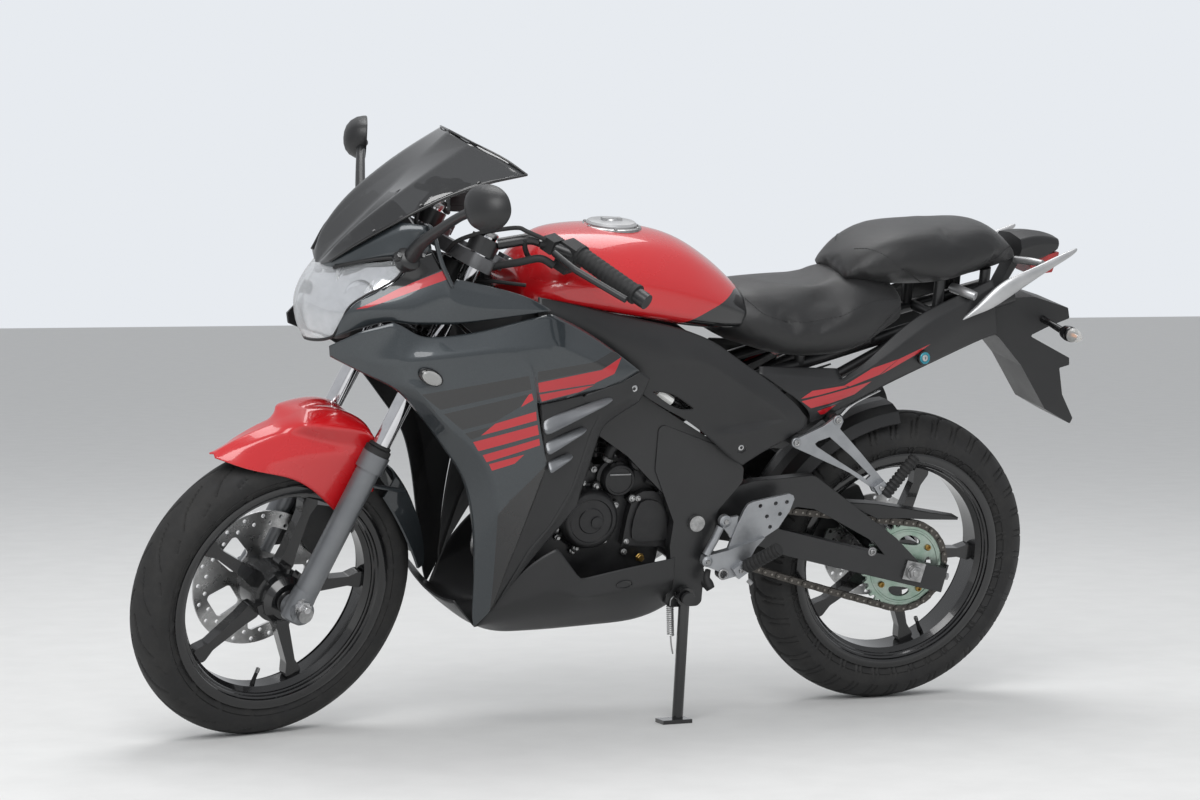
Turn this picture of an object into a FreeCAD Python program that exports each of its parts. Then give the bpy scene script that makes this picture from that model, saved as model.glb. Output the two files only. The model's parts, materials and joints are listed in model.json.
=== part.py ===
import FreeCAD, Part
import math
import os

from FreeCAD import Placement, Rotation, Vector

# A faired sport motorcycle on its side stand, in millimetres.
# It is drawn upright: X runs to the rear, Y to the rider's right and Z up, and the rear
# tyre meets the road at the origin. It is leaned onto the stand when it is placed.

SIZES = [
    # Chassis
    ("wheelbase", 1320),
    ("rake_angle", 25),
    ("fork_offset", 36),
    ("lean_angle", 11.65),
    ("steer_angle", 15.4),
    ("steer_stop_angle", 30),
    # Wheels and tyres
    ("front_tyre_radius", 296),
    ("front_tyre_half_width", 50),
    ("rear_tyre_radius", 307),
    ("rear_tyre_half_width", 65),
    ("tyre_wall", 11),
    ("bead_seat_radius", 218),
    ("rim_flange_height", 12),
    ("front_rim_half_width", 35),
    ("rear_rim_half_width", 46),
    ("spoke_thickness", 24),
    ("front_hub_radius", 54),
    ("rear_hub_radius", 62),
    ("axle_radius", 9),
    ("front_disc_radius", 138),
    ("rear_disc_radius", 110),
    ("disc_thickness", 4.5),
    ("front_disc_offset", 62),
    ("rear_disc_offset", 72),
    # Final drive
    ("sprocket_teeth", 36),
    ("drive_sprocket_teeth", 14),
    ("chain_pitch", 15.875),
    ("sprocket_thickness", 7),
    ("sprocket_offset", 80),
    ("drive_sprocket_setback", 62),
    ("chain_plate_height", 15),
    ("chain_plate_thickness", 3.2),
    ("chain_plate_gap", 11),
    # Fork and steering
    ("fork_half_spacing", 95),
    ("stanchion_radius", 17.5),
    ("slider_radius", 23),
    ("slider_length", 330),
    ("fork_length", 790),
    ("clamp_thickness", 26),
    ("lower_clamp_reach", 560),
    ("upper_clamp_reach", 738),
    ("stem_radius", 14),
    ("head_tube_radius", 30),
    ("bar_radius", 11),
    ("grip_radius", 16.5),
    ("grip_length", 125),
    # Frame and swingarm
    ("spar_half_spacing", 118),
    ("spar_thickness", 34),
    ("pivot_setback", 505),
    ("pivot_height", 436),
    ("pivot_plate_thickness", 26),
    ("pivot_plate_offset", 108),
    ("swingarm_offset", 104),
    ("swingarm_thickness", 24),
    # Engine
    ("engine_half_width", 112),
    ("cylinder_radius", 50),
    ("fin_radius", 72),
    ("fin_count", 9),
    ("fin_pitch", 9),
    ("fin_thickness", 3),
    ("cover_depth", 42),
    # Bodywork
    ("panel_thickness", 4),
    ("screen_thickness", 3.5),
    ("filler_cap_radius", 50),
    ("filler_cap_thickness", 9),
    # Side stand
    ("stand_pivot_setback", 522),
    ("stand_pivot_height", 290),
    ("stand_pivot_offset", 136),
    ("stand_spread", 186),
    ("stand_radius", 11),
    ("stand_foot_length", 62),
    ("stand_foot_width", 40),
    ("stand_foot_thickness", 8),
]

doc = FreeCAD.newDocument("SportBike")
sheet = doc.addObject("Spreadsheet::Sheet", "Sizes")
for row, (alias, value) in enumerate(SIZES, start=1):
    sheet.set("A%d" % row, alias)
    sheet.set("B%d" % row, str(value))
    sheet.setAlias("B%d" % row, alias)
doc.recompute()


def size(alias):
    """The value of one cell of the sheet of sizes."""
    return float(sheet.get(alias))


# The station tables below were drawn at this wheelbase and stretch with the real one.
DRAWN_WHEELBASE = 1320.0
STRETCH = size("wheelbase") / DRAWN_WHEELBASE
RUNNING_GAP = 0.3
PIN_GAP = 0.05
X_AXIS = Vector(1, 0, 0)
Y_AXIS = Vector(0, 1, 0)
Z_AXIS = Vector(0, 0, 1)

nodes = []


# Shared ways of making pieces


def rounded(points, radius=0.0):
    """Lines and tangent arcs round a closed outline. A point may carry its own corner radius."""
    count = len(points)
    corners = []
    for index in range(count):
        here = Vector(points[index][0], points[index][1], 0)
        before = Vector(points[index - 1][0], points[index - 1][1], 0)
        after = Vector(points[(index + 1) % count][0], points[(index + 1) % count][1], 0)
        corner_radius = points[index][2] if len(points[index]) > 2 else radius
        back, ahead = before - here, after - here
        opening = back.getAngle(ahead)
        if corner_radius <= 0 or opening > math.pi - 0.02:
            corners.append((here, None, here))
            continue
        reach = corner_radius / math.tan(opening / 2)
        reach = min(reach, 0.47 * back.Length, 0.47 * ahead.Length)
        bend = reach * math.tan(opening / 2)
        start = here + back.normalize() * reach
        end = here + ahead.normalize() * reach
        inward = (back + ahead).normalize()
        centre = here + inward * (bend / math.sin(opening / 2))
        corners.append((start, centre - inward * bend, end))
    edges = []
    for index, (start, middle, end) in enumerate(corners):
        if middle is not None:
            edges.append(Part.Arc(start, middle, end))
        following = corners[(index + 1) % count][0]
        if end.distanceToPoint(following) > 1e-4:
            edges.append(Part.LineSegment(end, following))
    return edges


def wire_of(edges):
    """One wire through a list of curves."""
    return Part.Wire([edge.toShape() for edge in edges])


def add_body(name):
    """An empty body."""
    body = doc.addObject("PartDesign::Body", name)
    body.Label = name
    return body


def origin_of(body, role):
    """One of a body's own origin planes or axes."""
    return [item for item in body.Origin.OriginFeatures if item.Role == role][0]


def add_sketch(body, name, role, curves, offset=0.0):
    """A sketch on one of the body's origin planes, moved along the plane's normal."""
    sketch = body.newObject("Sketcher::SketchObject", name)
    sketch.AttachmentSupport = (origin_of(body, role), [""])
    sketch.MapMode = "FlatFace"
    sketch.AttachmentOffset = Placement(Vector(0, 0, offset), Rotation())
    sketch.addGeometry(curves, False)
    return sketch


def add_pad(body, name, curves, length, offset=0.0, role="XZ_Plane"):
    """A pad of a side outline. On the XZ plane it grows towards the rider's left."""
    sketch = add_sketch(body, name + "Sketch", role, curves, offset)
    pad = body.newObject("PartDesign::Pad", name + "Pad")
    pad.Profile = sketch
    if isinstance(length, str):
        pad.setExpression("Length", length)
    else:
        pad.Length = length
    sketch.Visibility = False
    body.Tip = pad
    return pad


def add_pocket(body, name, curves, offset=0.0, role="XZ_Plane"):
    """A pocket through everything, both ways from its sketch."""
    sketch = add_sketch(body, name + "Sketch", role, curves, offset)
    pocket = body.newObject("PartDesign::Pocket", name + "Pocket")
    pocket.Profile = sketch
    pocket.Type = "ThroughAll"
    pocket.Midplane = True
    sketch.Visibility = False
    body.Tip = pocket
    return pocket


def add_revolution(body, name, curves):
    """A ring turned about the body's Y axis from a profile of radius across and width up."""
    sketch = add_sketch(body, name + "Sketch", "XY_Plane", curves)
    turned = body.newObject("PartDesign::Revolution", name + "Revolution")
    turned.Profile = sketch
    turned.ReferenceAxis = (sketch, ["V_Axis"])
    turned.Angle = 360.0
    sketch.Visibility = False
    body.Tip = turned
    return turned


def add_polar(body, name, feature, count):
    """A ring of copies of one feature about the body's Y axis."""
    pattern = body.newObject("PartDesign::PolarPattern", name + "Pattern")
    pattern.Originals = [feature]
    pattern.Axis = (origin_of(body, "Y_Axis"), [""])
    pattern.Angle = 360.0
    pattern.Occurrences = count
    body.Tip = pattern
    return pattern


def circle(radius, x=0.0, y=0.0):
    """A circle for a sketch."""
    return Part.Circle(Vector(x, y, 0), Vector(0, 0, 1), radius)


def add_shape(name, shape):
    """A feature that holds a shape made with lofts and cuts."""
    feature = doc.addObject("Part::Feature", name)
    feature.Label = name
    feature.Shape = shape
    return feature


def mirrored_pair(name, source):
    """A left piece and its mirror image on the right, in one compound."""
    mirror = doc.addObject("Part::Mirroring", name + "Mirror")
    mirror.Source = source
    mirror.Base = Vector(0, 0, 0)
    mirror.Normal = Y_AXIS
    both = doc.addObject("Part::Compound", name)
    both.Links = [source, mirror]
    both.Label = name
    source.Label = name + "_left"
    return both


def place(feature, frame, at=None):
    """Registers a finished sub-part: the frame it belongs to, and where its own origin lies."""
    nodes.append((feature, frame, (at or Placement()).multiply(feature.Placement)))
    return feature


def loft(wires, ruled=False):
    """A solid through closed wires."""
    solid = Part.makeLoft(wires, True, ruled)
    if solid.Volume < 0:
        solid.reverse()
    return solid


def polygon(points):
    """A closed wire of straight edges through 3D points."""
    return Part.makePolygon([Vector(*point) for point in points] + [Vector(*points[0])])


def side_prism(outline, radius, low, high):
    """A prism across the machine from a side outline, between two Y values."""
    face = Part.Face(wire_of(rounded([(along(p[0]),) + tuple(p[1:]) for p in outline], radius)))
    face.rotate(Vector(0, 0, 0), X_AXIS, 90)
    face.translate(Vector(0, low, 0))
    return face.extrude(Vector(0, high - low, 0))


def along(x):
    """A drawn X station on the real wheelbase."""
    return x * STRETCH


def rod(start, end, radius):
    """A round bar between two points."""
    start, end = Vector(*start), Vector(*end)
    return Part.makeCylinder(radius, (end - start).Length, start, end - start)


def bent_tube(points, radius, bend):
    """A round tube along straight runs joined by tangent arcs, and its path."""
    points = [Vector(*point) for point in points]
    edges = []
    last = points[0]
    for index in range(1, len(points) - 1):
        before, here, after = points[index - 1], points[index], points[index + 1]
        back, ahead = (before - here), (after - here)
        opening = back.getAngle(ahead)
        reach = min(bend / math.tan(opening / 2), 0.45 * back.Length, 0.45 * ahead.Length)
        turn = reach * math.tan(opening / 2)
        start, end = here + back.normalize() * reach, here + ahead.normalize() * reach
        inward = (back + ahead).normalize()
        middle = here + inward * (turn / math.sin(opening / 2) - turn)
        edges.append(Part.LineSegment(last, start).toShape())
        edges.append(Part.Arc(start, middle, end).toShape())
        last = end
    edges.append(Part.LineSegment(last, points[-1]).toShape())
    path = Part.Wire(edges)
    first = edges[0].tangentAt(edges[0].FirstParameter)
    section = Part.Wire([Part.Circle(points[0], first, radius).toShape()])
    return path.makePipeShell([section], True, True)


# Where the machine stands: the lean, the steering and the stand

rake = math.radians(size("rake_angle"))
lean = math.radians(size("lean_angle"))
axle_height_front = size("front_tyre_radius")
steering_axis = Vector(math.sin(rake), 0, math.cos(rake))
front_axle = Vector(-size("wheelbase"), 0, axle_height_front)
# A point of the steering axis, level with the front axle's own perpendicular.
steering_base = front_axle + Vector(math.cos(rake), 0, -math.sin(rake)) * size("fork_offset")
rear_axle = Vector(0, 0, size("rear_tyre_radius"))


def on_fork(reach, side=0.0, ahead=0.0):
    """A point a distance up the fork from the front axle, and ahead of the fork's own line."""
    forward = Vector(-math.cos(rake), 0, math.sin(rake))
    return front_axle + steering_axis * reach + Vector(0, side, 0) + forward * ahead


steer_turn = Placement(Vector(), Rotation(steering_axis, size("steer_angle")), steering_base)


def lowest(centre, axle, outer, crown):
    """Height of the lowest point of a tyre with a round crown."""
    return centre.z - (outer - crown) * math.sqrt(1 - axle.z**2) - crown


def settled():
    """The placement in which both tyres touch the road, with the machine leaned to the left."""
    pitch = 0.0
    lift = 0.0
    for _ in range(8):
        turn = Rotation(X_AXIS, size("lean_angle")).multiply(Rotation(Y_AXIS, math.degrees(pitch)))
        machine = Placement(Vector(0, 0, lift), turn)
        steered = machine.multiply(steer_turn)
        rear = lowest(
            machine.multVec(rear_axle),
            machine.Rotation.multVec(Y_AXIS),
            size("rear_tyre_radius"),
            size("rear_tyre_half_width"),
        )
        front = lowest(
            steered.multVec(front_axle),
            steered.Rotation.multVec(Y_AXIS),
            size("front_tyre_radius"),
            size("front_tyre_half_width"),
        )
        lift -= rear
        pitch -= (front - rear) / size("wheelbase")
    return Placement(Vector(0, 0, lift), turn)


machine_place = settled()
road = machine_place.inverse()


# Wheels, tyres, discs and sprocket, each about its own axle


def make_tyre(name, outer, half_width, rim_half_width):
    """A hollow tyre with a round crown, open at the beads."""
    bead = size("bead_seat_radius")
    flange = size("bead_seat_radius") + size("rim_flange_height")
    crown_start = math.radians(68)
    crown = half_width
    centre = outer - crown
    shoulder = (centre + crown * math.cos(crown_start), crown * math.sin(crown_start))
    wall = size("tyre_wall")
    inside = rim_half_width - RUNNING_GAP
    body = add_body(name)
    profile = []

    def point(pair, side):
        return Vector(pair[0], pair[1] * side, 0)

    foot = (flange + 3, rim_half_width + 5)
    bulge = ((shoulder[0] + foot[0]) / 2, half_width * 0.985)
    heel = (flange + 1, inside)
    toe = (bead, inside)
    inner_toe = (bead, inside - wall)
    inner_wall = (centre - 2, half_width - wall - 6)
    inner_top = (outer - 1.3 * wall, 0)
    profile.append(Part.Arc(point(shoulder, -1), Vector(outer, 0, 0), point(shoulder, 1)))
    for side, order in ((1, 1), (-1, -1)):
        runs = [
            Part.Arc(point(shoulder, side), point(bulge, side), point(foot, side)),
            Part.LineSegment(point(foot, side), point(heel, side)),
            Part.LineSegment(point(heel, side), point(toe, side)),
            Part.LineSegment(point(toe, side), point(inner_toe, side)),
            Part.LineSegment(point(inner_toe, side), point(inner_wall, side)),
        ]
        profile.extend(runs)
    profile.append(
        Part.Arc(point(inner_wall, 1), Vector(inner_top[0], 0, 0), point(inner_wall, -1))
    )
    add_revolution(body, name, profile)
    return body


def make_wheel(name, rim_half_width, hub_radius, left_seat, right_seat):
    """A cast wheel: hub with a seat at each side, five spokes and a drop-centre rim."""
    body = add_body(name)
    bore = size("axle_radius") + PIN_GAP
    hub = [
        (bore, -left_seat[1] - 6),
        (18, -left_seat[1] - 6),
        (18, -left_seat[1]),
        (left_seat[0], -left_seat[1]),
        (left_seat[0] + 4, -34),
        (hub_radius, -30),
        (hub_radius, 30),
        (right_seat[0] + 4, 34),
        (right_seat[0], right_seat[1]),
        (18, right_seat[1]),
        (18, right_seat[1] + 6),
        (bore, right_seat[1] + 6),
    ]
    add_revolution(body, name + "Hub", rounded(hub))
    seat = size("bead_seat_radius")
    well = seat - 16
    inner = well - 7
    spoke = [
        (hub_radius - 8, -19),
        (hub_radius + 30, -13),
        (inner - 34, -9.5),
        (inner + 3, -21),
        (inner + 3, 21),
        (inner - 34, 9.5),
        (hub_radius + 30, 13),
        (hub_radius - 8, 19),
    ]
    thickness = size("spoke_thickness")
    pad = add_pad(body, name + "Spoke", rounded(spoke, 12), thickness, -thickness / 2)
    add_polar(body, name + "Spoke", pad, 5)
    flange = seat + size("rim_flange_height")
    wide = rim_half_width
    outer_half = [
        (flange, wide + 7),
        (flange, wide + 1),
        (seat, wide, 0.0),
        (seat, wide - 12),
        (well, wide - 20),
    ]
    inner_half = [
        (inner, wide - 20),
        (seat - 8, wide - 7),
        (seat - 4, wide + 4),
        (flange - 6, wide + 7),
    ]
    ring = [(p[0], -p[1]) + tuple(p[2:]) for p in outer_half] + outer_half[::-1]
    ring += inner_half[::-1] + [(r, -w) for r, w in inner_half]
    add_revolution(body, name + "Rim", rounded(ring))
    return body


def make_disc(name, outer, land, hub, offset):
    """A brake disc: a drilled ring on five arms about its hub, on the right of the wheel."""
    body = add_body(name)
    ring_curves = [circle(outer), circle(hub)]
    # The pad grows to the left of its sketch, so the sketch lies on the disc's outer face.
    outside = -(offset + size("disc_thickness") / 2)
    add_pad(body, name, ring_curves, "Sizes.disc_thickness", outside)
    window = [
        (outer - land, -0.42 * (outer - land)),
        (outer - land + 2, 0.1 * outer),
        (54, 0.14 * outer),
        (52, -0.22 * outer),
    ]
    pocket = add_pocket(body, name + "Window", rounded(window, 9))
    add_polar(body, name + "Window", pocket, 5)
    for index, (share, turn) in enumerate(((0.28, 0.0), (0.72, 0.16))):
        radius = outer - land * share
        hole = [circle(4.0, radius * math.cos(turn), radius * math.sin(turn))]
        drilled = add_pocket(body, "%sHole%d" % (name, index), hole)
        add_polar(body, "%sHole%d" % (name, index), drilled, 20)
    return body


sprocket_radius = size("chain_pitch") / (2 * math.sin(math.pi / size("sprocket_teeth")))
drive_radius = size("chain_pitch") / (2 * math.sin(math.pi / size("drive_sprocket_teeth")))


def tooth_ring(pitch_radius, count):
    """The outline of a sprocket: a root and a blunt tip for each tooth."""
    root = pitch_radius - 5.2
    tip = pitch_radius + 3.6
    points = []
    for index in range(int(count)):
        for radius, share in ((root, -0.26), (root, 0.0), (tip, 0.36), (tip, 0.64)):
            turn = 2 * math.pi * (index + share) / count
            points.append((radius * math.cos(turn), radius * math.sin(turn)))
    return rounded(points)


def make_sprocket():
    """The driven sprocket, with curved windows between its bolts."""
    name = "rear_sprocket"
    body = add_body(name)
    half = size("sprocket_thickness") / 2
    curves = tooth_ring(sprocket_radius, size("sprocket_teeth"))
    inside = circle(20)
    add_pad(body, name, curves + [inside], "Sizes.sprocket_thickness", size("sprocket_offset") - half)
    window = [
        (sprocket_radius - 15, -24),
        (sprocket_radius - 13, 24),
        (sprocket_radius - 38, 15),
        (sprocket_radius - 40, -15),
    ]
    pocket = add_pocket(body, name + "Window", rounded(window, 8))
    add_polar(body, name + "Window", pocket, 5)
    return body


front_wheel_at = Placement(front_axle, Rotation())
rear_wheel_at = Placement(rear_axle, Rotation())
place(
    make_tyre(
        "front_tyre",
        size("front_tyre_radius"),
        size("front_tyre_half_width"),
        size("front_rim_half_width"),
    ),
    "steered",
    front_wheel_at,
)
place(
    make_wheel(
        "front_wheel",
        size("front_rim_half_width"),
        size("front_hub_radius"),
        (34, 60),
        (46, size("front_disc_offset") - size("disc_thickness") / 2),
    ),
    "steered",
    front_wheel_at,
)
place(
    make_disc("front_brake_disc", size("front_disc_radius"), 34, 20, size("front_disc_offset")),
    "steered",
    front_wheel_at,
)
place(
    make_tyre(
        "rear_tyre",
        size("rear_tyre_radius"),
        size("rear_tyre_half_width"),
        size("rear_rim_half_width"),
    ),
    "machine",
    rear_wheel_at,
)
place(
    make_wheel(
        "rear_wheel",
        size("rear_rim_half_width"),
        size("rear_hub_radius"),
        (54, size("sprocket_offset") - size("sprocket_thickness") / 2),
        (46, size("rear_disc_offset") - size("disc_thickness") / 2),
    ),
    "machine",
    rear_wheel_at,
)
place(
    make_disc("rear_brake_disc", size("rear_disc_radius"), 30, 20, size("rear_disc_offset")),
    "machine",
    rear_wheel_at,
)
place(make_sprocket(), "machine", rear_wheel_at)


# Pieces made of bars and plates


def add_bar(name, start, end, radius, bore=None):
    """A round bar between two points as a cylinder, or a tube when it has a bore."""
    start, end = Vector(*start), Vector(*end)
    turn = Rotation(Z_AXIS, end - start)
    outside = doc.addObject("Part::Cylinder", name)
    bind(outside, "Radius", radius)
    outside.Height = (end - start).Length
    outside.Placement = Placement(start, turn)
    if bore is None:
        return outside
    inside = doc.addObject("Part::Cylinder", name + "Bore")
    bind(inside, "Radius", bore)
    inside.Height = (end - start).Length + 2
    inside.Placement = Placement(start - (end - start).normalize(), turn)
    return add_cut(name + "Tube", outside, [inside])


def bind(item, field, value):
    """Sets a length from a number, or binds it to the sheet of sizes."""
    if isinstance(value, str):
        item.setExpression(field, value)
    else:
        setattr(item, field, value)


def add_cut(name, base, tools):
    """One solid less the others."""
    result = base
    for index, tool in enumerate(tools):
        cut = doc.addObject("Part::Cut", "%sCut%d" % (name, index))
        cut.Base, cut.Tool = result, tool
        result = cut
    result.Label = name
    return result


def add_fuse(name, pieces):
    """Several overlapping pieces as one solid."""
    whole = doc.addObject("Part::MultiFuse", name)
    whole.Shapes = pieces
    whole.Refine = False
    whole.Label = name
    return whole


def add_plate(name, outline, near, far, radius=6, holes=()):
    """A plate cut to a side outline between two distances across the machine."""
    body = add_body(name)
    points = [(along(p[0]),) + tuple(p[1:]) for p in outline]
    curves = rounded(points, radius)
    for x, z, r in holes:
        curves.append(circle(r, along(x), z))
    add_pad(body, name, curves, far - near, -far)
    return body


def as_tuple(vector):
    return (vector.x, vector.y, vector.z)


def mirror_points(points):
    """The same points on the other side of the machine."""
    return [(x, -y, z) for x, y, z in points]


# Fork, handlebars, front mudguard and what else turns with the steering

half = size("fork_half_spacing")
upper, lower = size("upper_clamp_reach"), size("lower_clamp_reach")
thick = size("clamp_thickness")


def steering_point(reach, side=0.0, behind=0.0):
    """A point a distance up the steering axis, to the side of it and behind it."""
    back = Vector(math.cos(rake), 0, -math.sin(rake))
    return steering_base + steering_axis * reach + Vector(0, side, 0) + back * behind


slider_floor = 60
sliders, stanchions = [], []
for label, side in (("Left", -half), ("Right", half)):
    tube = add_bar(
        "Slider" + label,
        as_tuple(on_fork(-18, side)),
        as_tuple(on_fork(size("slider_length"), side)),
        "Sizes.slider_radius",
    )
    lug = add_bar(
        "AxleLug" + label,
        as_tuple(front_axle + Vector(0, side - 22, 0)),
        as_tuple(front_axle + Vector(0, side + 22, 0)),
        24,
    )
    collar = add_bar(
        "SliderCollar" + label,
        as_tuple(on_fork(size("slider_length") - 34, side)),
        as_tuple(on_fork(size("slider_length"), side)),
        27,
    )
    well = add_bar(
        "SliderWell" + label,
        as_tuple(on_fork(slider_floor, side)),
        as_tuple(on_fork(size("slider_length") + 5, side)),
        size("stanchion_radius") + PIN_GAP,
    )
    hole = add_bar(
        "AxleHole" + label,
        as_tuple(front_axle + Vector(0, side - 40, 0)),
        as_tuple(front_axle + Vector(0, side + 40, 0)),
        size("axle_radius") + PIN_GAP,
    )
    leg = add_fuse("SliderLeg" + label, [tube, lug, collar])
    sliders.append(add_cut("slider_" + label.lower(), leg, [well, hole]))
    stanchions.append(
        add_bar(
            "Stanchion" + label,
            as_tuple(on_fork(slider_floor, side)),
            as_tuple(on_fork(size("fork_length"), side)),
            "Sizes.stanchion_radius",
        )
    )


def add_group(name, pieces):
    """Like pieces that share one node."""
    group = doc.addObject("Part::Compound", name)
    group.Links = pieces
    group.Label = name
    return group


place(add_group("fork_sliders", sliders), "steered")
place(add_group("fork_stanchions", stanchions), "steered")


def make_clamp(name, reach):
    """A fork clamp: a plate about both fork tubes, bored for the steering stem."""
    body = add_body(name + "Plate")
    ahead = -size("fork_offset")
    outline = [
        (ahead - 20, 0, 60),
        (ahead - 30, half - 20),
        (ahead - 26, half + 30),
        (ahead + 28, half + 30),
        (ahead + 34, half - 14),
        (34, 26),
        (34, -26),
        (ahead + 34, -half + 14),
        (ahead + 28, -half - 30),
        (ahead - 26, -half - 30),
        (ahead - 30, -half + 20),
    ]
    holes = [
        circle(size("stanchion_radius"), ahead, half),
        circle(size("stanchion_radius"), ahead, -half),
    ]
    add_pad(body, name, rounded(outline, 16) + holes, "Sizes.clamp_thickness", -thick / 2, "XY_Plane")
    body.Placement = Placement(steering_point(reach), Rotation(Z_AXIS, steering_axis))
    return body


stem = add_bar(
    "SteeringStem",
    as_tuple(steering_point(lower - thick / 2 + 4)),
    as_tuple(steering_point(upper - thick / 2)),
    "Sizes.stem_radius",
)
place(add_fuse("lower_fork_clamp", [make_clamp("LowerClamp", lower), stem]), "steered")
nut = add_bar("StemNut", as_tuple(steering_point(upper)), as_tuple(steering_point(upper + thick / 2 + 8)), 17)
place(add_fuse("upper_fork_clamp", [make_clamp("UpperClamp", upper), nut]), "steered")

axle = add_bar("FrontAxleRod", (front_axle.x, -129, front_axle.z), (front_axle.x, 129, front_axle.z),
               "Sizes.axle_radius")
heads = [
    add_bar("FrontAxleHead%d" % side, (front_axle.x, 118.3 * side, front_axle.z),
            (front_axle.x, 129 * side, front_axle.z), 15)
    for side in (-1, 1)
]
place(add_fuse("front_axle", [axle] + heads), "steered")

# Handlebars: a collar on each fork tube and a bent bar
bars, grips, housings, levers = [], [], [], []
for label, side in (("Left", -1), ("Right", 1)):
    points = [(-978, 118, 1003), (-925, 150, 1021), (-862, 218, 1003), (-814, 358, 964)]
    points = [(along(x), y * side, z) for x, y, z in points]
    ring = add_bar(
        "BarCollar" + label,
        as_tuple(on_fork(upper + thick / 2 + 3, half * side)),
        as_tuple(on_fork(size("fork_length") - 4, half * side)),
        29,
    )
    bore = add_bar(
        "BarCollarBore" + label,
        as_tuple(on_fork(upper, half * side)),
        as_tuple(on_fork(size("fork_length") + 4, half * side)),
        "Sizes.stanchion_radius",
    )
    tube = add_shape("BarTube" + label, bent_tube(points, size("bar_radius"), 40))
    whole = add_fuse("BarWhole" + label, [ring, tube])
    bars.append(add_cut("bar_" + label.lower(), whole, [bore]))
    end, before = Vector(*points[3]), Vector(*points[2])
    run = (end - before).normalize()
    grip_start = end - run * (size("grip_length") + 4)
    bar_sleeve = "Sizes.bar_radius"
    grips.append(
        add_bar("Grip" + label, as_tuple(grip_start), as_tuple(end - run * 4), "Sizes.grip_radius",
                bar_sleeve)
    )
    cap = add_bar("BarEnd" + label, as_tuple(end), as_tuple(end + run * 16), 15)
    bars.append(cap)
    inner = grip_start - run * 46
    switch = add_bar("Switch" + label, as_tuple(inner), as_tuple(grip_start - run * 2), 21)
    bar_space = add_shape("BarSpace" + label, bent_tube(points, size("bar_radius"), 40))
    ahead = Vector(-40, 0, 4)
    pivot = inner + Vector(-44, 0, 2) + run * 8
    blade = [pivot, pivot + run * 60 + Vector(-8, 0, 0), pivot + run * 172 + Vector(6, 0, 0)]
    perch_ends = (as_tuple(pivot - run * 12 + Vector(8, 0, 0)), as_tuple(inner + run * 12))
    perch = rod(*perch_ends, 9)
    lever = bent_tube([as_tuple(p) for p in blade], 6.5, 60)
    levers.append(add_shape("LeverBlade" + label, max(lever.cut(perch).Solids, key=lambda s: s.Volume)))
    housings.append(add_cut("Housing" + label, add_fuse("HousingWhole" + label, [
        switch, add_bar("Perch" + label, *perch_ends, 9)]), [bar_space]))
place(add_group("handlebars", bars), "steered")
place(add_group("handlebar_grips", grips), "steered")
place(add_group("switch_housings", housings), "steered")
place(add_group("control_levers", levers), "steered")

# Front brake caliper on the right fork leg
caliper = add_plate(
    "CaliperBlock",
    [(-1262, 398), (-1240, 448), (-1176, 432), (-1140, 372), (-1160, 332), (-1212, 336)],
    44,
    92,
    12,
)
slot = size("front_disc_offset")
slot_box = add_bar("CaliperSlot", (front_axle.x, slot - 7.5, front_axle.z),
                   (front_axle.x, slot + 7.5, front_axle.z), size("front_disc_radius") + 6)
bracket = add_plate("CaliperBracket", [(-1290, 350), (-1268, 420), (-1200, 420), (-1190, 350)], 80, 92, 8)
block = add_fuse("CaliperWhole", [caliper, bracket])
leg_space = add_bar("CaliperLegSpace", as_tuple(on_fork(0, half)), as_tuple(on_fork(300, half)),
                    "Sizes.slider_radius")
place(add_cut("front_brake_caliper", block, [slot_box, leg_space]), "steered")


def ring_shell(centre, stations, thickness):
    """A thin skin wrapped round a wheel. Each station is an angle and a half section."""
    wires = []
    for degrees, half_section in stations:
        turn = math.radians(degrees)
        out = Vector(math.cos(turn), 0, math.sin(turn))
        outer = [(r, y) for r, y in half_section]
        inner = [(r - thickness, y - thickness if y > 1 else 0.0) for r, y in half_section]
        loop = [(r, -y) for r, y in outer[::-1]] + outer[1:]
        loop += inner[::-1] + [(r, -y) for r, y in inner[1:]]
        wires.append(
            Part.makePolygon([centre + out * r + Vector(0, y, 0) for r, y in loop + loop[:1]])
        )
    return loft(wires)


guard_stations = [
    (122, [(318, 0), (316, 20), (308, 44), (300, 58)]),
    (108, [(338, 0), (334, 24), (318, 52), (290, 66)]),
    (88, [(370, 0), (362, 26), (338, 58), (262, 72)]),
    (70, [(368, 0), (360, 26), (338, 60), (226, 72)]),
    (58, [(352, 0), (348, 26), (332, 58), (200, 72)]),
    (50, [(340, 0), (338, 26), (326, 56), (210, 70)]),
]
guard = ring_shell(front_axle, guard_stations, size("panel_thickness"))
skirt = side_prism(
    [(-1530, 640), (-1510, 560), (-1440, 575), (-1330, 551), (-1262, 508), (-1226, 440),
     (-1190, 440), (-1140, 600), (-1150, 640), (-1240, 720), (-1400, 720)], 8, -90, 90)
guard = guard.common(skirt)


def fork_lugs(shape, places):
    """A guard with round lugs that reach out to both fork legs."""
    for reach, start, radius in places:
        for side in (-1, 1):
            at = on_fork(reach, start * side)
            lug = Part.makeCylinder(radius, half - start, at, Vector(0, side, 0))
            leg = Part.makeCylinder(size("slider_radius"), 700, on_fork(-100, half * side), steering_axis)
            shape = shape.fuse(lug.cut(leg))
    return shape


place(add_shape("front_mudguard", fork_lugs(guard, [(205, 66, 9), (262, 60, 9)])), "steered")

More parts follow.
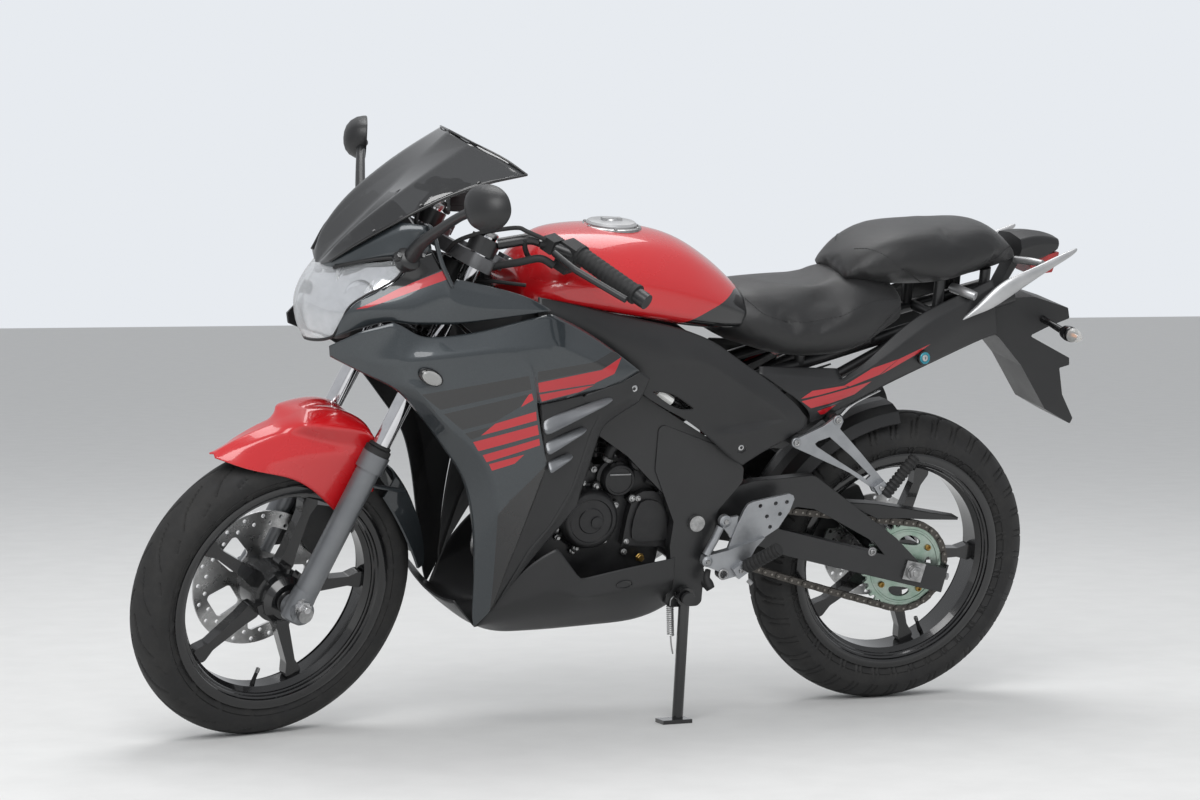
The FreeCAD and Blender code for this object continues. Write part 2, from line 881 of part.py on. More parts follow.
rear_guard_stations = [
    (46, [(326, 0), (324, 26), (314, 52), (270, 66)]),
    (22, [(322, 0), (320, 26), (310, 52), (270, 66)]),
    (6, [(320, 0), (318, 26), (310, 50), (290, 62)]),
]
rear_guard = ring_shell(front_axle, rear_guard_stations, 3.0)
stay_foot = on_fork(258, 56)
for side in (-1, 1):
    stay = Part.makeCylinder(4.5, 130, Vector(stay_foot.x, side * 64, stay_foot.z), Vector(0.80, 0, -0.22))
    hook = Part.makeCylinder(5, half - 60, Vector(stay_foot.x, side * 60, stay_foot.z), Vector(0, side, 0))
    leg = Part.makeCylinder(size("slider_radius"), 700, on_fork(-100, half * side), steering_axis)
    rear_guard = rear_guard.fuse(stay).fuse(hook.cut(leg))
guard_space = fork_lugs(guard, [(205, 66, 9.3), (262, 60, 9.3)])
rear_guard = max(rear_guard.cut(guard_space).Solids, key=lambda solid: solid.Volume)
place(add_shape("front_mudguard_rear", rear_guard), "steered")


# Frame, engine, swingarm, shock and final drive

def spar(side):
    """One frame spar as a run of box sections from the steering head to the pivot plate."""
    table = [
        # x top, z top, x foot, z foot, inner y, outer y
        (-975, 925, -1010, 842, 12, 44),
        (-880, 862, -915, 762, 78, 108),
        (-745, 762, -785, 660, 104, 138),
        (-600, 672, -660, 575, 106, 140),
        (-430, 570, -560, 480, 104, 138),
    ]
    wires = []
    for xt, zt, xf, zf, inner, outer in table:
        wires.append(polygon([
            (along(xt), side * inner, zt), (along(xt), side * outer, zt),
            (along(xf), side * outer, zf), (along(xf), side * inner, zf)]))
    return loft(wires, True)


spars = [add_shape("Spar%d" % index, spar(side)) for index, side in enumerate((-1, 1))]
head = add_bar("HeadTube", as_tuple(steering_point(lower + thick / 2 + 5.5)),
               as_tuple(steering_point(upper - thick / 2 - 5.5)), "Sizes.head_tube_radius")
head_bore = add_bar("HeadBore", as_tuple(steering_point(lower)), as_tuple(steering_point(upper)),
                    size("stem_radius") + PIN_GAP)
plate_outline = [(-600, 640), (-470, 590), (-411, 545), (-411, 516), (-459, 460), (-470, 355),
                 (-500, 318), (-545, 318), (-556, 388), (-552, 439), (-600, 545)]
plates = [
    add_plate("PivotPlateLeft", plate_outline, -142, -118, 12),
    add_plate("PivotPlateRight", plate_outline, 118, 142, 12),
]
ties = [
    add_bar("UpperTie", (along(-455), -120, 545), (along(-455), 120, 545), 18),
    add_bar("LowerTie", (along(-500), -120, 340), (along(-500), 120, 340), 14),
]
pivot = Vector(along(-size("pivot_setback")), 0, size("pivot_height"))
pivot_bore = add_bar("PivotBore", (pivot.x, -170, pivot.z), (pivot.x, 170, pivot.z), 10)
stand_pivot = Vector(along(-size("stand_pivot_setback")), -size("stand_pivot_offset"), size("stand_pivot_height"))
mounts = [add_bar("EngineMount%d" % side, (along(-568), 92 * side, 500), (along(-568), 125 * side, 500), 13)
          for side in (-1, 1)]
tab = add_plate("StandTab", [(-556, 264), (-556, 350), (-478, 350), (-478, 264)], -142, -120, 14)
pin = add_bar("StandPin", (stand_pivot.x, -176, stand_pivot.z), (stand_pivot.x, -124, stand_pivot.z), 8)
pin_head = add_bar("StandPinHead", (stand_pivot.x, -178, stand_pivot.z), (stand_pivot.x, -169, stand_pivot.z), 13)
frame_whole = add_fuse("FrameWhole", spars + [head] + plates + ties + [tab, pin, pin_head] + mounts)
place(add_cut("main_frame", frame_whole, [head_bore, pivot_bore]), "machine")
pivot_rod = add_bar("PivotRod", (pivot.x, -150, pivot.z), (pivot.x, 150, pivot.z), 10)
pivot_nuts = [add_bar("PivotNut%d" % side, (pivot.x, 142 * side, pivot.z), (pivot.x, 151 * side, pivot.z), 16)
              for side in (-1, 1)]
place(add_fuse("swingarm_pivot", [pivot_rod] + pivot_nuts), "machine")

rails = []
for side in (-1, 1):
    rails.append(add_bar("UpperRail%d" % side, (along(-640), 92 * side, 640), (along(200), 58 * side, 865), 13))
    rails.append(add_bar("LowerRail%d" % side, (along(-470), 120 * side, 590), (along(-20), 72 * side, 800), 11))
for side in (-1, 1):
    near, far = sorted((96 * side, 118 * side))
    rails.append(add_plate("Gusset%d" % side, [(-430, 585), (-420, 650), (-250, 715), (-196, 660), (-250, 622),
                                               (-318, 574)], near, far, 10))
    for index, (x, z) in enumerate(((-306, 600), (-226, 640))):
        rails.append(add_bar("BracketBoss%d%d" % (side, index), (along(x), 100 * side, z), (along(x), 156 * side, z), 13))
    for index, (x, y, low, high) in enumerate(((-280, 80, 735, 762), (-125, 74, 776, 806), (25, 66, 818, 912),
                                               (130, 60, 846, 932))):
        rails.append(add_bar("SeatPad%d%d" % (side, index), (along(x), y * side, low), (along(x), y * side, high), 11))
rails.append(add_bar("RearTie", (along(40), -70, 822), (along(40), 70, 822), 11))
tail_bar = ((along(192), -56, 862.9), (along(192), 56, 862.9), 9)
rails.append(add_bar("TailTie", *tail_bar))
rails.append(add_bar("FrontTie", (along(-420), -90, 698), (along(-420), 90, 698), 11))
frame_space = [add_shape("SparSpace%d" % index, spar(side)) for index, side in enumerate((-1, 1))]
plate_space = [add_plate("PlateSpaceLeft", plate_outline, -142, -118, 12),
               add_plate("PlateSpaceRight", plate_outline, 118, 142, 12)]
rail_whole = add_fuse("RailWhole", rails)


def side_rail(side, start=(-640, 92, 640), end=(200, 58, 865), radius=13):
    """One upper rail as a plain shape, for pieces that are seated on it."""
    return rod((along(start[0]), start[1] * side, start[2]), (along(end[0]), end[1] * side, end[2]), radius)


def low_rail(side):
    """One lower rail as a plain shape."""
    return side_rail(side, (-470, 120, 590), (-20, 72, 800), 11)


left_frame = spar(-1).fuse(side_prism(plate_outline, 12, -142, -118))
left_rails = side_rail(-1).fuse(low_rail(-1))

engine_half = size("engine_half_width")
crankcase = add_plate(
    "CrankcaseBlock",
    [(-830, 392), (-800, 500), (-760, 545), (-640, 548), (-560, 520), (-545, 470),
     (-565, 330), (-640, 300), (-800, 305)],
    -92, 92, 22)
lean_forward = Vector(-0.20, 0, 0.98).normalize()
cylinder_foot = Vector(along(-722), 0, 540)
barrel = add_body("Barrel")
fins = int(size("fin_count"))
fin_curves = [(50, 0), (50, 6)]
edge = [(0.0, 5.0), (52, 5.0)]
for index in range(fins):
    base = 12 + index * size("fin_pitch")
    edge += [(52, base), (size("fin_radius"), base), (size("fin_radius"), base + size("fin_thickness")),
             (52, base + size("fin_thickness"))]
top = 12 + fins * size("fin_pitch") + 6
edge += [(52, top), (0.0, top)]
add_revolution(barrel, "cylinder", rounded(edge))
barrel.Placement = Placement(cylinder_foot, Rotation(Y_AXIS, lean_forward))
crankcase_outline = [(-830, 392), (-800, 500), (-760, 545), (-640, 548), (-560, 520), (-545, 470),
                     (-565, 330), (-640, 300), (-800, 305)]
place(add_cut("cylinder", barrel, [add_plate("CrankcaseSpace", crankcase_outline, -92, 92, 22)]), "machine")
head_foot = cylinder_foot + lean_forward * top
head_block = doc.addObject("Part::Box", "cylinder_head")
head_block.Length, head_block.Width, head_block.Height = 128, 150, 76
head_block.Label = "cylinder_head"
place(head_block, "machine",
      Placement(head_foot, Rotation(Z_AXIS, lean_forward)).multiply(Placement(Vector(-64, -75, 0), Rotation())))

stator = add_body("StatorCover")
add_revolution(stator, "stator_cover", rounded(
    [(0, 0), (60, 0), (60, 30), (50, 40), (26, 40), (24, 44), (0, 44)]))
stator.Placement = (Placement(Vector(along(-723), -92, 445), Rotation(Vector(0, 0, 1), 180)))
round_cover = add_body("RoundCover")
add_revolution(round_cover, "round_side_cover", rounded([(0, 0), (30, 0), (30, 22), (24, 29), (0, 29)]))
round_cover.Placement = (Placement(Vector(along(-664), -92, 521), Rotation(Vector(0, 0, 1), 180)))
sprocket_cover = (add_plate("SprocketCover",
                [(-655, 400), (-655, 478), (-620, 486), (-566, 476), (-548, 440), (-566, 392)],
                -104, -92, 12))
place(add_group("left_engine_covers", [stator, round_cover, sprocket_cover]), "machine")
clutch = add_body("clutch_cover")
add_revolution(clutch, "clutch_cover", rounded([(0, 0), (82, 0), (82, 26), (70, 38), (0, 38)]))
place(clutch, "machine", Placement(Vector(along(-660), 92, 425), Rotation()))

# Exhaust
can_foot, can_end = Vector(along(-226), 232, 482), Vector(along(82), 232, 594)
can_run = (can_end - can_foot).normalize()
header = bent_tube([(along(-780), 0, 672), (along(-862), 10, 650), (along(-884), 50, 340),
                    (along(-830), 62, 279), (along(-565), 62, 279), (along(-485), 135, 283),
                    (along(-405), 135, 326), (along(-312), 135, 424),
                    as_tuple(can_foot - can_run * 40), as_tuple(can_foot)], 17, 36)
head_space = Part.makeBox(128, 150, 76)
head_space.Placement = Placement(head_foot, Rotation(Z_AXIS, lean_forward)).multiply(
    Placement(Vector(-64, -75, 0), Rotation()))
place(add_shape("exhaust_pipe", header.cut(head_space)), "machine")
can = add_body("SilencerCan")
add_revolution(can, "SilencerCan", rounded(
    [(12, 0), (20, 0), (44, 40), (46, 60), (46, 296), (40, 316), (20, 321), (20, 312), (12, 312)]))
can.Placement = Placement(can_foot, Rotation(Y_AXIS, can_run))
can_lug = add_bar("SilencerLug", (along(-118), 164, 524), (along(-118), 200, 524), 12)
place(add_fuse("silencer", [can, can_lug]), "machine")

# Swingarm
arm_outline = [(-530, 452), (-520, 412), (-480, 398), (-353, 375), (-100, 292), (70, 263), (82, 306),
               (76, 330), (10, 334), (-374, 512), (-408, 500), (-440, 462)]
window = [(-290, 427), (-270, 447), (-204, 455), (-130, 420), (-80, 372), (-100, 350), (-230, 388)]
arms = []
for label, near, far in (("Left", -116, -92), ("Right", 92, 116)):
    arm = add_plate("Arm" + label, arm_outline, near, far, 12)
    add_pocket(arm, "ArmWindow" + label, rounded([(along(x), z) for x, z in window], 10))
    arms.append(arm)
pivot_tube = add_bar("PivotTube", (pivot.x, -105, pivot.z), (pivot.x, 105, pivot.z), 20)
arm_tie = add_bar("ArmTie", (along(-395), -100, 470), (along(-395), 100, 470), 24)
arm_holes = [add_bar("ArmPivotHole", (pivot.x, -150, pivot.z), (pivot.x, 150, pivot.z), 10),
             add_bar("ArmAxleHole", (0, -150, rear_axle.z), (0, 150, rear_axle.z), "Sizes.axle_radius")]
rear_rod = [add_bar("RearAxleRod", (0, -132, rear_axle.z), (0, 132, rear_axle.z), "Sizes.axle_radius")]
rear_rod += [add_bar("RearAxleNut%d" % side, (0, 116 * side, rear_axle.z), (0, 132 * side, rear_axle.z), 16)
             for side in (-1, 1)]
place(add_fuse("rear_axle", rear_rod), "machine")

# Chain: two rows of side plates with the teeth between them
chain_gap, chain_wall = size("chain_plate_gap"), size("chain_plate_thickness")
drive_centre = Vector(along(-size("pivot_setback")) - size("drive_sprocket_setback"), 0, size("pivot_height"))


def chain_outline(extra):
    """The loop of the chain round both sprockets, a distance outside its pitch line."""
    big, small = sprocket_radius + extra, drive_radius + extra
    reach = drive_centre - rear_axle
    distance = reach.Length
    slope = math.atan2(reach.z, reach.x)
    spread = math.acos((big - small) / distance)
    points = {}
    for name, centre, radius in (("big", rear_axle, big), ("small", drive_centre, small)):
        for side in (-1, 1):
            turn = slope + side * spread
            points[name, side] = Vector(centre.x + radius * math.cos(turn),
                                        centre.z + radius * math.sin(turn), 0)
    back = slope + math.pi
    far_big = Vector(rear_axle.x + big * math.cos(back), rear_axle.z + big * math.sin(back), 0)
    far_small = Vector(drive_centre.x + small * math.cos(slope), drive_centre.z + small * math.sin(slope), 0)
    return [
        Part.Arc(points["big", -1], far_big, points["big", 1]),
        Part.LineSegment(points["big", 1], points["small", 1]),
        Part.Arc(points["small", 1], far_small, points["small", -1]),
        Part.LineSegment(points["small", -1], points["big", -1]),
    ]


def chain_space(extra, low, high, filled=False):
    """The room round the chain, between two distances across the machine."""
    turned = Rotation(Vector(1, 0, 0), 90)
    room = Part.Face(Part.Wire([curve.toShape() for curve in chain_outline(tall + extra)]))
    if not filled:
        room = room.cut(Part.Face(Part.Wire([curve.toShape() for curve in chain_outline(-tall - extra)])))
    room.Placement = Placement(Vector(0, low, 0), turned)
    return room.extrude(Vector(0, high - low, 0))


rows = []
tall = size("chain_plate_height") / 2
case_pocket = add_shape("CasePocket", chain_space(5, -93, -66, True))
place(add_cut("crankcase", crankcase, [case_pocket]), "machine")
arm_slot = add_shape("ArmSlot", chain_space(0, -92, -68))
place(add_cut("swingarm", add_fuse("ArmWhole", arms + [pivot_tube, arm_tie]), arm_holes + [arm_slot]), "machine")
for label, middle in (("Inner", -size("sprocket_offset") + chain_gap / 2 + chain_wall / 2),
                      ("Outer", -size("sprocket_offset") - chain_gap / 2 - chain_wall / 2)):
    row = add_body("ChainRow" + label)
    add_pad(row, "ChainRow" + label, chain_outline(tall) + chain_outline(-tall), chain_wall,
            -(middle + chain_wall / 2))
    rows.append(row)
place(add_group("drive_chain", rows), "machine")
# Rear brake caliper on the right, held by the swingarm
rear_caliper = add_plate("RearCaliperBlock", [(-140, 350), (-118, 418), (-50, 444), (-30, 410), (-92, 350)],
                         56, 92, 8)
rear_slot = size("rear_disc_offset")
rear_slot_box = add_bar("RearCaliperSlot", (0, rear_slot - 7.5, rear_axle.z), (0, rear_slot + 7.5, rear_axle.z),
                        size("rear_disc_radius") + 6)
place(add_cut("rear_brake_caliper", rear_caliper, [rear_slot_box]), "machine")

# Shock absorber
shock = add_bar("ShockBody", (along(-395), 0, 478), (along(-420), 0, 698), 24)
shock_ends = [add_bar("ShockTopSpace", (along(-420), -40, 698), (along(-420), 40, 698), 11),
              add_bar("ShockFootSpace", (along(-395), -40, 470), (along(-395), 40, 470), 24)]
place(add_cut("shock_absorber", shock, shock_ends), "machine")

# Side stand: it swings about its bolt
ground = machine_place.multVec(Vector(stand_pivot.x - 6, -size("stand_spread"), 30))
ground.z = 0
foot_point = road.multVec(ground)
foot_up = road.Rotation.multVec(Z_AXIS)
eye = add_bar("StandEye", (stand_pivot.x, -165, stand_pivot.z), (stand_pivot.x, -147, stand_pivot.z), 19)
leg_start = Vector(stand_pivot.x, -156, stand_pivot.z - 8)
leg_end = foot_point + foot_up * (size("stand_foot_thickness") * 0.6)
leg_bar = add_bar("StandLeg", as_tuple(leg_start), as_tuple(leg_end), "Sizes.stand_radius")
foot_box = doc.addObject("Part::Box", "StandFoot")
bind(foot_box, "Length", "Sizes.stand_foot_length")
bind(foot_box, "Width", "Sizes.stand_foot_width")
bind(foot_box, "Height", "Sizes.stand_foot_thickness")
foot_turn = road.Rotation
corner = Vector(-size("stand_foot_length") * 0.62, -size("stand_foot_width") / 2, 0)
foot_box.Placement = Placement(foot_point + foot_turn.multVec(corner), foot_turn)
stand_whole = add_fuse("StandWhole", [eye, leg_bar, foot_box])
stand_bore = add_bar("StandBore", (stand_pivot.x, -190, stand_pivot.z), (stand_pivot.x, -130, stand_pivot.z),
                     8 + PIN_GAP)
place(add_cut("side_stand", stand_whole, [stand_bore]), "machine")


# Bodywork

TO_SECTION = FreeCAD.Matrix(0, 0, 1, 0, 1, 0, 0, 0, 0, 1, 0, 0, 0, 0, 0, 1)


def shrink(points, distance):
    """A closed outline moved inward by a distance, with its corner radii."""
    count = len(points)
    area = sum(points[i - 1][0] * points[i][1] - points[i][0] * points[i - 1][1] for i in range(count))
    sign = 1 if area > 0 else -1
    moved = []
    for index in range(count):
        before, here, after = points[index - 1], points[index], points[(index + 1) % count]
        a = Vector(here[0] - before[0], here[1] - before[1], 0).normalize()
        b = Vector(after[0] - here[0], after[1] - here[1], 0).normalize()
        na, nb = Vector(-a.y, a.x, 0) * sign, Vector(-b.y, b.x, 0) * sign
        shift = (na + nb) * (1.0 / (1.0 + na.dot(nb)))
        radius = here[2] if len(here) > 2 else 0.0
        turn = (a.x * b.y - a.y * b.x) * sign
        radius = max(radius - distance, 0.5) if turn > 0 and radius else (radius + distance if radius else 0.0)
        moved.append((here[0] + shift.x * distance, here[1] + shift.y * distance, radius))
    return moved


def cross_section(x, half_points, radius, inward=0.0):
    """A closed section across the machine from points (y, z) down its right side."""
    right = [(y, z) + tuple(rest or (radius,)) for y, z, *rest in half_points]
    left = [(-p[0],) + p[1:] for p in right[::-1] if p[0] > 0.01]
    outline = right + left
    if inward:
        outline = shrink(outline, inward)
    wire = wire_of(rounded(outline))
    wire.Placement = Placement(Vector(along(x), 0, 0), Placement(TO_SECTION).Rotation)
    return wire


def section_loft(stations, radius, inward=0.0, ruled=False):
    """A solid through sections across the machine."""
    return loft([cross_section(x, points, radius, inward) for x, points in stations], ruled)


def level_section(z, half_points, radius, inward=0.0):
    """A closed level section from points (x, y) from the nose back along the right side."""
    right = [(along(x), y) + tuple(rest or (radius,)) for x, y, *rest in half_points]
    left = [(p[0], -p[1]) + p[2:] for p in right[::-1] if p[1] > 0.01]
    outline = right + left
    if inward:
        outline = shrink(outline, inward)
    wire = wire_of(rounded(outline))
    wire.translate(Vector(0, 0, z))
    return wire


panel = size("panel_thickness")

def surface_depth(surface, x, z):
    """How far out a left-hand skin lies at a place in side view."""
    probe = Part.LineSegment(Vector(x, -500, z), Vector(x, 0, z)).toShape()
    return surface.distToShape(probe)[1][0][0].y


def skin_panel(name, stations, breaks, outline, thickness, inward=0.0, radius=6, slots=(), bosses=(),
               against=None):
    """A pair of thin side panels. Each station is a half section of points (y, z) from the top
    down, smooth between the listed breaks, and the outline trims the skin in side view. Round
    bosses (x, z, inner y, radius) reach in and end on what they are seated against."""
    wires = []
    for x, points in stations:
        points = [Vector(along(x), -(y - inward), z) for y, z in points]
        edges = []
        for start, end in zip(breaks, breaks[1:]):
            run = points[start:end + 1]
            if len(run) == 2:
                edges.append(Part.LineSegment(run[0], run[1]).toShape())
            else:
                curve = Part.BSplineCurve()
                curve.interpolate(run)
                edges.append(curve.toShape())
        wires.append(Part.Wire(edges))
    surface = Part.makeLoft(wires, False, False)
    trim = side_prism(outline, radius, -600, 0)
    for slot in slots:
        trim = trim.cut(side_prism(slot, 3, -600, 0))
    pieces = []
    for face in surface.Faces:
        piece = face.extrude(Vector(0, thickness, 0)).common(trim)
        pieces.extend(piece.Solids)
    whole = pieces[0] if len(pieces) == 1 else pieces[0].fuse(pieces[1:])
    for x, z, inner, boss_radius in bosses:
        outer = surface_depth(surface, along(x), z) + 0.6 * thickness
        boss = Part.makeCylinder(boss_radius, -inner - outer, Vector(along(x), outer, z), Y_AXIS)
        if against is not None:
            boss = boss.cut(against)
        whole = whole.fuse(max(boss.Solids, key=lambda solid: -solid.CenterOfMass.y))
    left = add_shape(name + "Skin", whole)
    return mirrored_pair(name, left)


# Main fairing flanks
flank_breaks = [0, 2, 5]
flank = [
    (-1330, [(88, 960), (112, 880), (128, 788), (122, 690), (104, 480), (80, 235)]),
    (-1200, [(138, 960), (182, 880), (205, 788), (184, 690), (160, 480), (110, 235)]),
    (-1090, [(160, 960), (206, 885), (230, 802), (208, 710), (186, 480), (125, 235)]),
    (-950, [(170, 960), (216, 888), (240, 816), (220, 720), (204, 480), (140, 235)]),
    (-800, [(165, 960), (208, 870), (232, 792), (212, 705), (198, 480), (140, 235)]),
    (-640, [(150, 960), (186, 830), (205, 744), (192, 680), (178, 480), (135, 235)]),
    (-540, [(140, 960), (168, 810), (180, 720), (172, 660), (164, 480), (130, 235)]),
]
grey_outline = [(-1301, 825), (-1180, 863), (-1119, 837), (-867, 882), (-660, 752), (-664, 738), (-783, 705),
                (-881, 672), (-905, 560), (-910, 443), (-945, 330), (-980, 272), (-992, 300), (-1002, 482),
                (-1011, 556), (-1119, 684), (-1241, 783)]
place(skin_panel("main_fairing", flank, flank_breaks, grey_outline, panel, radius=5,
                 bosses=[(-900, 790, 80, 8)], against=left_frame), "machine")
gill_outline = [(-905, 715), (-881, 668), (-783, 700), (-664, 732), (-655, 740), (-670, 700), (-749, 642),
                (-774, 566), (-795, 470), (-845, 412), (-927, 314), (-955, 300), (-925, 443), (-915, 560)]
place(skin_panel("gill_panels", flank, flank_breaks, gill_outline, 3.5, inward=12,
                 bosses=[(-735, 672, 110, 8)], against=left_frame), "machine")

# Belly pan
belly = [
    (-1015, [(80, 420), (120, 400), (118, 300), (70, 262)]),
    (-900, [(110, 470), (160, 440), (150, 300), (90, 240)]),
    (-700, [(110, 470), (166, 440), (150, 300), (90, 238)]),
    (-545, [(110, 470), (160, 440), (146, 320), (90, 262)]),
]
belly_skin = section_loft(belly, 12).cut(section_loft(belly, 12, panel))
belly_outline = [(-1000, 280), (-967, 237), (-605, 240), (-562, 286), (-560, 366), (-700, 360), (-746, 339),
                 (-798, 394), (-850, 400), (-940, 320)]
belly_piece = belly_skin.common(side_prism(belly_outline, 8, -400, 400))
pan_posts = []
for x, y in ((-740, 0), (-620, 22)):
    post = Part.makeCylinder(10, 90, Vector(along(x), y, 240.5))
    pan_posts.append(post.cut(side_prism(crankcase_outline, 22, -92, 92)))
belly_piece = belly_piece.fuse(pan_posts)
place(add_shape("belly_pan", belly_piece), "machine")


def split_pair(name, shape, outline, radius=6):
    """The part of a skin inside a side outline, on both sides of the machine."""
    pieces = []
    for low, high in ((-400, -30), (30, 400)):
        pieces.append(shape.common(side_prism(outline, radius, low, high)))
    return add_shape(name, Part.makeCompound([solid for piece in pieces for solid in piece.Solids]))


# Nose: upper fairing and headlight share one skin
nose = [
    (760, [(-1262, 0), (-1242, 70), (-1165, 150), (-1080, 205), (-860, 225)]),
    (860, [(-1303, 0), (-1282, 68), (-1205, 140), (-1100, 196), (-860, 216)]),
    (930, [(-1268, 0), (-1246, 66), (-1172, 132), (-1070, 182), (-860, 196)]),
    (1010, [(-1200, 0), (-1180, 60), (-1120, 116), (-1030, 160), (-860, 170)]),
]
nose_full = loft([level_section(z, p, 20) for z, p in nose])
nose_inner = loft([level_section(z, p, 20, panel) for z, p in nose])
nose_skin = nose_full.cut(nose_inner)
lens_outline = [(-1320, 800), (-1320, 930), (-1262, 936), (-1140, 972), (-1170, 915), (-1250, 875),
                (-1285, 822), (-1275, 790)]
cowl_outline = [(-1284, 822), (-1248, 873), (-1168, 912), (-1139, 976), (-1091, 991), (-1070, 968),
                (-1045, 922), (-969, 926), (-866, 894), (-865, 884), (-1022, 842), (-1109, 840), (-1170, 868)]
place(split_pair("upper_fairing", nose_skin, cowl_outline, 4), "machine")


def arch(centre, edge):
    """A curve across the machine through its two edges and its middle."""
    middle, side = Vector(along(centre[0]), 0, centre[1]), Vector(along(edge[0]), edge[1], edge[2])
    return Part.Wire([Part.Arc(Vector(side.x, -side.y, side.z), middle, side).toShape()])


screen_face = Part.makeLoft([
    arch((-1268, 930), (-1212, 96, 962)),
    arch((-1200, 1000), (-1120, 140, 1030)),
    arch((-1120, 1080), (-1025, 158, 1090)),
    arch((-1016, 1183), (-925, 146, 1128)),
])
screen = screen_face.extrude(Vector(0.62, 0, -0.78) * size("screen_thickness"))
screen = Part.Solid(screen.Solids[0]) if screen.Solids else screen
place(add_shape("windscreen", screen), "machine")
lens = nose_skin.common(side_prism(lens_outline, 4, -400, 400)).cut(screen)
place(add_shape("headlight", max(lens.Solids, key=lambda solid: solid.Volume)), "machine")
screen_back = Vector(0.62, 0, -0.78)
screen_inside = screen_face.copy()
screen_inside.translate(screen_back * size("screen_thickness"))
screen_inside = screen_inside.extrude(screen_back * 160)

# Instruments, and the stay that carries them, the nose and the screen
gauge_at = Placement(Vector(along(-1169), -80, 996), Rotation(Y_AXIS, 40))
gauge = doc.addObject("Part::Box", "instruments")
gauge.Length, gauge.Width, gauge.Height = 46, 160, 84
gauge.Label = "instruments"
place(gauge, "machine", gauge_at)
gauge_space = Part.makeBox(46, 160, 84)
gauge_space.Placement = gauge_at
head_space_tube = Part.makeCylinder(size("head_tube_radius"), 200, steering_point(lower), steering_axis)
beam = rod((along(-1030), 0, 868), (along(-1330), 0, 888), 13).common(nose_inner).cut(head_space_tube)
beam = max(beam.Solids, key=lambda solid: solid.Volume)
stay = beam.fuse(rod((along(-1150), 0, 880), (along(-1150), 0, 996), 9).cut(gauge_space))
cross = rod((along(-1132), -190, 962), (along(-1132), 190, 962), 7).common(nose_inner)
stay = stay.fuse(rod((along(-1150), 0, 955), (along(-1125), 0, 964), 8)).fuse(cross)
screen_line = Part.LineSegment(Vector(along(-1190), 80, 900), Vector(along(-1190), 80, 1200)).toShape()
screen_touch = screen_face.distToShape(screen_line)[1][0][0]
for side in (-1, 1):
    top = Vector(screen_touch.x, 80 * side, screen_touch.z)
    low = top + screen_back * 45
    stay = stay.fuse(rod(as_tuple(top), as_tuple(low), 5))
    stay = stay.fuse(rod(as_tuple(low - screen_back * 6), (along(-1132), 80 * side, 962), 4.6))
stay = max(stay.cut(screen).cut(gauge_space).Solids, key=lambda solid: solid.Volume)
place(add_shape("fairing_stay", stay), "machine")

# Mirrors: an arm from the nose and a shell at its end
mirrors = []
for label, side in (("Left", -1), ("Right", 1)):
    base = Vector(along(-1118), 128 * side, 958)
    arm = bent_tube([as_tuple(base), (along(-1112), 190 * side, 1000), (along(-1084), 318 * side, 1088),
                     (along(-1078), 350 * side, 1098)], 7, 30)
    foot = Part.makeCylinder(15, 36, base, Vector(0.05, 0.83 * side, 0.55))
    head_place = Placement(Vector(along(-1074), 372 * side, 1104), Rotation(Z_AXIS, 14 * side))
    whole_head = doc.addObject("Part::Ellipsoid", "MirrorHead" + label)
    whole_head.Radius1, whole_head.Radius2, whole_head.Radius3 = 41, 34, 66
    whole_head.Placement = head_place
    glass_side = doc.addObject("Part::Box", "MirrorGlassSide" + label)
    glass_side.Length, glass_side.Width, glass_side.Height = 60, 160, 120
    glass_side.Placement = head_place.multiply(Placement(Vector(10, -80, -60), Rotation()))
    shell = add_cut("MirrorShell" + label, whole_head, [glass_side])
    arm_feature = add_shape("MirrorArm" + label, arm.fuse(foot).cut(nose_full))
    mirrors.append(add_fuse("mirror_" + label.lower(), [arm_feature, shell]))
place(add_group("mirrors", mirrors), "machine")

# Tank, seats and tail
tank = [
    (-878, [(0, 925), (60, 912), (88, 880), (70, 866), (0, 866)]),
    (-800, [(0, 992), (80, 975), (140, 905), (132, 872), (0, 862)]),
    (-672, [(0, 1004), (90, 985), (156, 905), (140, 850), (0, 840)]),
    (-540, [(0, 980), (88, 955), (142, 880), (128, 822), (0, 815)]),
    (-400, [(0, 880), (66, 866), (100, 835), (90, 806), (0, 800)]),
]
tank_side = side_prism([(-386, 940), (-472, 790), (-480, 760), (-960, 760), (-960, 1060), (-360, 1060)],
                       0, -300, 300)
tank_body = section_loft(tank, 28).common(tank_side)
cap_centre = Vector(along(-672), 0, 1002)
cap_well = Part.makeCylinder(size("filler_cap_radius"), 60, cap_centre - Vector(0, 0, 9))
tank_pads = []
for side in (-1, 1):
    pad = Part.makeCylinder(12, 130, Vector(along(-760), 116 * side, 745))
    tank_pads.append(pad.cut(spar(side)).Solids)
    tank_pads[-1] = max(tank_pads[-1], key=lambda solid: solid.CenterOfMass.z)
place(add_shape("fuel_tank", tank_body.cut(cap_well).fuse(tank_pads)), "machine")
cap = add_body("filler_cap")
rim = size("filler_cap_radius")
add_revolution(cap, "filler_cap", rounded([(0, 0), (rim, 0), (rim, 7), (rim - 3, 10), (0, 10)]))
place(cap, "machine", Placement(cap_centre - Vector(0, 0, 9), Rotation(Y_AXIS, Z_AXIS)))

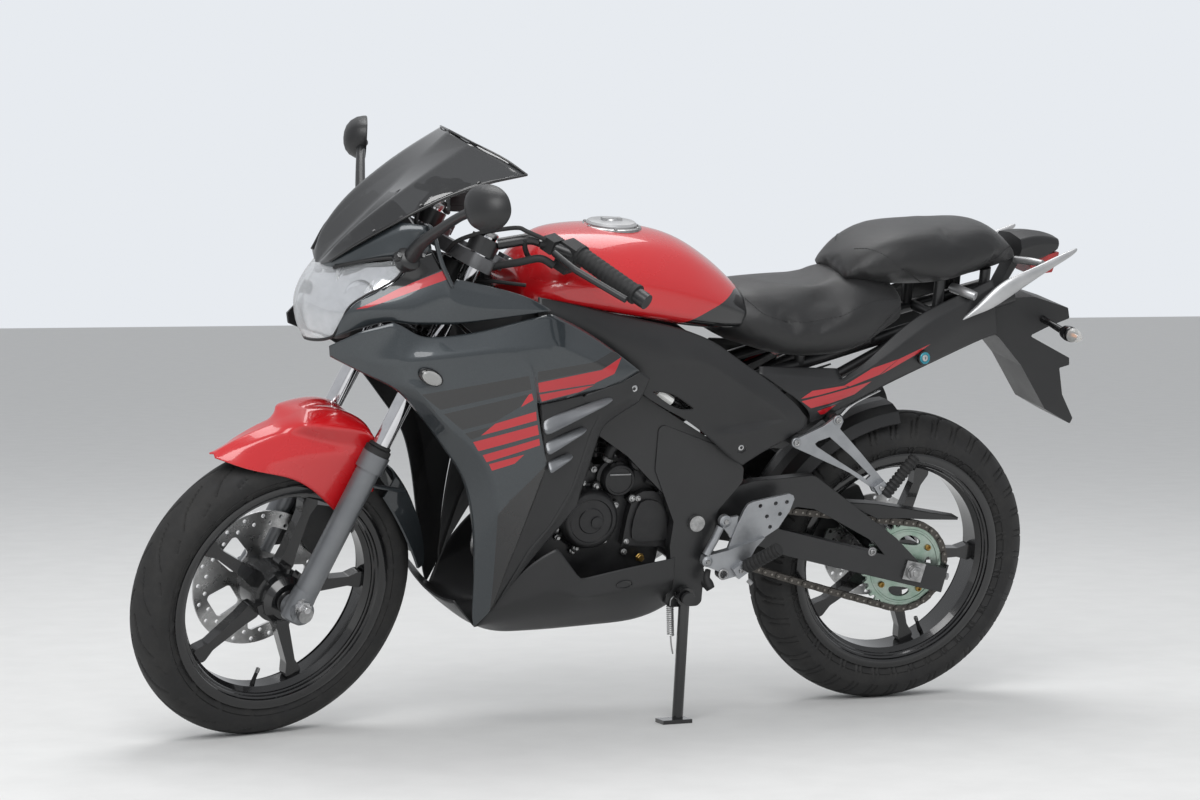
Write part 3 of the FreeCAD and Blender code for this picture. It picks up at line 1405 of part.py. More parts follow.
rider_seat = [
    (-470, [(0, 868), (60, 862), (84, 832), (70, 800), (0, 800)]),
    (-400, [(0, 893), (90, 884), (124, 842), (110, 786), (0, 780)]),
    (-280, [(0, 878), (110, 868), (150, 822), (130, 758), (0, 752)]),
    (-180, [(0, 900), (116, 884), (146, 836), (120, 772), (0, 768)]),
    (-60, [(0, 900), (90, 880), (110, 852), (90, 830), (0, 826)]),
]
pillion_seat = [
    (-205, [(0, 930), (60, 925), (84, 912), (70, 903), (0, 902)]),
    (-120, [(0, 992), (88, 984), (112, 940), (100, 903), (0, 902)]),
    (20, [(0, 1010), (96, 1000), (122, 950), (110, 903), (0, 902)]),
    (150, [(0, 1016), (76, 1006), (96, 970), (84, 930), (0, 926)]),
    (206, [(0, 962), (50, 958), (66, 948), (54, 940), (0, 938)]),
]
# The tank and the rider's seat meet on one sloping plane.
seat_joint = [(-384, 940), (-470, 790), (-470, 700), (-100, 700), (-100, 1040), (-340, 1040)]
seat_side = side_prism(seat_joint, 0, -300, 300)
seat_solid = section_loft(rider_seat, 20).common(seat_side)
pillion_solid = section_loft(pillion_seat, 18)
place(add_shape("rider_seat", seat_solid.cut(pillion_solid)), "machine")
place(add_shape("pillion_seat", pillion_solid), "machine")
seat_spaces = [add_shape("RiderSeatSpace", seat_solid), add_shape("PillionSeatSpace", pillion_solid)]
place(add_cut("subframe", rail_whole, frame_space + plate_space + seat_spaces), "machine")

tail = [
    (-330, [(112, 752), (140, 712), (142, 670), (128, 620)]),
    (-180, [(116, 772), (146, 730), (146, 690), (126, 640)]),
    (0, [(98, 828), (128, 802), (130, 776), (106, 738)]),
    (150, [(74, 900), (98, 876), (96, 856), (76, 822)]),
    (320, [(40, 974), (54, 962), (52, 950), (40, 930)]),
]
tail_outline = [(-330, 690), (-200, 735), (-40, 808), (60, 868), (210, 960), (311, 975), (300, 938), (235, 918),
                (127, 802), (-20, 752), (-271, 642), (-320, 655)]
place(skin_panel("tail_fairing", tail, [0, 1, 2, 3], tail_outline, panel,
                 bosses=[(-150, 740, 86, 8)], against=left_rails), "machine")

side_cover = [
    (-860, [(138, 920), (170, 860), (182, 780), (178, 660), (160, 540)]),
    (-700, [(144, 870), (176, 800), (190, 730), (184, 640), (160, 520)]),
    (-500, [(140, 820), (168, 750), (184, 690), (174, 600), (150, 500)]),
    (-300, [(126, 770), (146, 720), (152, 680), (146, 620), (130, 540)]),
]
cover_outline = [(-838, 877), (-741, 832), (-560, 790), (-389, 743), (-345, 665), (-431, 556), (-642, 737),
                 (-700, 790)]
place(skin_panel("side_covers", side_cover, [0, 2, 4], cover_outline, panel, radius=8,
                 bosses=[(-500, 676, 86, 9)], against=left_rails), "machine")

# Grab rails
rails_pair = []
for label, side in (("Left", -1), ("Right", 1)):
    run = bent_tube([(along(60), 64 * side, 884), (along(66), 134 * side, 884), (along(160), 140 * side, 908),
                     (along(288), 128 * side, 976)], 11, 24)
    post = Part.makeCylinder(9, 60, Vector(along(60), 66 * side, 826))
    rails_pair.append(add_shape("GrabRail" + label, run.fuse(post).cut(side_rail(side))))
place(add_group("grab_rails", rails_pair), "machine")

# Tail cowl behind the seat: its leg stands on the tail bar
cowl_stations = [
    (213, [(0, 986), (46, 980), (54, 962), (46, 936), (0, 932)]),
    (270, [(0, 990), (38, 985), (42, 970), (36, 938), (0, 926)]),
    (312, [(0, 980), (28, 977), (33, 967), (28, 954), (0, 952)]),
]
tail_seat = tail_bar[0][2] + tail_bar[2] + 0.3
cowl_leg = side_prism([(186, tail_seat), (198, tail_seat), (236, 940), (218, 940)], 0, -20, 20)
cowl = section_loft(cowl_stations, 8).fuse(cowl_leg)
place(add_shape("tail_cowl", cowl), "machine")
lamp_block = side_prism([(252, 902), (304, 908), (317, 952), (252, 934)], 3, -30, 30)
place(add_shape("tail_lamp", lamp_block.cut(cowl)), "machine")

# Number plate hanger: a block under the tail with a folded plate below it, open at its back
hanger_half, hanger_wall = 62, 6
plate_hanger_outline = [(100, 822), (186, 862), (250, 864), (332, 840), (338, 818), (288, 800), (249, 782), (348, 734),
                        (350, 719), (327, 713), (341, 656), (372, 605), (367, 593), (303, 626), (236, 720), (177, 780)]
hanger_plate = add_plate("HangerBlock", plate_hanger_outline, -hanger_half, hanger_half, 3)
hanger_hollow = add_plate("HangerHollow", [(258, 771), (246, 728), (311, 634), (366, 604), (400, 590), (400, 722),
                                           (346, 727)], hanger_wall - hanger_half, hanger_half - hanger_wall, 2)
hanger_space = [add_shape("HangerSpace%d" % side, side_rail(side)) for side in (-1, 1)]
hanger_space.append(add_bar("TailBarSpace", *tail_bar))
place(add_cut("plate_hanger", hanger_plate, [hanger_hollow] + hanger_space), "machine")

# Rear indicators on stalks beside the hanger
indicators = []
for label, side in (("Left", -1), ("Right", 1)):
    arm = add_bar("IndicatorArm" + label, (along(275), (hanger_half - 4) * side, 817),
                  (along(296), 120 * side, 803), 7)
    arm_seat = add_plate("IndicatorSeat" + label, [(240, 780), (320, 780), (320, 850), (240, 850)],
                         -hanger_half - 0.3, hanger_half + 0.3, 1)
    stalk = add_cut("IndicatorStalk" + label, arm, [arm_seat])
    pod = doc.addObject("Part::Ellipsoid", "IndicatorPod" + label)
    pod.Radius1, pod.Radius2, pod.Radius3 = 13, 17, 30
    pod.Placement = Placement(Vector(along(302), 140 * side, 801), Rotation())
    indicators.append(add_fuse("rear_indicator_" + label.lower(), [stalk, pod]))
place(add_group("rear_indicators", indicators), "machine")

# Inner mudguard over the front of the rear tyre, on two lugs of the swingarm
inner_guard_section = [(334, 0), (332, 30), (322, 56), (300, 66)]
inner_guard = ring_shell(rear_axle, [(angle, inner_guard_section) for angle in (96, 117, 138, 159)], 3.0)
for side in (-1, 1):
    lug = rod((along(-294), 20 * side, 458), (along(-294), 91.7 * side, 458), 6)
    inner_guard = inner_guard.fuse(lug)
place(add_shape("rear_inner_mudguard", inner_guard), "machine")

# Footrests, their hangers and the pillion brackets
hangers, pegs = [], []
hanger_outline = [(-496, 462), (-492, 336), (-446, 330), (-400, 395), (-391, 480), (-307, 491), (-380, 520)]
pillion_outline = [(-322, 606), (-218, 656), (-198, 630), (-64, 486), (-84, 462), (-240, 590), (-300, 584)]
for label, side in (("Left", -1), ("Right", 1)):
    near, far = sorted((154 * side, 162 * side))
    plate = add_plate("RiderHanger" + label, hanger_outline, near, far, 10)
    spacers = [add_bar("HangerSpacer%s%d" % (label, index), (along(-478), 142 * side, z), (along(-478), 156 * side, z), 10)
               for index, z in enumerate((440, 352))]
    hangers.append(add_fuse("rider_hanger_" + label.lower(), [plate] + spacers))
    near, far = sorted((156 * side, 164 * side))
    hangers.append(add_plate("pillion_bracket_" + label.lower(), pillion_outline, near, far, 8))
    pegs.append(add_bar("RiderPeg" + label, (along(-430), 162 * side, 372), (along(-430), 250 * side, 372), 13))
    thick_peg = 12 if side < 0 else 7
    peg_y = (164 + thick_peg) * side
    pegs.append(add_bar("PillionPeg" + label, (along(-88), 164 * side, 484), (along(-88), peg_y, 484), 12))
    pegs.append(add_bar("PillionPegBar" + label, (along(-92), peg_y, 480), (along(-40), peg_y, 568), thick_peg))
place(add_group("footrest_brackets", hangers), "machine")
footrests = [pegs[0], pegs[3], add_fuse("PillionLeft", pegs[1:3]), add_fuse("PillionRight", pegs[4:6])]
place(add_group("footrests", footrests), "machine")


# Write the finished sub-parts

doc.recompute()


def finish():
    """Places every sub-part on the road, checks it and writes it out."""
    steered_place = machine_place.multiply(steer_turn)
    frames = {"machine": machine_place, "steered": steered_place}
    box = FreeCAD.BoundBox()
    for feature, frame, at in nodes:
        placed = feature.Shape.copy()
        placed.Placement = frames[frame].multiply(at)
        box.add(placed.optimalBoundingBox(False, False))
    shift = Vector(-box.Center.x, -box.Center.y, 0)
    for feature, frame, at in nodes:
        feature.Placement = Placement(shift, Rotation()).multiply(frames[frame]).multiply(at)
    doc.recompute()
    for item in doc.Objects:
        if "Invalid" in item.State or "Error" in item.State:
            raise RuntimeError("%s did not build: %s" % (item.Name, item.State))
    os.makedirs("parts", exist_ok=True)
    for feature, frame, at in nodes:
        shape = feature.Shape
        if shape.isNull() or not shape.isValid() or not shape.Solids:
            raise RuntimeError("%s has no valid solid" % feature.Label)
        shape.exportStep("parts/%s.step" % feature.Label)
    return shift, box


origin_shift, overall_box = finish()
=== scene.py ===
"""Looks of a faired sport motorcycle that leans on its side stand."""

import json
import math
import random

import bmesh
import bpy
from bpy.props import FloatProperty, FloatVectorProperty
from mathutils import Matrix, Vector
from mathutils.bvhtree import BVHTree


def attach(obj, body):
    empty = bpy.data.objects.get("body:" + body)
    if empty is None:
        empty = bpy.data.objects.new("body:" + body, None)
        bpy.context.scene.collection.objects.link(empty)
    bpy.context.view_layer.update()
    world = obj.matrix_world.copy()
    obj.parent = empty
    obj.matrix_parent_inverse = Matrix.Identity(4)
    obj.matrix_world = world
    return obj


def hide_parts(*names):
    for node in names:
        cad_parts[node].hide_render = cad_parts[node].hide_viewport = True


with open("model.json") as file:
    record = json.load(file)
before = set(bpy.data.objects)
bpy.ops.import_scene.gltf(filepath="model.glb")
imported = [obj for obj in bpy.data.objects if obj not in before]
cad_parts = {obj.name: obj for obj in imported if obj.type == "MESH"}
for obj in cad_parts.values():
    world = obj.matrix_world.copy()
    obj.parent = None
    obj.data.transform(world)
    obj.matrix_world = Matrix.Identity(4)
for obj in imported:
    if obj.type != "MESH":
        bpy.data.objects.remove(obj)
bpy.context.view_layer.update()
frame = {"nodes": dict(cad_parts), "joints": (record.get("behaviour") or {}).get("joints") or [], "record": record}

bl_info = {
    "name": "Sport Motorcycle",
    "version": (1, 0, 0),
    "blender": (4, 5, 0),
    "location": "View3D > Sidebar > Motorcycle",
    "description": "Dresses a packed sport motorcycle with paint, tread, seats and small parts",
    "category": "Add Mesh",
}

MACHINE = "machine"
STEERED = "fork_and_bars"
FRONT_WHEEL = "front_wheel_assembly"
REAR_WHEEL = "rear_wheel_assembly"
STAND = "side_stand_leg"

# One millimetre in metres: the pieces are drawn in millimetres and stand in the scene in metres.
MILLIMETRE = 0.001


# Where the machine stands. Pieces are drawn upright, in millimetres from the rear tyre's foot,
# with the nose towards -X and the left side towards -Y, and then leaned with these places.


def joint(name):
    """One joint of the frame by its name."""
    return next(item for item in frame["joints"] if item["name"] == name)


RAKE = math.radians(25.0)
STEER_LINE = Vector((math.sin(RAKE), 0.0, math.cos(RAKE)))


def axes_place(across, up_line, drawn_at, placed_at):
    """The placement that takes the drawn Y axis and steering line to where they are now."""
    across, up_line = Vector(across).normalized(), Vector(up_line).normalized()
    drawn = Matrix((Vector((0, 1, 0)), STEER_LINE, Vector((0, 1, 0)).cross(STEER_LINE)))
    placed = Matrix((across, up_line, across.cross(up_line))).transposed()
    turn = (placed @ drawn).to_4x4()
    return Matrix.Translation(Vector(placed_at)) @ turn @ Matrix.Translation(-Vector(drawn_at))


REAR_AXLE = Vector((0.0, 0.0, 0.307))
FRONT_AXLE = Vector((-1.32, 0.0, 0.296))
MACHINE_PLACE = axes_place(
    joint("rear_wheel_spin")["axis"], joint("steering")["axis"], REAR_AXLE, joint("rear_wheel_spin")["pos_m"]
)
STEERED_PLACE = axes_place(
    joint("front_wheel_spin")["axis"], joint("steering")["axis"], FRONT_AXLE,
    joint("front_wheel_spin")["pos_m"]
)
PLACES = {MACHINE: MACHINE_PLACE, STEERED: STEERED_PLACE, FRONT_WHEEL: STEERED_PLACE,
          REAR_WHEEL: MACHINE_PLACE, STAND: MACHINE_PLACE}


# Drawing


def mirrored(point):
    """The same place on the other side of the machine."""
    return (point[0], -point[1], point[2])


def between(start, end, share):
    """The point at a share of the way from start to end."""
    return tuple(a + (b - a) * share for a, b in zip(start, end))


def sided(point, side):
    """The place itself where side is 1, and its mirror image where side is -1."""
    return Vector((point[0], point[1] * side, point[2]))


def round_turns(count):
    """Evenly spaced angles of a full turn."""
    return [2 * math.pi * index / count for index in range(count)]


def smooth_line(points, steps=6, closed=False):
    """Points on a smooth curve through the given ones."""
    points = [Vector(point) for point in points]
    count = len(points)
    line = []
    spans = count if closed else count - 1
    for index in range(spans):
        if closed:
            a, b, c, d = (points[(index + k) % count] for k in (-1, 0, 1, 2))
        else:
            b, c = points[index], points[index + 1]
            a = points[index - 1] if index else b * 2 - c
            d = points[index + 2] if index + 2 < count else c * 2 - b
        for step in range(steps):
            t = step / steps
            line.append(0.5 * (2 * b + (c - a) * t + (2 * a - 5 * b + 4 * c - d) * t ** 2
                               + (3 * b - a - 3 * c + d) * t ** 3))
    if not closed:
        line.append(points[-1])
    return line


class Form:
    """Faces of one piece, drawn upright in millimetres."""

    def __init__(self, mesh=None):
        self.mesh = bmesh.new()
        if mesh is None:
            self.crease = self.mesh.edges.layers.float.new("crease_edge")
            self.corner = self.mesh.verts.layers.float.new("crease_vert")
        else:
            self.mesh.from_mesh(mesh)

    def verts(self, points):
        """New corners at the points."""
        return [self.mesh.verts.new(Vector(point)) for point in points]

    def face(self, verts, slot=0):
        """One face, left out where it is already there or too small."""
        unique = list(dict.fromkeys(verts))
        if len(unique) < 3:
            return
        try:
            self.mesh.faces.new(unique).material_index = slot
        except ValueError:
            return

    def skin(self, rows, slot=0, ring=False, first=False, last=False, loop=False):
        """Quads between rows of points, closed round each row when ring is set."""
        grid = [self.verts(row) for row in rows]
        pairs = list(zip(grid, grid[1:])) + ([(grid[-1], grid[0])] if loop else [])
        for low, high in pairs:
            count = len(low)
            for index in range(count if ring else count - 1):
                step = (index + 1) % count
                self.face((low[index], low[step], high[step], high[index]), slot)
        if first:
            self.face(grid[0][::-1], slot)
        if last:
            self.face(grid[-1], slot)

    def net(self, places, patches, slot=0):
        """Faces by the names of their corners. A patch is a string of names, or (names, slot)."""
        corner = {name: self.mesh.verts.new(Vector(point)) for name, point in places.items()}
        for patch in patches:
            names, finish = patch if isinstance(patch, tuple) else (patch, slot)
            self.face([corner[name] for name in names.split()], finish)
        return corner

    def sharpen(self, corner, lines, value=0.8):
        """Creases along lines of named corners."""
        for line in lines:
            names = line.split()
            for start, end in zip(names, names[1:]):
                edge = self.mesh.edges.get((corner[start], corner[end]))
                if edge:
                    edge[self.crease] = value

    def sharpen_rim(self, value=0.85, angle=34.0):
        """Creases round the free edge, with its corners held."""
        for edge in self.mesh.edges:
            if edge.is_boundary:
                edge[self.crease] = value
        for vert in self.mesh.verts:
            rim = [edge for edge in vert.link_edges if edge.is_boundary]
            if len(rim) == 2:
                ways = [(edge.other_vert(vert).co - vert.co) for edge in rim]
                if ways[0].length and ways[1].length and 180 - math.degrees(ways[0].angle(ways[1])) > angle:
                    vert[self.corner] = 0.9

    def tube(self, points, radius, sides=14, slot=0, steps=0):
        """A round bar along points, smoothed when steps is set. Radius is a number or one for each point."""
        radii = radius if isinstance(radius, (list, tuple)) else [radius] * len(points)
        if steps:
            spread = []
            for low, high in zip(radii, radii[1:]):
                spread += [low + (high - low) * step / steps for step in range(steps)]
            radii, points = spread + [radii[-1]], smooth_line(points, steps)
        points = [Vector(point) for point in points]
        last = len(points) - 1
        rows, side = [], None
        for index, point in enumerate(points):
            way = points[min(index + 1, last)] - points[max(index - 1, 0)]
            way.normalize()
            if side is None:
                side = way.orthogonal().normalized()
            side = (side - way * side.dot(way)).normalized()
            up = way.cross(side)
            rows.append([point + radii[index] * (side * math.cos(a) + up * math.sin(a))
                         for a in round_turns(sides)])
        self.skin(rows, slot, True, True, True)

    def lathe(self, profile, centre, axis, steps=40, slot=0, close=False):
        """Turns a profile of (distance along the axis, radius) round the axis."""
        centre, axis = Vector(centre), Vector(axis).normalized()
        side = axis.orthogonal().normalized()
        up = axis.cross(side)
        rows = []
        for along, radius in profile:
            rows.append([centre + axis * along + radius * (side * math.cos(a) + up * math.sin(a))
                         for a in round_turns(steps)])
        ends = not close
        self.skin(rows, slot, True, ends and profile[0][1] > 0.01, ends and profile[-1][1] > 0.01, close)

    def prism(self, outline, near, far, slot=0):
        """A plate between two distances across the machine, from its outline in side view."""
        rows = [[(point[0], distance, point[-1]) for point in outline] for distance in (near, far)]
        self.skin(rows, slot, True, True, True)

    def block(self, centre, size, slot=0, turn=None):
        """A box about its centre."""
        turn = turn or Matrix.Identity(3)
        half = Vector(size) / 2
        corners = [Vector((x, y, z)) for z in (-1, 1) for x, y in ((-1, -1), (1, -1), (1, 1), (-1, 1))]
        placed = [Vector(centre) + turn @ Vector((c.x * half.x, c.y * half.y, c.z * half.z)) for c in corners]
        self.skin([placed[:4], placed[4:]], slot, True, True, True)

    def bolt(self, centre, axis, radius=6.0, height=5.0, slot=0):
        """A round head with a recess."""
        self.lathe([(-2, radius), (height - 1.2, radius), (height - 0.3, radius * 0.9),
                    (height, radius * 0.74), (height, radius * 0.5), (height * 0.3, radius * 0.46)], centre,
                   axis, 18, slot)

    def hexagon(self, centre, axis, radius=9.0, height=6.0, slot=0):
        """A six-sided nut with its corners taken off."""
        self.lathe([(0, radius), (height - 1.2, radius), (height, radius * 0.86)], centre, axis, 6, slot)

    def both_sides(self):
        """Adds the mirror image of everything drawn so far."""
        whole = self.mesh.verts[:] + self.mesh.edges[:] + self.mesh.faces[:]
        twin = bmesh.ops.duplicate(self.mesh, geom=whole)
        verts = [item for item in twin["geom"] if isinstance(item, bmesh.types.BMVert)]
        faces = [item for item in twin["geom"] if isinstance(item, bmesh.types.BMFace)]
        for vert in verts:
            vert.co.y = -vert.co.y
        bmesh.ops.reverse_faces(self.mesh, faces=faces)


def evaluated_mesh(mesh, modifiers):
    """The mesh after modifiers, given as (type, values)."""
    holder = bpy.data.objects.new("shaping", mesh)
    bpy.context.scene.collection.objects.link(holder)
    for kind, values in modifiers:
        modifier = holder.modifiers.new(kind.lower(), kind)
        for key, value in values.items():
            setattr(modifier, key, value)
    depsgraph = bpy.context.evaluated_depsgraph_get()
    shaped = bpy.data.meshes.new_from_object(holder.evaluated_get(depsgraph))
    bpy.data.objects.remove(holder)
    return shaped


def refined(form, levels):
    """The form after subdivision, as a new form."""
    mesh = bpy.data.meshes.new("rough")
    form.mesh.to_mesh(mesh)
    return Form(evaluated_mesh(mesh, [("SUBSURF", {"levels": levels, "render_levels": levels})]))


def paint_stripes(form, stripes):
    """Cuts the outlines of stripes, drawn in side view, into the faces of slot 0 and gives them slots."""
    mesh = form.mesh
    for outline, slot in stripes:
        middle = Vector((sum(p[0] for p in outline), 0, sum(p[-1] for p in outline))) / len(outline)
        lows = (min(p[0] for p in outline) - 12, min(p[-1] for p in outline) - 12)
        highs = (max(p[0] for p in outline) + 12, max(p[-1] for p in outline) + 12)
        planes = []
        for start, end in zip(outline, outline[1:] + outline[:1]):
            way = Vector((end[0] - start[0], 0, end[-1] - start[-1]))
            normal = Vector((way.z, 0, -way.x)).normalized()
            at = Vector((start[0], 0, start[-1]))
            if normal.dot(middle - at) < 0:
                normal = -normal
            planes.append((at, normal))
        for at, normal in planes:
            near = [face for face in mesh.faces if face.material_index == 0
                    and lows[0] < face.calc_center_median().x < highs[0]
                    and lows[1] < face.calc_center_median().z < highs[1]]
            edges = list({edge for face in near for edge in face.edges})
            verts = list({vert for face in near for vert in face.verts})
            bmesh.ops.bisect_plane(mesh, geom=near + edges + verts, dist=0.01, plane_co=at, plane_no=normal)
        for face in mesh.faces:
            if face.material_index == 0:
                centre = face.calc_center_median()
                if all(normal.dot(centre - at) > 0 for at, normal in planes):
                    face.material_index = slot


def make_piece(name, form, body, materials, replaces=(), solid=0.0, bevel=0.0, smooth=32.0,
               inner=None, weld=0.01):
    """Turns a form into a piece that rides on a body. Lengths are millimetres, smooth is degrees."""
    if weld:
        bmesh.ops.remove_doubles(form.mesh, verts=form.mesh.verts, dist=weld)
    if not solid:
        bmesh.ops.recalc_face_normals(form.mesh, faces=form.mesh.faces)
    scale = Matrix.Scale(MILLIMETRE, 4)
    layer = form.mesh.loops.layers.uv.new("upright")
    for face in form.mesh.faces:
        face.smooth = True
        for loop in face.loops:
            loop[layer].uv = (loop.vert.co.x * MILLIMETRE, loop.vert.co.z * MILLIMETRE)
    form.mesh.transform(PLACES[body] @ scale)
    mesh = bpy.data.meshes.new(name)
    form.mesh.to_mesh(mesh)
    form.mesh.free()
    piece = bpy.data.objects.new(name, mesh)
    bpy.context.scene.collection.objects.link(piece)
    for material in materials:
        mesh.materials.append(MATERIALS[material])
    if solid:
        modifier = piece.modifiers.new("wall", "SOLIDIFY")
        modifier.thickness = solid * MILLIMETRE
        modifier.offset = -1.0
        modifier.use_even_offset = False
        if inner is not None:
            modifier.material_offset = inner
            modifier.material_offset_rim = 0
    if bevel:
        modifier = piece.modifiers.new("rounding", "BEVEL")
        modifier.width = bevel * MILLIMETRE
        modifier.segments = 2
        modifier.limit_method = "ANGLE"
        modifier.angle_limit = math.radians(smooth)
    mesh.set_sharp_from_angle(angle=math.radians(smooth))
    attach(piece, body)
    if replaces:
        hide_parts(*replaces)


# Finishes

MATERIALS = {}


def node(tree, kind, inputs=None, **settings):
    """A node with its settings and its input values or links."""
    item = tree.nodes.new(kind)
    for key, value in settings.items():
        setattr(item, key, value)
    for key, value in (inputs or {}).items():
        if isinstance(value, bpy.types.NodeSocket):
            tree.links.new(value, item.inputs[key])
        else:
            item.inputs[key].default_value = value
    return item


def rgb(colour):
    """A colour with full alpha."""
    return (*colour, 1.0)


def new_group(name, inputs, outputs):
    """A shader group with named sockets."""
    tree = bpy.data.node_groups.new(name, "ShaderNodeTree")
    kinds = {"value": "NodeSocketFloat", "colour": "NodeSocketColor", "vector": "NodeSocketVector"}
    for socket, kind, default in inputs:
        item = tree.interface.new_socket(socket, in_out="INPUT", socket_type=kinds[kind])
        item.default_value = default
    for socket, kind in outputs:
        tree.interface.new_socket(socket, in_out="OUTPUT", socket_type=kinds[kind])
    return tree, tree.nodes.new("NodeGroupInput"), tree.nodes.new("NodeGroupOutput")


def build_soft_variation():
    """A colour and a gloss that vary softly over the surface."""
    tree, given, out = new_group("soft_variation", [
        ("Colour", "colour", (0.5, 0.5, 0.5, 1)), ("Tone", "colour", (0.4, 0.4, 0.4, 1)),
        ("Scale", "value", 8.0), ("Roughness", "value", 0.5), ("Spread", "value", 0.1)],
                                 [("Colour", "colour"), ("Roughness", "value")])
    place = node(tree, "ShaderNodeTexCoord")
    noise = node(tree, "ShaderNodeTexNoise", {"Vector": place.outputs["Object"],
                                              "Scale": given.outputs["Scale"], "Detail": 5.0,
                                              "Roughness": 0.6})
    spread = node(tree, "ShaderNodeMapRange", {0: noise.outputs["Fac"], 1: 0.35, 2: 0.65, 3: 0.0, 4: 1.0})
    mix = node(tree, "ShaderNodeMix", {0: spread.outputs[0], 6: given.outputs["Colour"],
                                       7: given.outputs["Tone"]},
               data_type="RGBA")
    tree.links.new(mix.outputs[2], out.inputs["Colour"])
    shift = node(tree, "ShaderNodeMath", {0: spread.outputs[0], 1: given.outputs["Spread"]},
                 operation="MULTIPLY")
    rough = node(tree, "ShaderNodeMath", {0: shift.outputs[0], 1: given.outputs["Roughness"]},
                 operation="ADD")
    tree.links.new(rough.outputs[0], out.inputs["Roughness"])


def build_fine_grain():
    """A fine bump, stretched along one axis where the finish is brushed."""
    tree, given, out = new_group("fine_grain", [("Scale", "value", 900.0), ("Strength", "value", 0.1),
                                                ("Stretch", "vector", (1, 1, 1))], [("Normal", "vector")])
    place = node(tree, "ShaderNodeTexCoord")
    stretched = node(tree, "ShaderNodeVectorMath", {0: place.outputs["Object"], 1: given.outputs["Stretch"]},
                     operation="MULTIPLY")
    noise = node(tree, "ShaderNodeTexNoise", {"Vector": stretched.outputs[0], "Scale": given.outputs["Scale"],
                                              "Detail": 3.0})
    bump = node(tree, "ShaderNodeBump", {"Strength": given.outputs["Strength"], "Distance": 0.0006,
                                         "Height": noise.outputs["Fac"]})
    tree.links.new(bump.outputs[0], out.inputs["Normal"])


def build_leather_cells():
    """The small cells of seat leather, as a bump and a mask."""
    tree, given, out = new_group("leather_cells", [("Scale", "value", 420.0), ("Strength", "value", 0.25)],
                                 [("Normal", "vector"), ("Mask", "value")])
    place = node(tree, "ShaderNodeTexCoord")
    cells = node(tree, "ShaderNodeTexVoronoi", {"Vector": place.outputs["Object"],
                                                "Scale": given.outputs["Scale"]},
                 feature="DISTANCE_TO_EDGE")
    height = node(tree, "ShaderNodeMapRange", {0: cells.outputs["Distance"], 1: 0.0, 2: 0.22, 3: 0.0, 4: 1.0})
    bump = node(tree, "ShaderNodeBump", {"Strength": given.outputs["Strength"], "Distance": 0.0005,
                                         "Height": height.outputs[0]})
    tree.links.new(bump.outputs[0], out.inputs["Normal"])
    tree.links.new(height.outputs[0], out.inputs["Mask"])


def build_paint_flake():
    """Metal flakes in a lacquer."""
    tree, given, out = new_group("paint_flake", [("Colour", "colour", (0.1, 0.1, 0.1, 1)),
                                                 ("Flake", "colour", (0.4, 0.4, 0.4, 1)),
                                                 ("Scale", "value", 2600.0), ("Amount", "value", 0.5)],
                                 [("Colour", "colour"), ("Normal", "vector")])
    place = node(tree, "ShaderNodeTexCoord")
    cells = node(tree, "ShaderNodeTexVoronoi", {"Vector": place.outputs["Object"],
                                                "Scale": given.outputs["Scale"]})
    glint = node(tree, "ShaderNodeMapRange", {0: cells.outputs["Color"], 1: 0.55, 2: 1.0, 3: 0.0, 4: 1.0})
    amount = node(tree, "ShaderNodeMath", {0: glint.outputs[0], 1: given.outputs["Amount"]},
                  operation="MULTIPLY")
    mix = node(tree, "ShaderNodeMix", {0: amount.outputs[0], 6: given.outputs["Colour"],
                                       7: given.outputs["Flake"]},
               data_type="RGBA")
    bump = node(tree, "ShaderNodeBump", {"Strength": 0.06, "Distance": 0.0002,
                                         "Height": cells.outputs["Color"]})
    tree.links.new(mix.outputs[2], out.inputs["Colour"])
    tree.links.new(bump.outputs[0], out.inputs["Normal"])


def build_settled_dust():
    """Dust in soft patches over a colour."""
    tree, given, out = new_group("settled_dust", [("Colour", "colour", (0.1, 0.1, 0.1, 1)),
                                                  ("Dust", "colour", (0.3, 0.28, 0.25, 1)),
                                                  ("Amount", "value", 0.2), ("Scale", "value", 30.0)],
                                 [("Colour", "colour"), ("Mask", "value")])
    place = node(tree, "ShaderNodeTexCoord")
    noise = node(tree, "ShaderNodeTexNoise", {"Vector": place.outputs["Object"],
                                              "Scale": given.outputs["Scale"], "Detail": 8.0,
                                              "Roughness": 0.7})
    patch = node(tree, "ShaderNodeMapRange", {0: noise.outputs["Fac"], 1: 0.45, 2: 0.75, 3: 0.0, 4: 1.0})
    amount = node(tree, "ShaderNodeMath", {0: patch.outputs[0], 1: given.outputs["Amount"]},
                  operation="MULTIPLY")
    mix = node(tree, "ShaderNodeMix", {0: amount.outputs[0], 6: given.outputs["Colour"],
                                       7: given.outputs["Dust"]},
               data_type="RGBA")
    tree.links.new(mix.outputs[2], out.inputs["Colour"])
    tree.links.new(amount.outputs[0], out.inputs["Mask"])


def group(tree, name, inputs):
    """A shared effect with its input values or links."""
    return node(tree, "ShaderNodeGroup", inputs, node_tree=bpy.data.node_groups[name])


def new_material(name):
    """A material with an empty tree, its shader and its output."""
    material = bpy.data.materials.new(name)
    material.use_nodes = True
    tree = material.node_tree
    tree.nodes.clear()
    output = tree.nodes.new("ShaderNodeOutputMaterial")
    shader = tree.nodes.new("ShaderNodeBsdfPrincipled")
    tree.links.new(shader.outputs["BSDF"], output.inputs["Surface"])
    MATERIALS[name] = material
    return tree, shader


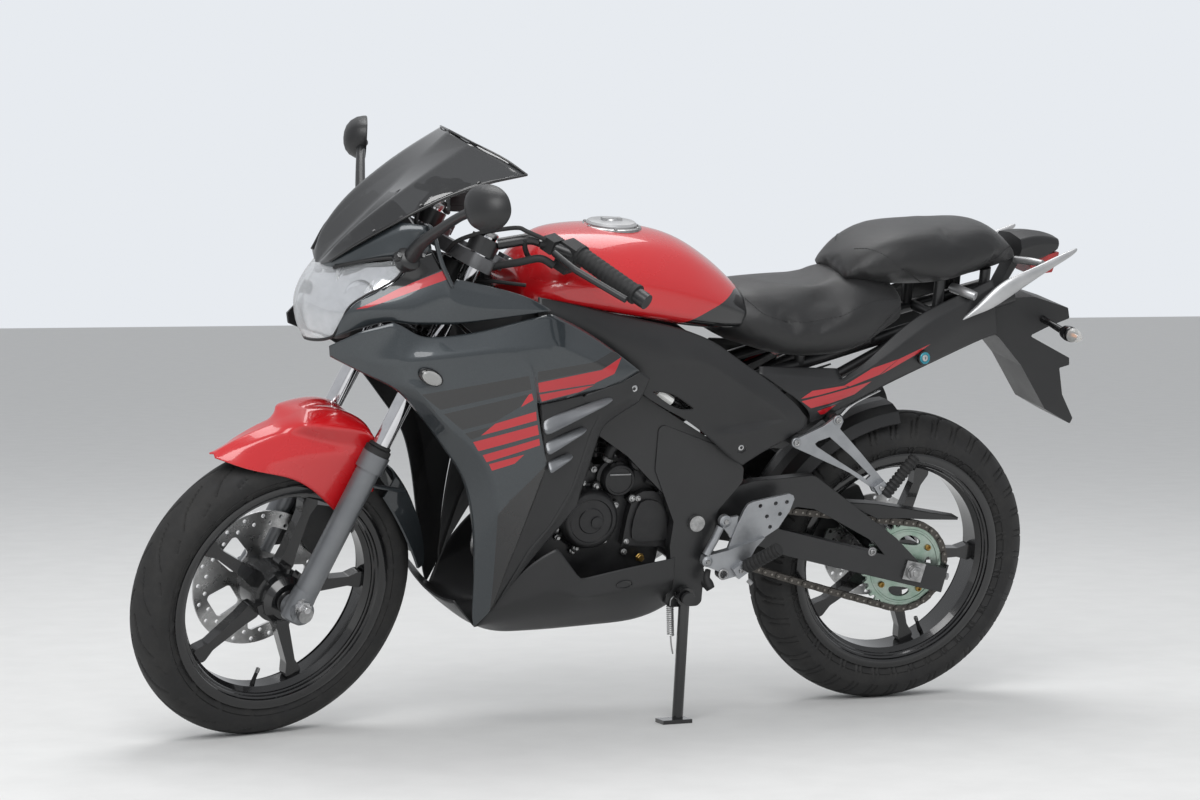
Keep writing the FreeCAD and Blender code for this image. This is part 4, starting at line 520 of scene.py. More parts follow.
def coated(name, colour, tone, roughness, spread=0.1, scale=9.0, metallic=0.0, coat=0.0, coat_roughness=0.03,
           grain=0.0, grain_scale=900.0, stretch=(1, 1, 1), dust=0.0, dust_colour=(0.28, 0.26, 0.23),
           specular=0.5, sheen=0.0):
    """A finish whose colour and gloss vary softly, with a fine grain and some dust."""
    tree, shader = new_material(name)
    soft = group(tree, "soft_variation", {"Colour": rgb(colour), "Tone": rgb(tone), "Scale": scale,
                                          "Roughness": roughness, "Spread": spread})
    colour_out = soft.outputs["Colour"]
    if dust:
        dusty = group(tree, "settled_dust", {"Colour": colour_out, "Dust": rgb(dust_colour), "Amount": dust})
        colour_out = dusty.outputs["Colour"]
    tree.links.new(colour_out, shader.inputs["Base Color"])
    tree.links.new(soft.outputs["Roughness"], shader.inputs["Roughness"])
    if grain:
        fine = group(tree, "fine_grain", {"Scale": grain_scale, "Strength": grain, "Stretch": stretch})
        tree.links.new(fine.outputs["Normal"], shader.inputs["Normal"])
    shader.inputs["Metallic"].default_value = metallic
    shader.inputs["Coat Weight"].default_value = coat
    shader.inputs["Coat Roughness"].default_value = coat_roughness
    shader.inputs["Specular IOR Level"].default_value = specular
    shader.inputs["Sheen Weight"].default_value = sheen
    return tree, shader


def flake_paint(name, colour, flake, amount=0.35):
    """A metallic lacquer under a clear coat."""
    tree, shader = new_material(name)
    flakes = group(tree, "paint_flake", {"Colour": rgb(colour), "Flake": rgb(flake), "Amount": amount})
    tree.links.new(flakes.outputs["Colour"], shader.inputs["Base Color"])
    tree.links.new(flakes.outputs["Normal"], shader.inputs["Normal"])
    shader.inputs["Metallic"].default_value = 0.45
    shader.inputs["Roughness"].default_value = 0.36
    shader.inputs["Coat Weight"].default_value = 1.0
    shader.inputs["Coat Roughness"].default_value = 0.035


def see_through(name, colour, tone, clear, edge, roughness=0.03):
    """A clear or smoked plastic that grows denser at a glancing angle."""
    tree, shader = new_material(name)
    soft = group(tree, "soft_variation", {"Colour": rgb(colour), "Tone": rgb(tone), "Scale": 5.0,
                                          "Roughness": roughness, "Spread": 0.02})
    tree.links.new(soft.outputs["Colour"], shader.inputs["Base Color"])
    tree.links.new(soft.outputs["Roughness"], shader.inputs["Roughness"])
    facing = node(tree, "ShaderNodeLayerWeight", {"Blend": 0.35})
    alpha = node(tree, "ShaderNodeMapRange", {0: facing.outputs["Facing"], 1: 0.0, 2: 1.0, 3: clear, 4: edge})
    tree.links.new(alpha.outputs[0], shader.inputs["Alpha"])
    shader.inputs["IOR"].default_value = 1.55
    shader.inputs["Specular IOR Level"].default_value = 0.9
    shader.inputs["Coat Weight"].default_value = 0.6
    shader.inputs["Coat Roughness"].default_value = 0.02


def mix_rubber_and_enamel():
    """Rubber, and the black enamels of the frame and the engine."""
    coated("tyre_rubber", (0.0105, 0.0105, 0.011), (0.019, 0.0185, 0.018), 0.62, 0.2, 14, grain=0.35,
           grain_scale=700, dust=0.22, dust_colour=(0.06, 0.057, 0.052))
    coated("soft_rubber", (0.010, 0.010, 0.0105), (0.018, 0.018, 0.018), 0.6, 0.2, 20, grain=0.4,
           grain_scale=1400)
    coated("black_enamel", (0.0055, 0.0055, 0.006), (0.0095, 0.0095, 0.010), 0.16, 0.1, 12, coat=0.7,
           grain=0.05, grain_scale=260)
    coated("satin_enamel", (0.011, 0.0112, 0.012), (0.017, 0.0172, 0.018), 0.34, 0.12, 10, coat=0.25,
           coat_roughness=0.25, grain=0.12, grain_scale=500)
    coated("engine_black", (0.010, 0.010, 0.011), (0.018, 0.018, 0.019), 0.38, 0.16, 26, metallic=0.25,
           coat=0.2, coat_roughness=0.3, grain=0.3, grain_scale=420, dust=0.12,
           dust_colour=(0.07, 0.068, 0.065))


def mix_metals():
    """Bare, plated and cast metals."""
    coated("disc_steel", (0.55, 0.55, 0.55), (0.42, 0.42, 0.42), 0.24, 0.12, 60, metallic=1.0, grain=0.3,
           grain_scale=240, stretch=(1, 6, 1))
    coated("plated_steel", (0.46, 0.46, 0.46), (0.30, 0.30, 0.30), 0.26, 0.2, 80, metallic=1.0, grain=0.2)
    coated("bright_steel", (0.66, 0.66, 0.67), (0.5, 0.5, 0.5), 0.16, 0.14, 90, metallic=1.0, grain=0.1)
    coated("zinc_plate", (0.30, 0.42, 0.34), (0.48, 0.56, 0.50), 0.28, 0.14, 34, metallic=0.9, grain=0.16)
    coated("chain_steel", (0.20, 0.185, 0.165), (0.36, 0.34, 0.31), 0.3, 0.22, 300, metallic=1.0, grain=0.2)
    coated("chain_dark", (0.075, 0.070, 0.064), (0.13, 0.12, 0.11), 0.38, 0.2, 300, metallic=0.9, grain=0.2)
    coated("fork_silver", (0.155, 0.162, 0.172), (0.185, 0.192, 0.20), 0.36, 0.08, 12, metallic=0.55,
           coat=0.35, coat_roughness=0.18, grain=0.14, grain_scale=1500)
    coated("clamp_silver", (0.12, 0.122, 0.127), (0.17, 0.172, 0.178), 0.4, 0.1, 30, metallic=0.6, grain=0.2)
    coated("satin_silver", (0.46, 0.465, 0.47), (0.55, 0.55, 0.555), 0.32, 0.1, 16, metallic=0.75, coat=0.2,
           coat_roughness=0.2, grain=0.12, grain_scale=1300)
    coated("bracket_silver", (0.30, 0.31, 0.325), (0.38, 0.39, 0.405), 0.34, 0.12, 22, metallic=0.8, coat=0.2,
           coat_roughness=0.25, grain=0.15, grain_scale=1100)
    coated("hard_chrome", (0.72, 0.72, 0.74), (0.64, 0.64, 0.66), 0.07, 0.05, 40, metallic=1.0)
    coated("reflector_chrome", (0.80, 0.81, 0.83), (0.70, 0.71, 0.73), 0.09, 0.06, 60, metallic=1.0,
           grain=0.08, grain_scale=120)


def mix_paints(paint):
    """The lacquers and stripes of the bodywork, with the user's colours."""
    coated("red_lacquer", paint.red, (0.55, 0.005, 0.009), 0.24, 0.05, 5, coat=1.0, grain=0.03,
           grain_scale=90)
    coated("red_stripe", paint.stripe, (0.47, 0.004, 0.011), 0.3, 0.06, 6, coat=0.9, grain=0.02,
           grain_scale=90)
    coated("black_stripe", (0.006, 0.006, 0.0065), (0.009, 0.009, 0.0095), 0.22, 0.06, 6, coat=0.9)
    coated("grey_line", (0.085, 0.095, 0.10), (0.095, 0.105, 0.11), 0.3, 0.05, 6, coat=0.9)
    flake_paint("slate_lacquer", paint.slate, (0.10, 0.115, 0.125), 0.5)


def mix_plastics():
    """Plastics, bulbs, small coloured fittings and lenses."""
    coated("satin_black_plastic", (0.0125, 0.0127, 0.0135), (0.0175, 0.0177, 0.0185), 0.36, 0.1, 7,
           grain=0.32, grain_scale=1500, specular=0.55)
    coated("gloss_black_plastic", (0.005, 0.005, 0.0055), (0.008, 0.008, 0.0085), 0.12, 0.08, 9, coat=0.6)
    coated("rough_black_plastic", (0.011, 0.011, 0.0115), (0.017, 0.017, 0.0175), 0.55, 0.15, 12, grain=0.5,
           grain_scale=900)
    coated("vent_silver", (0.14, 0.146, 0.155), (0.18, 0.186, 0.195), 0.3, 0.08, 10, metallic=0.6, coat=0.5,
           coat_roughness=0.12)
    coated("amber_bulb", (0.75, 0.25, 0.03), (0.6, 0.18, 0.02), 0.2, 0.1, 30, coat=0.5)
    coated("warm_white", (0.80, 0.80, 0.78), (0.7, 0.7, 0.68), 0.25, 0.1, 40, coat=0.4)
    coated("tail_red", (0.42, 0.006, 0.006), (0.30, 0.004, 0.004), 0.1, 0.08, 50, coat=0.8)
    coated("lock_blue", (0.02, 0.22, 0.30), (0.03, 0.30, 0.38), 0.25, 0.1, 60, metallic=0.4, coat=0.6)
    coated("spring_red", (0.45, 0.010, 0.014), (0.36, 0.008, 0.011), 0.3, 0.1, 20, coat=0.5)
    coated("mirror_glass", (0.70, 0.72, 0.74), (0.66, 0.68, 0.70), 0.02, 0.01, 10, metallic=1.0)
    coated("brass_fitting", (0.42, 0.27, 0.08), (0.32, 0.2, 0.06), 0.3, 0.15, 60, metallic=1.0, grain=0.15)
    coated("gauge_face", (0.02, 0.02, 0.022), (0.03, 0.03, 0.033), 0.3, 0.1, 20, coat=0.9)
    see_through("lamp_lens", (0.80, 0.82, 0.84), (0.74, 0.76, 0.78), 0.10, 0.75)
    see_through("indicator_lens", (0.82, 0.82, 0.80), (0.72, 0.72, 0.70), 0.35, 0.9, 0.05)
    see_through("smoked_screen", (0.007, 0.0073, 0.008), (0.009, 0.0093, 0.010), 0.80, 0.98, 0.025)


def mix_seat_finishes():
    """The seats' leather and its thread."""
    tree, shader = coated("seat_vinyl", (0.0115, 0.0115, 0.012), (0.0155, 0.0155, 0.016), 0.34, 0.12, 5,
                          sheen=0.08)
    cells = group(tree, "leather_cells", {"Scale": 520.0, "Strength": 0.28})
    tree.links.new(cells.outputs["Normal"], shader.inputs["Normal"])
    coated("seam_thread", (0.02, 0.02, 0.021), (0.03, 0.03, 0.031), 0.6, 0.2, 400, grain=0.5,
           grain_scale=3000)


def build_materials(paint):
    """All shared effects, then all finishes."""
    build_soft_variation()
    build_fine_grain()
    build_leather_cells()
    build_paint_flake()
    build_settled_dust()
    mix_rubber_and_enamel()
    mix_metals()
    mix_paints(paint)
    mix_plastics()
    mix_seat_finishes()


# Each slot of the record wears one of these finishes.
SLOT_FINISH = {
    "tyre": "tyre_rubber", "rubber": "soft_rubber", "black_metal": "black_enamel",
    "cast_black": "engine_black", "disc_steel": "disc_steel", "steel": "plated_steel", "zinc": "zinc_plate",
    "fork_metal": "fork_silver", "bare_aluminium": "bracket_silver", "chrome": "hard_chrome",
    "red_paint": "red_lacquer", "red_spring": "spring_red", "grey_paint": "slate_lacquer",
    "black_plastic": "satin_black_plastic", "clear_lens": "lamp_lens", "smoke_screen": "smoked_screen",
    "seat_vinyl": "seat_vinyl", "red_lens": "tail_red",
}
# Nodes that differ from the rest of their slot.
NODE_FINISH = {
    "main_frame": "satin_enamel", "swingarm": "satin_enamel", "subframe": "satin_enamel",
    "drive_chain": "chain_steel", "upper_fork_clamp": "clamp_silver", "grab_rails": "satin_silver",
    "exhaust_pipe": "plated_steel", "silencer": "engine_black", "mirrors": "rough_black_plastic",
    "side_stand": "black_enamel", "handlebars": "satin_enamel", "switch_housings": "rough_black_plastic",
    "control_levers": "satin_enamel",
}


# Side fairings


FAIRING = {
    "a0": (-1274, -140, 803), "f1": (-1271, -138, 783), "a1": (-1227, -172, 836), "k1": (-1233, -166, 791),
    "f2": (-1241, -153, 769), "a2": (-1170, -190, 858), "a3": (-1152, -193, 852), "a4": (-1126, -198, 835),
    "a5": (-1099, -202, 829), "a6": (-1009, -206, 840), "a7": (-945, -205, 856), "a8": (-864, -200, 873),
    "a9": (-802, -203, 847), "a10": (-732, -207, 801), "w0": (-679, -208, 762),
    "c0": (-1193, -193, 779), "f3": (-1206, -174, 753), "cA0": (-1154, -209, 788), "g0": (-1149, -216, 757),
    "f4": (-1175, -188, 741), "cA1": (-1104, -222, 798), "cA2": (-1016, -232, 810), "cA3": (-954, -237, 816),
    "c4": (-868, -239, 822), "c5": (-841, -237, 816), "c6": (-779, -228, 785), "c7": (-715, -214, 742),
    "r0": (-913, -242, 790), "q1": (-845, -233, 770), "rb1": (-895, -235, 757), "rb2": (-885, -231, 708),
    "w2": (-797, -217, 720), "w3": (-846, -223, 711), "w1": (-754, -215, 731),
    "g1": (-1118, -226, 729), "m1": (-1058, -233, 741), "m2": (-987, -238, 754), "r1": (-906, -243, 763),
    "f5": (-1150, -195, 727), "f6": (-1119, -191, 692), "g1b": (-1094, -227, 700), "m1b": (-1037, -233, 711),
    "m2b": (-970, -238, 723), "rC": (-897, -243, 713), "f7": (-1087, -188, 656), "g2": (-1068, -228, 671),
    "m3": (-1017, -233, 681), "m4": (-959, -238, 694), "rC2": (-890, -242, 682), "f8": (-1057, -186, 616),
    "g2b": (-1040, -228, 648), "f9": (-1030, -184, 583), "g3": (-1014, -228, 625), "m5": (-974, -233, 634),
    "m6": (-929, -238, 643), "rD": (-883, -241, 652), "f10": (-1009, -182, 548), "g3b": (-991, -227, 598),
    "f11": (-995, -181, 503), "g4": (-973, -226, 573), "m7": (-943, -230, 579), "m8": (-906, -235, 586),
    "rE": (-865, -237, 592), "f12": (-985, -179, 456), "g5": (-960, -224, 536), "l1b": (-931, -226, 518),
    "l1": (-903, -230, 549), "f12b": (-980, -177, 422), "l2": (-951, -221, 491), "f13": (-975, -174, 389),
    "t2": (-942, -200, 419), "f14": (-966, -158, 313), "t2b": (-933, -176, 334), "f15": (-963, -149, 270),
    "t3": (-930, -160, 280), "tip": (-955, -145, 245),
    "e1": (-888, -226, 503), "e2": (-909, -205, 410), "h1": (-911, -224, 503), "h2": (-924, -203, 414),
}
FAIRING_PATCHES = [
    "a0 f1 k1 a1", "f1 f2 k1", "a1 k1 c0 a2", "k1 f2 f3 c0", "a2 c0 cA0 a3", "a3 cA0 a4", "c0 f3 f4 g0 cA0",
    "a4 cA0 cA1 a5", "a5 cA1 cA2 a6", "a6 cA2 cA3 a7", "a7 cA3 c4 a8", "a8 c4 c5 a9", "a9 c5 c6 a10",
    "a10 c6 c7 w0", "cA3 r0 c4", "r0 rb1 q1 c4", "c4 q1 c5", "c5 q1 c6", "rb1 rb2 w3 q1", "q1 w3 w2 c6",
    "c6 w2 w1 c7", "r0 r1 rb1", "r1 rC rb2 rb1", "cA0 g0 m1 cA1", "g0 g1 m1", "cA1 m1 m2 cA2",
    "cA2 m2 r1 cA3", "cA3 r1 r0", "g0 f4 f5 g1", "g1 f5 f6 g1b", "g1 g1b m1b m1", "m1 m1b m2b m2",
    "m2 m2b rC r1", "g1b f6 f7 g2", "g1b g2 m3 m1b", "m1b m3 m4 m2b", "m2b m4 rC2 rC", "g2 f7 f8 g2b",
    "g2 g2b m5 m3", "g2b g3 m5", "m3 m5 m6 m4", "m4 m6 rD rC2", "g2b f8 f9 g3", "g3 f9 f10 g3b",
    "g3 g3b m7 m5", "m5 m7 m8 m6", "m6 m8 rE rD", "g3b f10 f11 g4", "g3b g4 m7", "g4 f11 f12 g5",
    "g4 g5 l1b m7", "m7 l1b l1 m8", "m8 l1 rE", "g5 f12 f12b l2", "g5 l2 l1b", "l2 f12b f13 t2",
    "t2 f13 f14 t2b", "t2b f14 f15 t3", "t3 f15 tip", ("rE l1 h1 e1", 2), ("l1 l1b l2 h1", 2),
    ("h1 l2 t2 h2", 2), ("e1 h1 h2 e2", 2), ("h2 t2 t2b", 2), ("e2 h2 t2b t3", 2),
]
FAIRING_CREASES = [
    "k1 c0 cA0 cA1 cA2 cA3 c4 c5 c6 c7", "g0 g1 g1b g2 g2b g3 g3b g4 g5 l2 t2 t2b t3", "r0 r1 rC rC2 rD rE",
    "r0 rb1 rb2", "rE l1 l1b l2", "a1 k1 f2",
]
# Stripes in side view: the slots are 1 red and 2 gloss black.
FAIRING_STRIPES = [
    ([(-1118, -232, 729), (-916, -240, 765), (-909, -240, 739), (-1081, -232, 700)], 2),
    ([(-1074, -232, 692), (-913, -240, 730), (-928, -240, 706), (-974, -238, 677), (-1036, -232, 661)], 2),
    ([(-908, -241, 731), (-898, -241, 702), (-973, -238, 678), (-927, -240, 705), (-915, -240, 729)], 1),
    ([(-1030, -232, 654), (-981, -234, 668), (-1001, -233, 648), (-1017, -232, 642)], 2),
    ([(-974, -236, 673), (-897, -241, 696), (-894, -241, 679), (-999, -233, 650)], 1),
    ([(-1013, -232, 637), (-892, -241, 670), (-887, -241, 651), (-1001, -232, 619)], 1),
    ([(-992, -231, 611), (-886, -241, 643), (-883, -241, 630), (-983, -231, 597)], 1),
    ([(-978, -230, 593), (-912, -236, 612), (-929, -234, 594), (-971, -230, 580)], 1),
    ([(-897, -236, 771), (-781, -230, 785), (-778, -230, 769), (-895, -236, 752)], 2),
    ([(-783, -230, 784), (-734, -210, 802), (-720, -210, 789), (-760, -224, 771), (-782, -230, 768)], 2),
    ([(-894, -235, 749), (-761, -226, 769), (-773, -220, 741), (-890, -233, 730)], 1),
    ([(-761, -226, 770), (-718, -209, 789), (-734, -212, 760), (-776, -220, 741)], 1),
    ([(-889, -233, 726), (-775, -220, 738), (-803, -220, 726), (-882, -231, 712)], 1),
]


def draw_side_fairings(settings):
    """Both main fairings, with their folds and stripes."""
    form = Form()
    corner = form.net(FAIRING, FAIRING_PATCHES)
    form.sharpen(corner, FAIRING_CREASES, 0.86)
    form.sharpen_rim(0.95)
    form = refined(form, 3)
    paint_stripes(form, FAIRING_STRIPES)
    form.both_sides()
    make_piece("side_fairings", form, MACHINE, ["slate_lacquer", "red_stripe", "black_stripe",
                                                "satin_black_plastic"],
               ["main_fairing"], solid=settings.panel_wall, inner=3, smooth=26)


GILL_PANEL = {
    "u0": (-882, -226, 705), "u1": (-844, -219, 709), "u2": (-795, -214, 718), "u3": (-713, -211, 741),
    "u4": (-677, -206, 760), "n0": (-655, -203, 746), "n1": (-664, -202, 720), "n2": (-674, -201, 700),
    "n3": (-737, -198, 662), "n4": (-750, -197, 639), "n5": (-762, -196, 579), "n6": (-777, -196, 528),
    "n7": (-781, -195, 499), "n8": (-814, -190, 452), "n9": (-854, -182, 403), "n10": (-906, -168, 320),
    "t3": (-930, -159, 278), "e2": (-908, -203, 409), "e1": (-886, -224, 502), "p4": (-862, -233, 587),
    "p3": (-870, -231, 624), "p2": (-877, -229, 660), "p1": (-880, -227, 687),
    "i0": (-698, -212, 714), "i1": (-757, -212, 678), "i2": (-773, -212, 644), "i3": (-789, -212, 584),
    "i4": (-803, -212, 534), "i5": (-839, -206, 463), "i6": (-874, -196, 414),
    "v1": (-820, -218, 702), "v2": (-825, -218, 656), "v3": (-833, -219, 620), "v4": (-837, -222, 574),
}
GILL_PATCHES = [
    "u4 n0 n1 i0", "u3 u4 i0", "n1 n2 i0", "i0 n2 n3 i1", "i1 n3 n4 i2", "i2 n4 n5 i3", "i3 n5 n6 i4",
    "i4 n6 n7 n8 i5", "i5 n8 n9 i6", "i6 n9 n10 t3", "u2 u3 i0 i1", "u1 v1 u2", "v1 i1 u2", "u0 p1 v1 u1",
    "p1 p2 v2 v1", "v1 v2 i2 i1", "p2 p3 v3 v2", "v2 v3 i3 i2", "p3 p4 v4 v3", "v3 v4 i4 i3", "p4 e1 i5 v4",
    "v4 i5 i4", "e1 e2 i6 i5", "e2 t3 i6",
]


def draw_gill_panels(settings):
    """The black panels behind the fairings, with three silver gills each."""
    form = Form()
    corner = form.net(GILL_PANEL, GILL_PATCHES)
    form.sharpen(corner, ["u4 i0 i1 i2 i3 i4 i5 i6 t3", "n2 i0"], 0.8)
    form.sharpen_rim(0.9)
    form = refined(form, 3)
    form.both_sides()
    make_piece("gill_panels_moulded", form, MACHINE, ["satin_black_plastic"],
               ["gill_panels"], solid=settings.panel_wall, smooth=26)
    form = Form()
    gills = [
        ((-881, -226, 675), (-876, -232, 643), (-737, -216, 716), (-733, -219, 707)),
        ((-873, -229, 632), (-867, -234, 606), (-786, -218, 659), (-783, -221, 651)),
        ((-864, -231, 595), (-860, -235, 571), (-813, -222, 609), (-809, -225, 601)),
    ]
    for top, foot, top_end, foot_end in gills:
        rows = []
        for share in (0.0, 0.2, 0.45, 0.7, 0.88, 0.97, 1.0):
            high, low = Vector(between(top, top_end, share)), Vector(between(foot, foot_end, share))
            if share > 0.9:
                middle = (high + low) / 2
                shrink_by = 0.72 if share < 1.0 else 0.25
                high, low = middle + (high - middle) * shrink_by, middle + (low - middle) * shrink_by
            ring = []
            for turn, out in ((0.0, 6.0), (0.0, 0.5), (0.25, -3.6), (0.62, -9.0), (0.86, -10.5), (1.0, -6.5),
                              (1.04, 2.0)):
                point = high.lerp(low, turn)
                ring.append((point.x, point.y + out * (1.0 if share < 0.9 else 0.6), point.z))
            rows.append(ring)
        form.skin(rows, 0, True, True, True)
    form = refined(form, 2)
    form.both_sides()
    make_piece("fairing_gills", form, MACHINE, ["vent_silver"], smooth=50)


BELLY = {
    "a0": (-907, -170, 321), "a1": (-860, -176, 380), "a2": (-808, -180, 408), "a3": (-754, -176, 342),
    "a4": (-652, -174, 361), "a5": (-567, -170, 372), "a6": (-555, -168, 374),
    "b0": (-930, -160, 278), "b1": (-875, -174, 304), "b2": (-809, -182, 323), "b3": (-749, -181, 305),
    "b4": (-650, -178, 317), "b5": (-568, -172, 328), "b6": (-553, -168, 331),
    "c0": (-952, -140, 242), "c1": (-868, -158, 263), "c2": (-788, -162, 273), "c3": (-718, -160, 278),
    "c4": (-638, -156, 285), "c5": (-563, -150, 295), "c6": (-547, -146, 298),
    "d0": (-937, -96, 216), "d1": (-845, -104, 217), "d2": (-763, -108, 220), "d3": (-692, -106, 223),
    "d4": (-611, -104, 225), "d5": (-560, -100, 239), "d6": (-529, -96, 254),
}


def draw_belly_pan(settings):
    """The belly pan under the engine."""
    form = Form()
    places = dict(BELLY)
    for index in range(7):
        x, _, z = places["d%d" % index]
        places["e%d" % index] = (x, 0, z - 3)
    places["g1"], places["g2"], places["g3"] = (-1012, -96, 290), (-1012, 0, 284), (-1000, -146, 300)
    patches = []
    for top, low in ("ab", "bc", "cd", "de"):
        for index in range(6):
            patches.append("%s%d %s%d %s%d %s%d" % (top, index, low, index, low, index + 1, top, index + 1))
    patches += ["c0 g3 g1 d0", "d0 g1 g2 e0"]
    corner = form.net(places, patches)
    form.sharpen(corner, ["a0 a1 a2 a3 a4 a5 a6", "b0 b1 b2 b3 b4 b5 b6", "a2 b2", "a3 b3",
                          "d0 d1 d2 d3 d4 d5 d6"], 0.55)
    form.sharpen_rim(0.9)
    for vert in form.mesh.verts:
        if abs(vert.co.y) < 0.01:
            vert[form.corner] = 0.0
    form = refined(form, 3)
    form.both_sides()
    make_piece("belly_pan_moulded", form, MACHINE, ["satin_black_plastic"], ["belly_pan"],
               solid=settings.panel_wall, smooth=30, weld=0.5)


# Nose: upper fairing, headlight, screen and mirrors


NOSE = {
    "L0": (-1259, -108, 811), "L1": (-1229, -128, 828), "L2": (-1196, -146, 842), "L3": (-1169, -158, 854),
    "L4": (-1150, -166, 851), "L5": (-1130, -172, 849), "L6": (-1084, -180, 850), "L7": (-1046, -186, 851),
    "L8": (-1004, -190, 857), "L9": (-934, -194, 867), "tip": (-859, -194, 877),
    "B1": (-1251, -112, 834), "B2": (-1239, -124, 866), "B3": (-1215, -130, 889), "B4": (-1171, -138, 911),
    "B5": (-1143, -145, 930), "B6": (-1130, -150, 960), "B7": (-1121, -150, 969), "B8": (-1088, -152, 982),
    "R1": (-1073, -166, 951), "R2": (-1057, -180, 922), "T1": (-1043, -168, 933), "T2": (-988, -166, 922),
    "T3": (-949, -172, 913), "T4": (-901, -182, 901),
    "M1": (-1238, -127, 862), "M2": (-1205, -148, 874), "M2b": (-1168, -160, 884), "M3": (-1130, -168, 893),
    "K1": (-1096, -176, 902), "M4": (-1066, -183, 913), "P1": (-1141, -150, 916), "P2": (-1107, -158, 933),
    "C1": (-1064, -190, 892), "C2": (-997, -195, 882), "C3": (-930, -197, 882), "D1": (-1009, -184, 911),
    "D2": (-948, -188, 899),
}
NOSE_PATCHES = [
    "B1 L0 L1 M1", "B2 B1 M1", "M1 L1 L2 M2", "B3 B2 M1 M2", "M2 L2 L3 M2b", "B3 M2 M2b B4", "M2b L3 L4 M3",
    "B4 M2b M3 P1", "P1 M3 K1 P2", "P2 K1 M4 R1", "R1 M4 R2", "M3 L4 L5 K1", "K1 L5 L6 M4",
    "M4 L6 L7 C1", "C1 L7 L8 C2", "C2 L8 L9 C3", "C3 L9 tip", ("B4 P1 B5", 2), ("B5 P1 P2 B6", 2),
    ("B6 P2 B7", 2), ("B7 P2 R1 B8", 2), "R2 M4 C1", "R2 C1 C2 D1", "D1 C2 C3 D2", "D2 C3 tip T4",
    "T1 R2 D1 T2", "T2 D1 D2 T3", "T3 D2 T4",
]
NOSE_RED = [([(-1238, -124, 861), (-1205, -148, 875), (-1133, -168, 893), (-1066, -182, 914),
              (-1058, -182, 923), (-1073, -166, 951), (-1108, -160, 935), (-1142, -150, 916),
              (-1174, -148, 901), (-1216, -138, 878)], 1)]


def draw_nose(settings):
    """The upper fairing with its red flash, and the cowl under the screen."""
    form = Form()
    corner = form.net(NOSE, NOSE_PATCHES)
    form.sharpen(corner, ["B8 R1 R2 C1 C2 C3 tip", "P1 P2 R1", "R2 D1 D2 tip"], 0.72)
    form.sharpen_rim(0.92)
    form = refined(form, 3)
    paint_stripes(form, NOSE_RED)
    form.both_sides()
    make_piece("upper_fairing_panels", form, MACHINE,
               ["slate_lacquer", "red_stripe", "gloss_black_plastic", "satin_black_plastic"],
               ["upper_fairing"], solid=settings.panel_wall, inner=3, smooth=24)
    form = Form()
    cowl = {
        "X0": (-1255, -56, 942), "X1": (-1210, -98, 987), "X2": (-1144, -128, 1033),
        "X3": (-1100, -150, 1029), "T3": (-1247, -56, 933), "T2": (-1234, -80, 943),
        "T1": (-1183, -120, 961), "H7": (-1130, -148, 972), "B8": (-1089, -153, 981), "Z0": (-1262, 0, 926),
        "Z1": (-1268, 0, 915),
    }
    corner = form.net(cowl, ["Z0 Z1 T3 X0", "X0 T3 T2", "X0 T2 T1 X1", "X1 T1 H7 X2", "X2 H7 B8 X3"])
    form.sharpen_rim(0.9)
    form = refined(form, 2)
    form.both_sides()
    make_piece("screen_cowl", form, MACHINE, ["slate_lacquer", "slate_lacquer", "satin_black_plastic"],
               solid=2.4, inner=2, smooth=30)
    form = Form()
    fold = [(-1101, -151, 1032), (-1093, -154, 1024), (-1083, -160, 994), (-1073, -168, 960),
            (-1057, -180, 925), (-1055, -183, 921)]
    form.tube(fold, [2.5, 4.2, 4.6, 4.6, 4.0, 1.5], 10, 0, 4)
    form.both_sides()
    make_piece("fairing_ridges", form, MACHINE, ["slate_lacquer"], smooth=60)


# The lamp and its lens: the middle line and the side edge, each from the foot up.
LAMP_MIDDLE = [(-1278, 0, 786), (-1292, 0, 806), (-1301, 0, 836), (-1303, 0, 862), (-1296, 0, 890),
               (-1283, 0, 914), (-1266, 0, 932)]
LAMP_SIDE = [(-1257, -110, 815), (-1243, -114, 846), (-1232, -121, 873), (-1207, -128, 894),
             (-1178, -136, 911), (-1149, -142, 933), (-1131, -147, 968)]


def lamp_surface(inset, columns=15, fold=0.0):
    """Rows of points across the lamp, set back by an inset, from the foot up."""
    rows = []
    for middle, side in zip(smooth_line(LAMP_MIDDLE, 3), smooth_line(LAMP_SIDE, 3)):
        row = []
        for index in range(-columns, columns + 1):
            share = abs(index) / columns
            turn = share * math.pi / 2
            ahead = 0.40 * share + 0.60 * (1 - math.cos(turn))
            across = 0.46 * share + 0.54 * math.sin(turn)
            x = middle.x + (side.x - middle.x) * ahead + inset * (0.55 + 0.45 * math.cos(turn))
            y = side.y * across * (1 - 0.0016 * inset) * (1 if index < 0 else -1)
            z = middle.z + (side.z - middle.z) * share ** 1.25
            x += fold * (0.5 - 0.5 * math.cos(share * 14 * math.pi))
            row.append((x, y, z))
        rows.append(row[::-1])
    return rows


